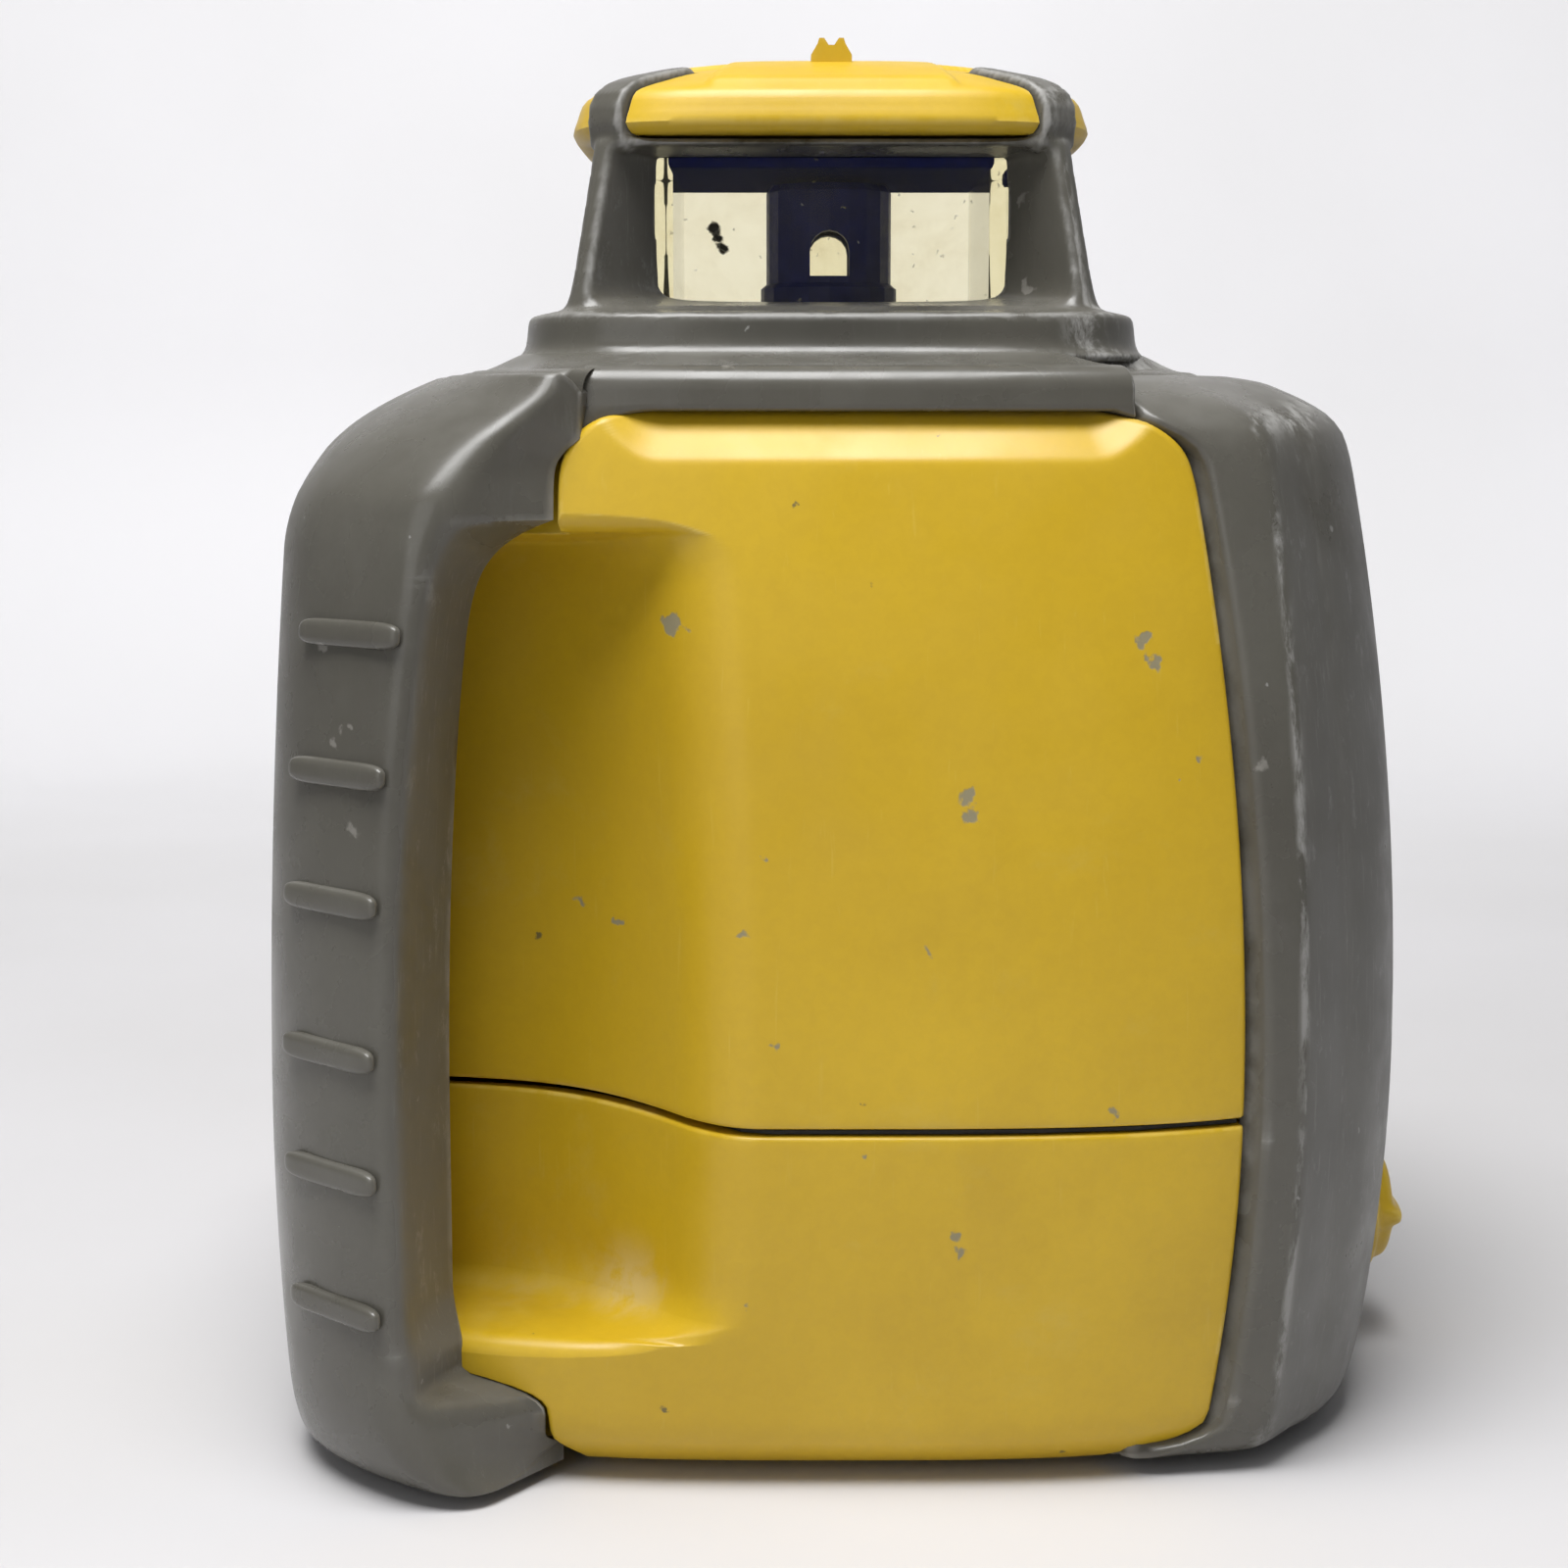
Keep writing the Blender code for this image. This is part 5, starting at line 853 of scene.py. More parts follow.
def handle_near_edge(z, inset):
    """Near edge of the handle bar: bowed at mid height, swept in to the shoulder and to the toe."""
    rise = (z - BELLY_Z) / (LEFT_ROUND_START - BELLY_Z)
    x = HANDLE_NEAR_X - HANDLE_LEAN * max(0, rise) ** 2 - HANDLE_BEND * 0.3 * min(0, rise) ** 2
    y = HANDLE_NEAR_Y - HANDLE_BEND * 0.9 * max(0, rise) ** 2
    top = max(0, (z - LEFT_ROUND_START) / (COVER_TOP - LEFT_ROUND_START))
    x -= (HANDLE_NEAR_X - HANDLE_LEAN - HANDLE_ROOT_X) * (0.25 * top + 0.75 * top ** 2)
    x = float(smooth_max(x, ROOT_TIP_X + 3.5, 3))
    y -= HANDLE_FACET * (float(soft_rise(z - FACET_START_Z, 1.6)) if z > LEFT_ROUND_START - 12 else 0)
    toe = max(0, (TOE_START_Z - z) / (TOE_START_Z - COVER_BOTTOM))
    x -= (HANDLE_NEAR_X - HANDLE_TOE_X) * 0.4 * toe ** 3
    y -= HANDLE_BEND * 0.2 * toe ** 3
    near = np.array([-x, -y])
    if z < BELLY_Z:
        near = near * (1 - 0.15 * inset / hypot(x, y))
    return near


def handle_inner_edge(z):
    """Far edge of the bar's inner face, which runs on to the panel at the shoulder and the toe."""
    climb = min(1, max(0, (z - ARCH_START_Z) / (SCOOP_ROOF_Z - ARCH_START_Z)))
    level = min(HOUSING_TOP, max(HOUSING_BOTTOM, z))
    if z > BELLY_Z:
        on_panel = 0.32 * climb ** 2 + 0.68 * climb ** 21
        edge_x = max(float(left_edge_x(max(level, SCOOP_ROOF_Z))), ROOT_TIP_X)
    else:
        on_panel = 1 - float(smooth_step(22.5, 31, z))
        edge_x = min(float(left_edge_x(level)), LEDGE_END_X)
    x = HANDLE_INNER_X + (edge_x + HANDLE_SEAM - HANDLE_INNER_X) * on_panel
    panel_y = float(face_y(x, level, foot_round(level))) + 2 * FIT
    y = HANDLE_INNER_Y + (panel_y - HANDLE_INNER_Y) * on_panel
    return np.array([-x, -y])


def bezier(points, t):
    a, b, c = (np.asarray(p, float) for p in points)
    t = np.asarray(t)[:, None]
    return (1 - t) ** 2 * a + 2 * t * (1 - t) * b + t ** 2 * c


def bar_swell(z):
    """How far the bar stands out past the body: least at its waist, and gone at the shoulder."""
    swell = HANDLE_SWELL[0] + HANDLE_SWELL[1] * ((z - SWELL_WAIST_Z) / SWELL_REACH) ** 2
    return swell * (1 - float(smooth_step(*SWELL_FADE_Z, z)))


def bar_section(z, inset):
    """Plan of the bar at one height, from the inner face's far edge round the near edge to the hand gap."""
    far = handle_inner_edge(z)
    near = handle_near_edge(z, inset)
    end = body_points(np.array(BAR_END_ANGLE), z, inset - HANDLE_PROUD - bar_swell(z))[:2]
    knee = near + (end - near) * np.array(BAR_KNEE)
    inward = far - near
    length = np.linalg.norm(inward)
    near = near - HANDLE_EDGE_OUT * inward / length
    reach = min(HANDLE_EDGE_ROUND * 1.5, 0.45 * length)
    face_stop = near + inward / length * reach
    outside = bezier((near, knee, end), np.linspace(0, 1, 60))
    run = running(np.linalg.norm(np.diff(outside, axis=0), axis=1))
    start = min(HANDLE_EDGE_ROUND * 1.5, 0.4 * run[-1])
    at = start + (run[-1] - start) * np.sin(np.linspace(0, pi / 2, 30))
    bar = np.stack([np.interp(at, run, outside[:, k]) for k in (0, 1)], -1)
    face = far + (face_stop - far) * np.linspace(0, 1, 9)[:, None]
    corner = bezier((face_stop, near, bar[0]), np.linspace(0, 1, 11))
    return np.concatenate([face, corner[1:], bar[1:]])


def handle_wall(z):
    thick = HANDLE_SEAT + COVER_PROUD
    high = smooth_step(HAND_GAP_TOP - HANDLE_BEND, LEFT_ROUND_START, z)
    low = 1 - smooth_step(COVER_BOTTOM, DOOR_LOW_Z, z)
    return thick + (COVER_WALL - thick) * np.maximum(high, low)


def make_handle(finish):
    counts = (34, 64, 44)
    inset, z = cover_profile(LEFT_ROUND_START, LEFT_ROUND, (HAND_GAP_SILL, HAND_GAP_TOP), counts)
    inset_in, z_in = thickened(inset, z, handle_wall(z))
    bar_end = 2 * pi + BAR_END_ANGLE
    gap_end = 2 * pi + GAP_END_ANGLE
    outer = []
    inner = []
    for k in range(len(z)):
        bar = bar_section(z[k], inset[k])
        count = len(bar)
        far = bar[0]
        share = np.linspace(0, 1, count)
        lift = np.sin(pi / 2 * np.clip(share * count / 9, 0, 1))
        start = 2 * pi + atan2(far[1], far[0])
        back = body_points(start + (bar_end - start) * share, z_in[k], inset_in[k] - COVER_PROUD)
        keep = ((1 - share) ** 3)[:, None]
        back[:, :2] += (far - back[:, :2]) * keep
        sunk = TOE_DROP * (1 - float(smooth_step(COVER_BOTTOM, 16, z[k])))
        face = np.column_stack([bar, z_in[k] + (z[k] - z_in[k]) * lift - sunk])
        seam = pi - float(seam_angle(min(z[k], HOUSING_TOP))) + SEAM_GAP / BODY_HALF_X
        angle = joined(cosine(bar_end, gap_end, 18), cosine(gap_end, seam, 44))[1:]
        end_proud = HANDLE_PROUD + bar_swell(z[k])
        proud = COVER_PROUD + (end_proud - COVER_PROUD) * smooth_step(gap_end, bar_end, angle)
        outer.append(np.concatenate([face, body_points(angle, z[k], inset[k] - proud)]))
        inner.append(np.concatenate([back, body_points(angle, z_in[k], inset_in[k] - COVER_PROUD)]))
    outer = np.asarray(outer)
    hole = (counts[0] - 1, counts[0] + counts[1] - 2, count - 1, count + 16)
    handle = rolled_shell("handle_shell", outer, np.asarray(inner), finish, HANDLE_LIP, hole, HAND_GAP_LIP)
    settle(handle, "housing", "handle_cover")
    return outer, z, count


# Shoulder

def make_shoulder(finish, handle_rim):
    """Top cover: tongues reach the near and far panels, and the side covers lap the rest."""
    seam = float(seam_angle(HOUSING_TOP))
    right_edge = atan2(float(face_y(COVER_EDGE_X, HOUSING_TOP)), COVER_EDGE_X)
    rim_angle = np.unwrap(np.arctan2(handle_rim[:, 1], handle_rim[:, 0]))
    rim_radius_at = np.hypot(handle_rim[:, 0], handle_rim[:, 1])
    gap = SEAM_GAP / BODY_HALF_Y
    root_x = ROOT_TIP_X + TONGUE_LAP
    left = atan2(-float(face_y(root_x, HOUSING_TOP, SHOULDER_SETBACK)), -root_x)
    runs = []
    for start, end, tongue, count in ((left, -right_edge - gap, 1, 110), (-right_edge, right_edge, 0, 60),
                                      (right_edge + gap, pi - seam - gap, 1, 90)):
        angle = cosine(start, end, count)
        if tongue:
            edge = body_radius(angle, HOUSING_TOP, SHOULDER_SETBACK)
            side = np.minimum(angle - start, end - angle) * edge
            edge = edge - lip_drop(side, TONGUE_LIP)
        else:
            edge = body_radius(angle, COVER_TOP, COVER_FLANGE + SEAM_GAP)
        crest_z = SHOULDER_NEAR_Z if tongue else SHOULDER_SIDE_Z
        runs.append(np.stack([angle, edge, 0 * angle + crest_z, 0 * angle + tongue], -1))
    order = np.argsort(-rim_angle)
    rim = np.stack([rim_angle[order], rim_radius_at[order] - SEAM_GAP, 0 * rim_angle + SHOULDER_SIDE_Z,
                    0 * rim_angle], -1)
    rim = rim[rim[:, 0] > pi - seam - gap + 1e-3] if rim[0, 0] > 0 else rim
    stations = np.concatenate(runs + [rim])
    angle, edge, crest_z, tongue = stations.T
    x = body_radius(angle, HOUSING_TOP) * np.cos(angle)
    right_dip = TONGUE_DIP - TONGUE_DIP * unit((TONGUE_DIP_X - np.abs(x)) / TONGUE_DIP) ** (1 / 3)
    share = unit((ROOT_EDGE_X - ROOT_TUCK - np.abs(x)) / ROOT_SWEEP)
    left_dip = ROOT_SWEEP * (1 - (1 - (1 - share) ** 2) ** (1 / ROOT_POWER))
    near_left = (x < 0) & (np.sin(angle) < 0)
    foot_z = np.where(tongue > 0, SHOULDER_SKIRT - np.where(near_left, left_dip, right_dip), SHOULDER_UNDER)
    foot_z = np.maximum(foot_z, SHOULDER_SKIRT - 5)
    seat = squircle(angle, COLLAR_HALF, COLLAR_HALF, COLLAR_POWER)
    crest = edge - SHOULDER_ROUND
    neck = 0 * seat + NECK_RADIUS
    top = 0 * seat + SHOULDER_TOP
    profile = [(neck, 0 * seat + SHOULDER_UNDER), (neck, top), (seat - 2, top)]
    for t in np.linspace(0, 1, 10):
        fall = t * t * (3 - 2 * t)
        profile.append((seat + (crest - seat) * t, SHOULDER_TOP + (crest_z - SHOULDER_TOP) * fall))
    for turn in np.linspace(0, pi / 2, 9)[1:]:
        profile.append((crest + SHOULDER_ROUND * np.sin(turn), crest_z - SHOULDER_ROUND * (1 - np.cos(turn))))
    profile.append((edge, 0 * edge + HOUSING_TOP + 0.8))
    skirt = np.where(tongue > 0, edge + body_radius(angle, foot_z) - body_radius(angle, HOUSING_TOP), edge)
    profile.append((skirt, foot_z + 0.5))
    profile.append((skirt - 0.3, foot_z + 0.1))
    profile.append((skirt - 1.2, foot_z))
    points = np.asarray([polar(r, angle, h) for r, h in profile])
    shoulder = new_piece("shoulder_shell", points, quads(len(points), len(angle), True, True), finish)
    settle(shoulder, "housing", "shoulder_cover")


# Head

CAP_PROFILE = ((0.955, 0), (0.972, 0.02), (0.988, 0.08), (0.996, 0.13), (0.994, 0.17), (0.982, 0.28),
               (0.965, 0.44), (0.952, 0.5), (0.925, 0.55), (0.84, 0.65), (0.7, 0.79), (0.5, 0.91),
               (0.25, 0.98))


def strap_loop(extra):
    """Loop in the diagonal plane: over the cap's corner outside, back along the strap's underside."""
    diagonal = 2 ** (0.5 - 1 / CAP_POWER)
    shares = ((0.975, 0), (1, 0.12), (0.99, 0.36), (0.925, 0.6), (0.68, 0.85))
    half = np.array([CAP_HALF * diagonal * s + STRAP_PROUD for s, _ in shares])
    z = np.array([CAP_BASE + (CAP_CROWN - CAP_BASE) * r + STRAP_PROUD * 0.6 for _, r in shares])
    z[0] = GUARD_TOP - 0.6
    length = running(np.hypot(np.diff(half), np.diff(z)))
    at = np.linspace(0, length[-1], 26)
    outside = (monotone(length, -half, at), monotone(length, z, at))
    under = thickened(*outside, np.full(len(at), STRAP_THICK + extra))
    return np.column_stack([-outside[0], outside[1]]), np.column_stack([-under[0], under[1]])


def diagonal_slab(loop, width, angle):
    sides = (-width / 2, width / 2)
    points, faces = prism([np.column_stack([loop[:, 0], np.full(len(loop), y), loop[:, 1]]) for y in sides])
    return turn_plan(points, angle), faces


def surface_net(rule, low, high, step):
    """Skin of a solid given by a distance rule, negative inside: one corner in each cell that it crosses."""
    axes = [np.arange(a, b + step, step) for a, b in zip(low, high)]
    grid = np.stack(np.meshgrid(*axes, indexing="ij"), -1)
    value = rule(*np.moveaxis(grid, -1, 0))
    cells = np.array(value.shape) - 1
    total = np.zeros((cells.prod(), 3))
    count = np.zeros(cells.prod())
    faces = []
    for axis in range(3):
        start = np.moveaxis(value, axis, 0)[:-1]
        end = np.moveaxis(value, axis, 0)[1:]
        hit = np.argwhere((start < 0) != (end < 0))
        first = start[tuple(hit.T)]
        share = first / (first - end[tuple(hit.T)])
        order = [axis] + [k for k in range(3) if k != axis]
        spot = np.empty((len(hit), 3), int)
        spot[:, order] = hit
        point = grid[tuple(spot.T)]
        point[:, axis] += share * step
        ring = []
        for du, dv in ((-1, -1), (0, -1), (0, 0), (-1, 0)):
            cell = spot.copy()
            cell[:, order[1]] += du
            cell[:, order[2]] += dv
            flat = np.ravel_multi_index(tuple(cell.T), tuple(cells))
            np.add.at(total, flat, point)
            np.add.at(count, flat, 1)
            ring.append(flat)
        ring = np.stack(ring, -1)
        flip = (first < 0) == (axis == 1)
        ring[flip] = ring[flip, ::-1]
        faces.append(ring)
    used = np.flatnonzero(count)
    points = total[used] / count[used, None]
    for _ in range(3):
        here = rule(*points.T)
        slope = []
        for axis in range(3):
            nudge = np.zeros(3)
            nudge[axis] = 0.05
            slope.append((rule(*(points + nudge).T) - rule(*(points - nudge).T)) / 0.1)
        slope = np.stack(slope, -1)
        steep = np.maximum((slope ** 2).sum(1), 0.1)
        points = points - np.clip(here / steep, -step / 2, step / 2)[:, None] * slope
    renumber = np.zeros(cells.prod(), int)
    renumber[used] = np.arange(len(used))
    return points, renumber[np.concatenate(faces)].tolist()


def ruled_piece(name, rule, low, high, step, finish, sharp=55):
    points, faces = surface_net(rule, low, high, step)
    return new_piece(name, points, faces, finish, sharp, tidy=False)


def line_distance(u, v, line):
    """Distance from points in a plane to a run of straight pieces."""
    best = np.full(np.shape(u), 1e3)
    for (a, b), (c, d) in zip(line, line[1:]):
        t = np.clip(((u - a) * (c - a) + (v - b) * (d - b)) / ((c - a) ** 2 + (d - b) ** 2), 0, 1)
        best = np.minimum(best, np.hypot(u - a - t * (c - a), v - b - t * (d - b)))
    return best


def guard_rule(x, y, z):
    """Collar and tapered posts, less a flared recess on each side, and a strap over each cap corner."""
    ax = np.abs(x)
    ay = np.abs(y)
    out = np.maximum(ax, ay)
    side = np.minimum(ax, ay)
    base = SHOULDER_TOP - COLLAR_SINK
    crown = SHOULDER_TOP + COLLAR_HEIGHT
    climb = (z - crown) / (GUARD_TOP - crown)
    core = GUARD_BASE_HALF + (GUARD_TOP_HALF - GUARD_BASE_HALF) * climb - GUARD_CORNER
    body = np.hypot(np.maximum(ax - core, 0), np.maximum(ay - core, 0)) - GUARD_CORNER
    body = smooth_max(np.maximum(body, crown - 2 - z), z - GUARD_TOP, 0.8)
    wide = (ax ** COLLAR_POWER + ay ** COLLAR_POWER) ** (1 / COLLAR_POWER) - COLLAR_HALF
    foot = COLLAR_FLARE * np.exp(-np.maximum(z - SHOULDER_TOP + 0.5, 0) / COLLAR_FLARE_FALL)
    collar = np.maximum(smooth_max(wide - foot, z - crown, 1.2), base - z)
    solid = smooth_min(body, collar, 1.2)
    deep = GLASS_HALF - GLASS_THICK / 2
    flare = (out - deep) / (GUARD_BASE_HALF - deep)
    rise = (z - RECESS_BASE_Z) / (RECESS_TOP_Z - RECESS_BASE_Z)
    half = RECESS_BASE_HALF + (RECESS_TOP_HALF - RECESS_BASE_HALF) * rise
    half = WINDOW_HALF + (half - WINDOW_HALF) * flare
    sill = WINDOW_LOW + (RECESS_BASE_Z - WINDOW_LOW) * flare
    lintel = WINDOW_HIGH + (RECESS_TOP_Z - WINDOW_HIGH) * flare
    recess = smooth_max(smooth_max(side - half, sill - z, 3), z - lintel, 0.8)
    solid = smooth_max(solid, -np.maximum(recess, deep - out), 1.0)
    solid = smooth_max(solid, -np.maximum(out - GLASS_HALF - FIT, GUARD_FLOOR - z), 0.4)
    solid = np.maximum(solid, -np.maximum(np.hypot(x, y) - NECK_RADIUS, z - WINDOW_LOW))
    outside, under = strap_loop(0)
    middle = (0.5 * (outside + under))[::3]
    along = (ax + ay) * sqrt(0.5)
    strap = line_distance(along, z, middle) - STRAP_THICK / 2
    strap = smooth_max(strap, np.abs(ax - ay) * sqrt(0.5) - STRAP_WIDTH / 2, 0.7)
    return smooth_min(solid, strap, 0.8)


def make_guard(finish):
    reach = COLLAR_HALF + 3
    low = (-reach, -reach, SHOULDER_TOP - 3)
    high = (reach, reach, CAP_CROWN + 4)
    guard = ruled_piece("guard_shell", guard_rule, low, high, GUARD_STEP, finish, 60)
    settle(guard, "housing", "head_guard")


def roof_rule(x, y, z):
    """A shallow block between the panes, over the rotor."""
    out = np.maximum(np.abs(x), np.abs(y)) - ROOF_HALF
    return smooth_max(out, np.abs(z - (ROOF_LOW + ROOF_HIGH) / 2) - (ROOF_HIGH - ROOF_LOW) / 2, 0.5)


def make_roof(finish):
    low = (-ROOF_HALF - 2, -ROOF_HALF - 2, ROOF_LOW - 2)
    high = (ROOF_HALF + 2, ROOF_HALF + 2, ROOF_HIGH + 2)
    roof = ruled_piece("lantern_roof", roof_rule, low, high, ROOF_STEP, finish)
    settle(roof, "housing", "lantern_ceiling")


# Node trees that make what follows a rule or repeats

class Nodes:
    """Adds nodes to a tree, and links or sets their inputs."""

    sizes = {}

    def add(self, kind, settings=None, **links):
        node = self.tree.nodes.new(kind)
        for key, value in (settings or {}).items():
            setattr(node, key, value)
        for key, value in links.items():
            socket = node.inputs[int(key[1:])] if key[1:].isdigit() else node.inputs[key.replace("_", " ")]
            self.feed(socket, value)
        return node

    def feed(self, socket, value):
        if isinstance(value, str) and value in self.sizes:
            self.tree.links.new(self.inputs.outputs[value], socket)
        elif isinstance(value, bpy.types.Node):
            self.tree.links.new(value.outputs[0], socket)
        elif isinstance(value, bpy.types.NodeSocket):
            self.tree.links.new(value, socket)
        else:
            socket.default_value = value

    def math(self, operation, a, b=0.0, clamp=False):
        return self.add("ShaderNodeMath", {"operation": operation, "use_clamp": clamp}, _0=a, _1=b)


class Tree(Nodes):
    """A geometry tree with named inputs, built node by node."""

    def __init__(self, name, sizes, with_mesh=False):
        self.tree = bpy.data.node_groups.new(name, "GeometryNodeTree")
        face = self.tree.interface
        if with_mesh:
            face.new_socket("Geometry", in_out="INPUT", socket_type="NodeSocketGeometry")
        for label, value in sizes.items():
            kind = "NodeSocketMaterial" if isinstance(value, bpy.types.Material) else "NodeSocketFloat"
            socket = face.new_socket(label, in_out="INPUT", socket_type=kind)
            if kind == "NodeSocketFloat":
                socket.default_value = value
        face.new_socket("Geometry", in_out="OUTPUT", socket_type="NodeSocketGeometry")
        self.sizes = sizes
        self.inputs = self.tree.nodes.new("NodeGroupInput")
        self.outputs = self.tree.nodes.new("NodeGroupOutput")

    def place(self):
        """The place of each point, axis by axis."""
        return self.add("ShaderNodeSeparateXYZ", Vector=self.add("GeometryNodeInputPosition")).outputs

    def scatter(self, instance, **settings):
        """One copy of a form on each point of the piece."""
        copies = self.add("GeometryNodeInstanceOnPoints", Instance=instance, **settings)
        self.tree.links.new(self.inputs.outputs["Geometry"], copies.inputs["Points"])
        return self.add("GeometryNodeRealizeInstances", Geometry=copies)

    def close(self, skin):
        """Smooth the skin, give it the finish and hand it out."""
        skin = self.add("GeometryNodeSetShadeSmooth", Geometry=skin)
        skin = self.add("GeometryNodeSetMaterial", Geometry=skin, Material="Finish")
        self.feed(self.outputs.inputs[0], skin)

    def apply(self, name, obj=None):
        """Run the tree on an object and keep the result as a plain mesh at the origin."""
        if obj is None:
            obj = bpy.data.objects.new(name, bpy.data.meshes.new(name))
            bpy.context.collection.objects.link(obj)
        mod = obj.modifiers.new(name, "NODES")
        mod.node_group = self.tree
        for item in self.tree.interface.items_tree:
            if item.in_out == "INPUT" and item.name in self.sizes:
                mod[item.identifier] = self.sizes[item.name]
        baked(obj)
        obj.name = name
        return obj


def cap_tree(finish):
    """The cap as a rule: a grid wrapped round the axis, with its profile in two curves and a square plan."""
    tree = Tree("cap_rule", {"Half width": CAP_HALF * MM, "Base": CAP_BASE * MM,
                             "Height": (CAP_CROWN - CAP_BASE) * MM, "Squareness": float(CAP_POWER),
                             "Axis X": float(ROTOR_AXIS[0]), "Axis Y": float(ROTOR_AXIS[1]),
                             "Finish": finish})
    grid = tree.add("GeometryNodeMeshGrid", Size_X=1.0, Size_Y=1.0, Vertices_X=289, Vertices_Y=97)
    place = tree.place()
    turn = tree.math("MULTIPLY", tree.math("ADD", place[0], 0.5), 2 * pi)
    along = tree.math("ADD", place[1], 0.5)
    points = [(0, 0)] + list(CAP_PROFILE) + [(0, 1)]
    run = running(np.hypot(np.diff([p[0] for p in points]) * 3, np.diff([p[1] for p in points])))
    run = run / run[-1]
    curves = []
    for k in (0, 1):
        node = tree.add("ShaderNodeFloatCurve", Value=along)
        curve = node.mapping.curves[0]
        for t, point in zip(run[1:-1], points[1:-1]):
            curve.points.new(t, point[k])
        curve.points[0].location = (0, points[0][k])
        curve.points[-1].location = (1, points[-1][k])
        for point in curve.points:
            point.handle_type = "AUTO_CLAMPED"
        node.mapping.update()
        curves.append(node)
    c = tree.math("COSINE", turn)
    s = tree.math("SINE", turn)
    square = tree.math("ADD", tree.math("POWER", tree.math("ABSOLUTE", c), "Squareness"),
                       tree.math("POWER", tree.math("ABSOLUTE", s), "Squareness"))
    reach = tree.math("POWER", square, tree.math("DIVIDE", -1.0, "Squareness"))
    radius = tree.math("MULTIPLY", tree.math("MULTIPLY", reach, curves[0]), "Half width")
    height = tree.math("ADD", tree.math("MULTIPLY", curves[1], "Height"), "Base")
    spot = tree.add("ShaderNodeCombineXYZ", X=tree.math("ADD", tree.math("MULTIPLY", radius, c), "Axis X"),
                    Y=tree.math("ADD", tree.math("MULTIPLY", radius, s), "Axis Y"), Z=height)
    skin = tree.add("GeometryNodeSetPosition", Geometry=grid, Position=spot)
    skin = tree.add("GeometryNodeMergeByDistance", Geometry=skin, Distance=2e-5)
    tree.close(skin)
    return tree


def make_cap(finish):
    cap = cap_tree(finish).apply("cap_shell")
    bm = bmesh.new()
    bm.from_mesh(cap.data)
    bmesh.ops.recalc_face_normals(bm, faces=bm.faces)
    for vert in bm.verts:
        x, y, z = (np.array(vert.co) - ROTOR_AXIS) / MM
        pads = [PAD_HALF - PAD_TAPER * (CAP_HALF - abs(a)) - abs(b) for a, b in ((x, y), (y, x))]
        on_top = smooth_step(CAP_BASE + PAD_LOW, CAP_BASE + PAD_HIGH, z)
        vert.co.z += PAD_RISE * MM * float(smooth_step(-0.6, 0.6, max(pads)) * on_top)
    bm.to_mesh(cap.data)
    bm.free()
    outside, under = strap_loop(FIT)
    end = under[-1, 0] - FIT
    top = CAP_CROWN + STRAP_THICK
    loop = np.concatenate([[(end, top), (end, under[-1, 1])], under[::-1][1:],
                           [(CAP_HALF * 2, under[0, 1]), (CAP_HALF * 2, top)]])
    tools = [diagonal_slab(loop, STRAP_WIDTH + 2 * FIT, pi / 4 + pi / 2 * i) for i in range(4)]
    carve(cap, *merged(tools))
    side = ((1, -0.4), (1, 0.08), (0.68, 0.7), (0.6, 1), (0.36, 1), (0.14, 0.62))
    outline = [(SIGHT_HALF * u, CAP_CROWN + SIGHT_HEIGHT * v) for u, v in side]
    outline += [(-x, z) for x, z in outline[::-1]]
    for side in (-1, 1):
        ends = (side * SIGHT_OFFSET - SIGHT_LENGTH / 2, side * SIGHT_OFFSET + SIGHT_LENGTH / 2)
        carve(cap, *prism([[(x, y, z) for x, z in outline] for y in ends]), "UNION")
    cap.data.materials.clear()
    cap.data.materials.append(finish)
    cap.data.polygons.foreach_set("material_index", [0] * len(cap.data.polygons))
    cap.data.shade_smooth()
    cap.data.set_sharp_from_angle(angle=radians(40))
    settle(cap, "housing", "top_cap")


def bar_spot(line, share):
    """Point on the bar's outer face at a share of the way from its near edge to the hand gap."""
    start = 14
    run = running(np.linalg.norm(np.diff(line[start:], axis=0), axis=1))
    return np.array([np.interp(share * run[-1], run, line[start:, k]) for k in range(3)])


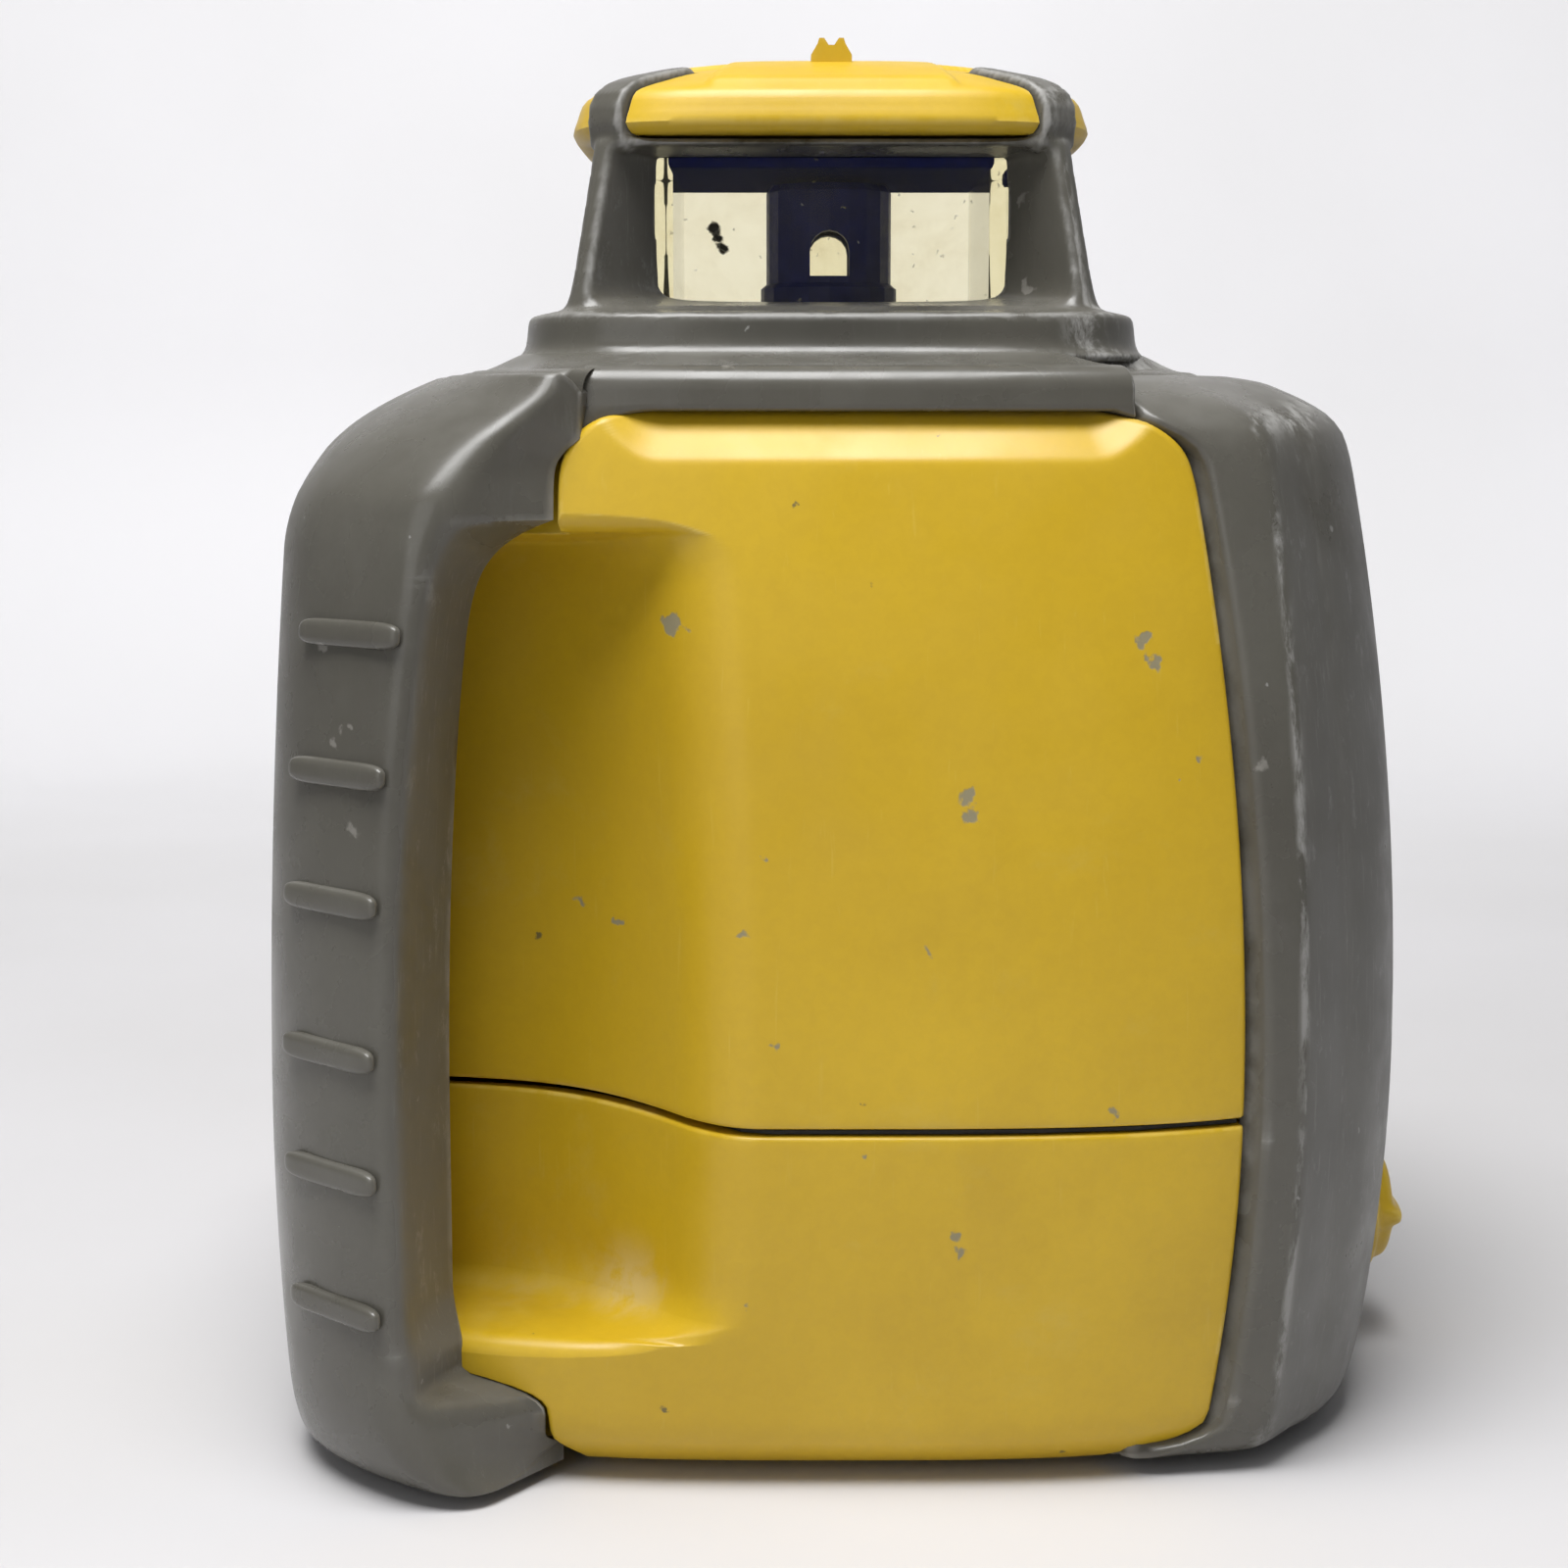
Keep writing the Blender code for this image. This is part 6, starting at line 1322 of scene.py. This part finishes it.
def make_ribs(finish, face, rows, bar_count):
    """Raised bars across the handle, each standing on the bar's outer face."""
    tree = Tree("grip_ribs", {"Length": RIB_LENGTH * MM, "Width": RIB_WIDTH * MM, "Height": RIB_HEIGHT * MM,
                              "Finish": finish}, with_mesh=True)
    ball = tree.add("GeometryNodeMeshUVSphere", Segments=48, Rings=24, Radius=1.0)
    place = tree.place()
    axes = []
    for k, (size, power, share) in enumerate(RIB_BULGE):
        side = tree.math("SIGN", place[k])
        bulge = tree.math("POWER", tree.math("ABSOLUTE", place[k]), power)
        reach = tree.math("MULTIPLY", size, share)
        axes.append(tree.math("MULTIPLY", tree.math("MULTIPLY", side, bulge), reach))
    spot = tree.add("ShaderNodeCombineXYZ", X=axes[0], Y=axes[1], Z=axes[2])
    bar = tree.add("GeometryNodeSetPosition", Geometry=ball, Position=spot)
    turn = tree.add("GeometryNodeInputNamedAttribute", {"data_type": "FLOAT_VECTOR"}, Name="turn")
    tree.close(tree.scatter(bar, Rotation=turn))
    spots = []
    turns = []
    for z in np.linspace(RIB_LOW_Z, RIB_HIGH_Z, RIB_COUNT):
        k = int(np.argmin(np.abs(rows - z)))
        first, middle, last = (bar_spot(face[k, :bar_count], share) for share in RIB_SHARES)
        above = bar_spot(face[k + 2, :bar_count], RIB_SHARES[1])
        along = Vector(last - first).normalized()
        up = Vector(above - middle).normalized()
        out = along.cross(up).normalized()
        if out.y > 0:
            out = -out
        up = out.cross(along)
        spots.append((middle[0], middle[1], middle[2]))
        turns.append(Matrix((along, up, out)).transposed().to_euler())
    points = new_piece("grip_ribs", spots, [], finish, tidy=False)
    data = points.data.attributes.new("turn", "FLOAT_VECTOR", "POINT")
    data.data.foreach_set("vector", np.asarray([tuple(t) for t in turns], float).ravel())
    ribs = tree.apply("grip_ribs", points)
    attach(ribs, "housing")


# Battery drawer's face and its latch

def make_door(finish):
    gap = DOOR_GAP / BODY_HALF_X
    angle = cosine(-DOOR_HALF_ANGLE + gap, DOOR_HALF_ANGLE - gap, 90)
    outer = []
    inner = []
    for z in cosine(DOOR_LOW_Z + DOOR_GAP, DOOR_HIGH_Z - DOOR_GAP, 60):
        y = body_radius(angle, z) * np.sin(angle)
        dish = DISH_DEPTH * (1 - smooth_step(DISH_RADIUS - 0.8, DISH_RADIUS + 0.4, np.hypot(y, z - KNOB_Z)))
        outer.append(body_points(angle, z, dish - COVER_PROUD))
        inner.append(body_points(angle, z, DOOR_THICK - COVER_PROUD))
    door = rolled_shell("door_face", np.asarray(outer), np.asarray(inner), finish, DOOR_LIP)
    settle(door, "drawer", "battery_door")


def knob_rule(x, y, z):
    """A stepped disc with a domed middle and a wing to turn it by."""
    up = x - KNOB_BACK
    across = z - KNOB_Z
    radius = np.hypot(y, across)
    disc = smooth_max(radius - KNOB_RADIUS, np.abs(up - KNOB_DISC / 2) - KNOB_DISC / 2, 0.9)
    dome = smooth_max(radius - DOME_RADIUS + 0.15 * up, up - DOME_TOP + 0.009 * radius ** 2, 1.6)
    wing = smooth_max(np.abs(across) - WING_WIDTH / 2 + 0.04 * up, np.abs(y) - WING_HALF + 0.04 * up, 0.8)
    wing = smooth_max(wing, up - WING_TOP + 0.006 * y ** 2, 0.9)
    solid = smooth_min(smooth_min(disc, dome, 0.8), np.maximum(wing, 1 - up), 1.1)
    return np.maximum(solid, -up)


def make_knob(finish):
    low = (KNOB_BACK - 1, -KNOB_RADIUS - 1, KNOB_Z - KNOB_RADIUS - 1)
    high = (KNOB_BACK + 11, KNOB_RADIUS + 1, KNOB_Z + KNOB_RADIUS + 1)
    knob = ruled_piece("latch_knob", knob_rule, low, high, KNOB_STEP, finish, 70)
    settle(knob, "latch", "battery_knob")


def make_cells(finish):
    """Round cells with a rolled jacket, a step at each end and a nub on the end that faces the door."""
    for number in (1, 2, 3, 4):
        node = "cell_%d" % number
        low, high = box_of(node)
        middle = (low + high) / 2
        radius = (high[1] - low[1]) / 2
        start, end = low[0], high[0]
        roll = [(CELL_ROLL * (1 - sin(t)), CELL_ROLL * (1 - cos(t))) for t in np.linspace(0, pi / 2, 7)]
        profile = [(0, start + 0.4), (radius - CELL_RIM, start + 0.4), (radius - CELL_RIM + 0.2, start)]
        profile += [(radius - side, start + rise) for side, rise in roll]
        profile += [(radius - rise, end - CELL_NECK - side) for side, rise in roll]
        profile += [(radius - 3, end - CELL_NECK), (radius - CELL_RIM, end - 1.7),
                    (CELL_NUB + 0.6, end - 1.6), (CELL_NUB, end - 0.8), (CELL_NUB - 0.5, end), (0, end)]
        loops = revolved(profile, 96, (middle[1], middle[2]), "X")
        faces = quads(len(loops), 96, wrap_cols=True)
        settle(new_piece("power_cell_%d" % number, loops, faces, finish, sharp=40), "drawer", node)


# Control panel on the far side

def panel_rule(x, y, z):
    """A curved plate with round corners: raised border, sunk face, and a well and a hole for each key."""
    out = y - face_y(x, z)
    wide = np.maximum(np.abs(x) - PANEL_HALF + PANEL_ROUND, 0)
    tall = np.maximum(np.abs(z - PANEL_Z) - PANEL_TALL / 2 + PANEL_ROUND, 0)
    edge = np.hypot(wide, tall) - PANEL_ROUND
    solid = smooth_max(edge, smooth_max(out - PANEL_THICK, FIT - out, 0.1), 1.3)
    solid = smooth_max(solid, -np.maximum(edge + PANEL_BORDER, PANEL_THICK - PANEL_SINK - out), 0.5)
    for _, place_x, place_z in KEYS:
        radius = np.hypot(x - place_x, z - place_z)
        well = np.maximum(radius - KEY_RADIUS - WELL_MARGIN, PANEL_THICK - WELL_DEPTH - out)
        solid = smooth_max(solid, -well, 0.5)
        solid = np.maximum(solid, KEY_RADIUS + KEY_CLEAR - radius)
    return np.maximum(solid, LAMP_RADIUS + LAMP_CLEAR - np.hypot(x, z - LAMP_Z))


def make_panel(finish):
    back = float(face_y(PANEL_HALF, PANEL_Z + PANEL_TALL / 2))
    low = (-PANEL_HALF - 2, back - 2, PANEL_Z - PANEL_TALL / 2 - 2)
    high = (PANEL_HALF + 2, BODY_HALF_Y + PANEL_THICK + 2, PANEL_Z + PANEL_TALL / 2 + 2)
    panel = ruled_piece("key_panel", panel_rule, low, high, PANEL_STEP, finish, 50)
    settle(panel, "housing", "control_panel")


def button(name, node, body, radius, finish, dome):
    """A turned key or lens with a domed top, in the place of its node."""
    low, high = box_of(node)
    middle = (low + high) / 2
    profile = [(0, low[1]), (radius - 0.2, low[1]), (radius, low[1] + 0.2)]
    for turn in np.linspace(0, pi / 2, 12):
        share = cos(turn)
        profile.append((radius * share ** 0.7, high[1] - dome * (1 - sin(turn) ** 1.4)))
    loops = revolved(profile, 72, (middle[0], middle[2]), "Y")
    piece = new_piece(name, loops, quads(len(loops), 72, wrap_cols=True), finish, sharp=50)
    settle(piece, body, node)
    return middle[0], high[1], middle[2]


def ring_sector(radius, width, start, end):
    turns = np.linspace(start, end, 40)
    outer = [((radius + width / 2) * cos(t), (radius + width / 2) * sin(t)) for t in turns]
    inner = [((radius - width / 2) * cos(t), (radius - width / 2) * sin(t)) for t in turns]
    return outer + inner[::-1]


def sign_outlines(kind):
    """Flat outlines of the sign on a key, in millimetres from its middle."""
    bar = [(-0.25, 0.5), (0.25, 0.5), (0.25, 2.3), (-0.25, 2.3)]
    if kind == "power":
        return [ring_sector(1.7, 0.5, pi / 2 + 0.6, 5 * pi / 2 - 0.6), bar]
    if kind == "speed":
        chevron = [(-1.6, -1.6), (-0.9, -1.6), (0.5, 0), (-0.9, 1.6), (-1.6, 1.6), (-0.2, 0)]
        return [[(shift - x, z) for x, z in chevron] for shift in (0, -1.4)]
    if kind == "mode":
        return [ring_sector(1.8, 0.45, 0.2, pi - 0.2), ring_sector(1.8, 0.45, pi + 0.2, 2 * pi - 0.2),
                ring_sector(0.35, 0.7, 0, 2 * pi - 0.01)]
    point = -1 if kind == "left" else 1
    return [[(-1.1 * point, -1.7), (1.7 * point, 0), (-1.1 * point, 1.7)]]


def make_keys(rubber, lens, print_finish):
    for kind, _, _ in KEYS:
        node = kind + "_arrow_button" if kind in ("left", "right") else kind + "_button"
        x, top, z = button(kind + "_key", node, kind + "_key", KEY_RADIUS, rubber, 0.9)
        solids = []
        for outline in sign_outlines(kind):
            solids.append(prism([[(x + u, top + rise, z + v) for u, v in outline] for rise in (-0.15, 0.12)]))
        sign = new_piece(kind + "_sign", *merged(solids), print_finish)
        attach(sign, kind + "_key")
    button("lamp_dome", "status_lamp", "housing", LAMP_RADIUS, lens, 1.6)


# Feet and base screws

def disc_node(tree, radius, height, square):
    """A rounded disc: a ball whose sides are pushed out, ready to be placed on points."""
    ball = tree.add("GeometryNodeMeshUVSphere", Segments=48, Rings=32, Radius=1.0)
    place = tree.place()
    around = tree.math("SQRT", tree.math("ADD", tree.math("POWER", place[0], 2.0),
                                         tree.math("POWER", place[1], 2.0)))
    push = tree.math("MULTIPLY", tree.math("POWER", tree.math("MAXIMUM", around, 1e-6), square - 1.0), radius)
    rise = tree.math("MULTIPLY", tree.math("SIGN", place[2]),
                     tree.math("POWER", tree.math("ABSOLUTE", place[2]), square))
    spot = tree.add("ShaderNodeCombineXYZ", X=tree.math("MULTIPLY", place[0], push),
                    Y=tree.math("MULTIPLY", place[1], push),
                    Z=tree.math("MULTIPLY", tree.math("MULTIPLY", rise, height), 0.5))
    return tree.add("GeometryNodeSetPosition", Geometry=ball, Position=spot)


def make_discs(name, spots, radius, height, square, finish):
    tree = Tree(name, {"Radius": radius * MM, "Height": height * MM, "Finish": finish}, with_mesh=True)
    tree.close(tree.scatter(disc_node(tree, "Radius", "Height", square)))
    return tree.apply(name, new_piece(name, spots, [], finish, tidy=False))


def make_underside(rubber, steel):
    feet = ("foot_near_left", "foot_near_right", "foot_far_left", "foot_far_right")
    spots = []
    for node in feet:
        low, high = box_of(node)
        spots.append((low + high) / 2)
    height = float(high[2] - low[2])
    settle(make_discs("rubber_feet", spots, (high[0] - low[0]) / 2, height, 0.3, rubber), "housing", *feet)
    low, high = box_of("base_plate")
    spots = [(x * SCREW_SPREAD, y * SCREW_SPREAD, low[2] + 0.2) for x in (low[0], 0, high[0])
             for y in (low[1], high[1])]
    screws = make_discs("base_screws", spots, SCREW_RADIUS, 1.6, 0.4, steel)
    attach(screws, "housing")


# Finishes

class Finish(Nodes):
    """A material built node by node on Object coordinates."""

    def __init__(self, name):
        self.material = bpy.data.materials.new(name)
        self.material.use_nodes = True
        self.tree = self.material.node_tree
        self.shader = self.tree.nodes["Principled BSDF"]
        self.coords = self.tree.nodes.new("ShaderNodeTexCoord").outputs["Object"]

    def noise(self, scale, detail=4.0, rough=0.5, warp=0.0, at=None):
        return self.add("ShaderNodeTexNoise", Vector=at or self.coords, Scale=scale, Detail=detail,
                        Roughness=rough, Distortion=warp)

    def vector(self, operation, a, b):
        return self.add("ShaderNodeVectorMath", {"operation": operation}, _0=a, _1=b)

    def ramp(self, value, low, high, start=0.0, end=1.0):
        node = self.add("ShaderNodeMapRange", {"interpolation_type": "SMOOTHSTEP"}, Value=value)
        for key, number in (("From Min", low), ("From Max", high), ("To Min", start), ("To Max", end)):
            node.inputs[key].default_value = number
        return node

    def mix(self, share, a, b):
        node = self.add("ShaderNodeMix", {"data_type": "RGBA"})
        self.feed(node.inputs["Factor"], share)
        for socket, value in ((node.inputs[6], a), (node.inputs[7], b)):
            self.feed(socket, (*value, 1) if isinstance(value, tuple) else value)
        return node.outputs[2]

    def set(self, **values):
        for key, value in values.items():
            self.feed(self.shader.inputs[key.replace("_", " ")], value)
        return self

    def bump(self, height, strength, distance):
        node = self.add("ShaderNodeBump", Height=height, Strength=strength, Distance=distance)
        self.tree.links.new(node.outputs[0], self.shader.inputs["Normal"])

    def face(self, axis):
        """How far the surface faces along an axis."""
        normal = self.add("ShaderNodeNewGeometry").outputs["Normal"]
        return self.add("ShaderNodeSeparateXYZ", Vector=normal).outputs[axis]

    def coords_axis(self, axis):
        return self.add("ShaderNodeSeparateXYZ", Vector=self.coords).outputs[axis]

    def worn_edge(self):
        return self.add("ShaderNodeAttribute", {"attribute_name": "edge"}).outputs["Fac"]

    def stretched(self, x, y, z):
        return self.add("ShaderNodeMapping", Vector=self.coords, Scale=(x, y, z)).outputs[0]

    def both(self, a, b, share=1.0):
        product = self.math("MULTIPLY", a, b)
        return self.math("MULTIPLY", product, share, clamp=True)

    def patches(self, scale, low, high, share, rough=0.65, at=None):
        """Soft irregular patches."""
        return self.ramp(self.noise(scale, 7.0, rough, 0.3, at), low, high, 0.0, share)

    def specks(self, scale, size, rare):
        """Dots strewn at random, with only the given share of them kept."""
        near = self.add("ShaderNodeTexVoronoi", Vector=self.stirred(900.0, 2.0), Scale=scale)
        chance = self.add("ShaderNodeSeparateColor", Color=near.outputs["Color"]).outputs[0]
        dot = self.ramp(near.outputs["Distance"], size, size * 0.6)
        return self.both(dot, self.math("LESS_THAN", chance, rare))

    def stirred(self, scale, reach):
        """The place on the object, moved about a little, so that marks have ragged outlines."""
        stir = self.add("ShaderNodeTexNoise", Vector=self.coords, Scale=scale, Detail=3.0).outputs["Color"]
        stir = self.vector("SUBTRACT", stir, (0.5, 0.5, 0.5))
        return self.vector("ADD", self.coords, self.vector("MULTIPLY", stir, (reach * MM,) * 3))

    def nicks(self, spots, ragged=5.0):
        """Ragged marks on the near side, at x, z and radius in millimetres from the rotor's axis."""
        flat = self.vector("MULTIPLY", self.stirred(420.0, ragged), (1, 0, 1))
        nearest = 1.0
        for x, z, radius in spots:
            centre = (ROTOR_AXIS[0] + x * MM, 0, ROTOR_AXIS[2] + z * MM)
            gap = self.vector("DISTANCE", flat, centre).outputs["Value"]
            nearest = self.math("MINIMUM", nearest, self.math("SUBTRACT", gap, radius * MM))
        return self.both(self.ramp(nearest, 0.3 * MM, -0.3 * MM), self.ramp(self.face(1), -0.1, -0.3))

    def near(self, spot, low, high):
        """Fades from full at a first distance from a place to none at a second."""
        centre = tuple(np.array(spot) * MM + ROTOR_AXIS)
        gap = self.vector("DISTANCE", self.coords, centre).outputs["Value"]
        return self.ramp(gap, high * MM, low * MM)

    def layers(self, base, *coats):
        """Colours laid over a base one after another, each with its own mask."""
        for mask, colour in coats:
            base = self.mix(mask, base, colour)
        return base


def yellow_finish():
    f = Finish("yellow_plastic")
    up = f.ramp(f.face(2), 0.5, 0.95)
    nick = f.nicks(YELLOW_NICKS)
    speck = f.specks(95.0, 0.07, 0.13)
    dust = f.both(f.near(LEDGE_CORNER, 5, 19), f.patches(130.0, 0.38, 0.58, 0.75))
    dust = f.math("MAXIMUM", dust, f.both(up, f.patches(38.0, 0.5, 0.75, 0.22)))
    smear = f.patches(26.0, 0.56, 0.74, 0.28, 0.72)
    scratch = f.patches(60.0, 0.62, 0.74, 0.14, 0.6, f.stretched(12.0, 12.0, 0.8))
    grime_and_shade = f.patches(17.0, 0.5, 0.72, 0.3, 0.6)
    wear = f.both(f.worn_edge(), f.patches(140.0, 0.35, 0.6, 0.5))
    tone = f.mix(f.ramp(f.noise(11.0, 5.0, 0.6), 0.35, 0.7), YELLOW_DEEP, YELLOW_PALE)
    tone = f.mix(f.patches(480.0, 0.35, 0.65, 0.16), tone, YELLOW_GRAIN)
    tone = f.layers(tone, (grime_and_shade, YELLOW_GRIME), (smear, YELLOW_SMEAR), (scratch, YELLOW_SCRATCH),
                    (wear, YELLOW_WEAR), (dust, YELLOW_DUST), (speck, YELLOW_SPECK), (nick, NICK_GREY))
    dull = f.math("ADD", f.math("MULTIPLY", f.math("ADD", smear, dust), 0.35), f.math("MULTIPLY", nick, 0.3))
    rough = f.math("ADD", f.ramp(f.noise(70.0, 6.0), 0.3, 0.7, 0.33, 0.45), dull)
    f.set(Base_Color=tone, Roughness=rough)
    f.bump(f.math("SUBTRACT", f.noise(1900.0, 2.0, 0.5), f.math("MULTIPLY", nick, 3.0)), 0.25, 0.00004)
    return f.material


def grey_finish():
    f = Finish("olive_grey_plastic")
    up = f.ramp(f.face(2), 0.45, 0.95)
    side = f.ramp(f.face(0), 0.45, 0.95)
    mark = f.nicks(GREY_NICKS)
    dust = f.both(up, f.patches(30.0, 0.36, 0.66, 0.25))
    film = f.both(side, f.patches(24.0, 0.3, 0.6, 0.55))
    crease = f.both(f.ramp(f.face(0), 0.28, 0.46), f.ramp(f.face(0), 0.78, 0.56))
    scuff = f.patches(60.0, 0.44, 0.6, 0.8, 0.75, f.stretched(3.5, 3.5, 1.0))
    scuff = f.both(crease, f.both(scuff, f.ramp(f.coords_axis(0), 0.0, 0.01)))
    chalk = f.both(side, f.patches(110.0, 0.56, 0.66, 0.5, 0.8, f.stretched(2.0, 2.0, 1.0)))
    # Painted shade: the grey darkens towards the middle of the head's recess, where shade falls
    grime_and_shade = f.near(HEAD_RECESS_SHADE, 18, 34)
    rub = f.patches(46.0, 0.5, 0.82, 0.26, 0.7)
    scratch = f.patches(75.0, 0.55, 0.72, 0.4, 0.7, f.stretched(16.0, 16.0, 1.0))
    scratch = f.both(scratch, f.math("ADD", side, 0.12))
    wear = f.both(f.worn_edge(), f.patches(120.0, 0.34, 0.62, 0.75))
    speck = f.specks(160.0, 0.08, 0.13)
    tone = f.mix(f.ramp(f.noise(16.0, 5.0, 0.6), 0.35, 0.7), GREY_DEEP, GREY_PALE)
    tone = f.mix(f.patches(900.0, 0.35, 0.7, 0.12), tone, GREY_GRAIN)
    # The first coat is the painted shade in the head's recess
    tone = f.layers(tone, (f.math("MULTIPLY", grime_and_shade, 0.5), GREY_RECESS_SHADE), (film, GREY_FILM), (rub, GREY_RUB),
                    (scratch, GREY_SCRATCH), (scuff, GREY_SCUFF), (chalk, GREY_CHALK), (wear, GREY_SCUFF),
                    (dust, GREY_DUST), (speck, GREY_SPECK), (mark, GREY_MARK))
    dull = f.math("MULTIPLY", f.math("ADD", f.math("ADD", film, scuff), wear), 0.4)
    f.set(Base_Color=tone, Roughness=f.math("ADD", f.ramp(f.noise(80.0, 6.0), 0.3, 0.7, 0.22, 0.34), dull))
    f.bump(f.noise(2200.0, 2.0, 0.5), 0.12, 0.00004)
    return f.material


def plain(name, colour, rough, metal=0.0, shine=0.5):
    f = Finish(name)
    scale = PLAIN_GRAIN
    tone = tuple(0.8 * c for c in colour)
    f.set(Base_Color=f.mix(f.ramp(f.noise(scale, 4.0), 0.35, 0.65), tone, colour), Metallic=metal)
    f.set(Roughness=f.ramp(f.noise(scale * 3, 4.0), 0.3, 0.7, rough - 0.05, rough + 0.07))
    f.set(Specular_IOR_Level=shine)
    f.bump(f.noise(scale * 5, 2.0), 0.15, 0.00003)
    return f.material


def glass_finish():
    f = Finish("window_glass")
    dirt = f.patches(75.0, 0.4, 0.75, 0.3, 0.75)
    speck = f.specks(420.0, 0.16, 0.16)
    fleck = f.both(f.nicks(GLASS_FLECKS, 3.0), f.ramp(f.coords_axis(1), 0.0, 0.01))
    dark = f.math("MAXIMUM", f.math("MULTIPLY", speck, 0.3), fleck, clamp=True)
    tone = f.layers(f.mix(dirt, GLASS_CLEAR, GLASS_DIRT), (dark, GLASS_DARK))
    f.set(Base_Color=tone, Roughness=0.02, IOR=1.3)
    haze = f.math("MAXIMUM", f.math("MULTIPLY", dirt, GLASS_HAZE), dark)
    f.set(Transmission_Weight=f.math("SUBTRACT", 1.0, haze))
    return f.material


YELLOW = yellow_finish()
GREY = grey_finish()
NAVY_MATT = plain("navy_matt", (0.013, 0.02, 0.15), 0.9, shine=0.02)
SLOTS = {"yellow_plastic": YELLOW, "olive_grey_plastic": GREY, "window_glass": glass_finish()}
for look in PLAIN_LOOKS:
    SLOTS[look[0]] = plain(*look)


def finish_nodes():
    for row in frame["record"]["subparts"]:
        slots = frame["nodes"][row["node"]].data.materials
        slots.clear()
        slots.append(SLOTS[row["material_slot"]])


# Stage

def make_stage():
    f = Finish("pale_floor")
    f.set(Base_Color=f.mix(f.ramp(f.noise(3.0, 3.0), 0.3, 0.7), FLOOR_DEEP, FLOOR_PALE), Roughness=0.6)
    ray = f.add("ShaderNodeLightPath").outputs
    seen = f.math("MAXIMUM", ray["Is Camera Ray"], ray["Is Transmission Ray"])
    far = f.ramp(f.coords_axis(1), 0.0, FLOOR_FAR + BACKDROP_BEND, 0.0, BACKDROP_GLOW)
    f.set(Emission_Color=(0.97, 0.97, 1, 1), Emission_Strength=f.math("MULTIPLY", seen, far))
    turn = np.linspace(0, pi / 2, 12)[1:]
    depth = np.concatenate([np.linspace(FLOOR_NEAR, FLOOR_FAR, 12), FLOOR_FAR + BACKDROP_BEND * np.sin(turn),
                            [FLOOR_FAR + BACKDROP_BEND]])
    height = np.concatenate([np.zeros(12), BACKDROP_BEND * (1 - np.cos(turn)), [BACKDROP_TOP]])
    points = []
    for y, z in zip(depth, height):
        points += [(-FLOOR_HALF, y, z), (FLOOR_HALF, y, z)]
    mesh = bpy.data.meshes.new("floor")
    mesh.from_pydata(points, [], quads(len(depth), 2))
    mesh.shade_smooth()
    mesh.materials.append(f.material)
    floor = bpy.data.objects.new("floor", mesh)
    bpy.context.collection.objects.link(floor)
    world = bpy.data.worlds.new("studio")
    bpy.context.scene.world = world
    world.use_nodes = True
    back = world.node_tree.nodes["Background"]
    back.inputs["Color"].default_value = (0.95, 0.97, 1, 1)
    back.inputs["Strength"].default_value = WORLD_LIGHT
    for name, at, aim, size, watts in LAMPS:
        light = bpy.data.lights.new(name, "AREA")
        light.energy = watts
        light.size = size
        lamp = bpy.data.objects.new(name, light)
        lamp.location = at
        lamp.rotation_euler = (Vector(aim) - Vector(at)).to_track_quat("-Z", "Y").to_euler()
        bpy.context.collection.objects.link(lamp)


def make_camera():
    data = bpy.data.cameras.new("camera")
    data.lens = CAMERA_LENS
    data.sensor_width = 36
    data.clip_start = 0.01
    camera = bpy.data.objects.new("camera", data)
    camera.location = np.array(CAMERA_AT) * MM + ROTOR_AXIS
    camera.rotation_euler = (CAMERA_PITCH, 0, 0)
    bpy.context.collection.objects.link(camera)
    bpy.context.scene.camera = camera
    bpy.context.scene.view_settings.view_transform = "Standard"


make_camera()
make_stage()
finish_nodes()
make_housings(YELLOW)
make_right_cover(GREY)
handle_face, handle_rows, bar_count = make_handle(GREY)
make_ribs(GREY, handle_face, handle_rows, bar_count)
make_shoulder(GREY, handle_face[-1])
make_guard(GREY)
make_roof(NAVY_MATT)
make_cap(YELLOW)
make_door(GREY)
make_knob(YELLOW)
make_cells(SLOTS["cell_jacket"])
make_panel(SLOTS["black_plastic"])
make_keys(SLOTS["black_rubber"], SLOTS["lamp_lens"], SLOTS["white_acetal"])
make_underside(SLOTS["black_rubber"], SLOTS["bright_steel"])
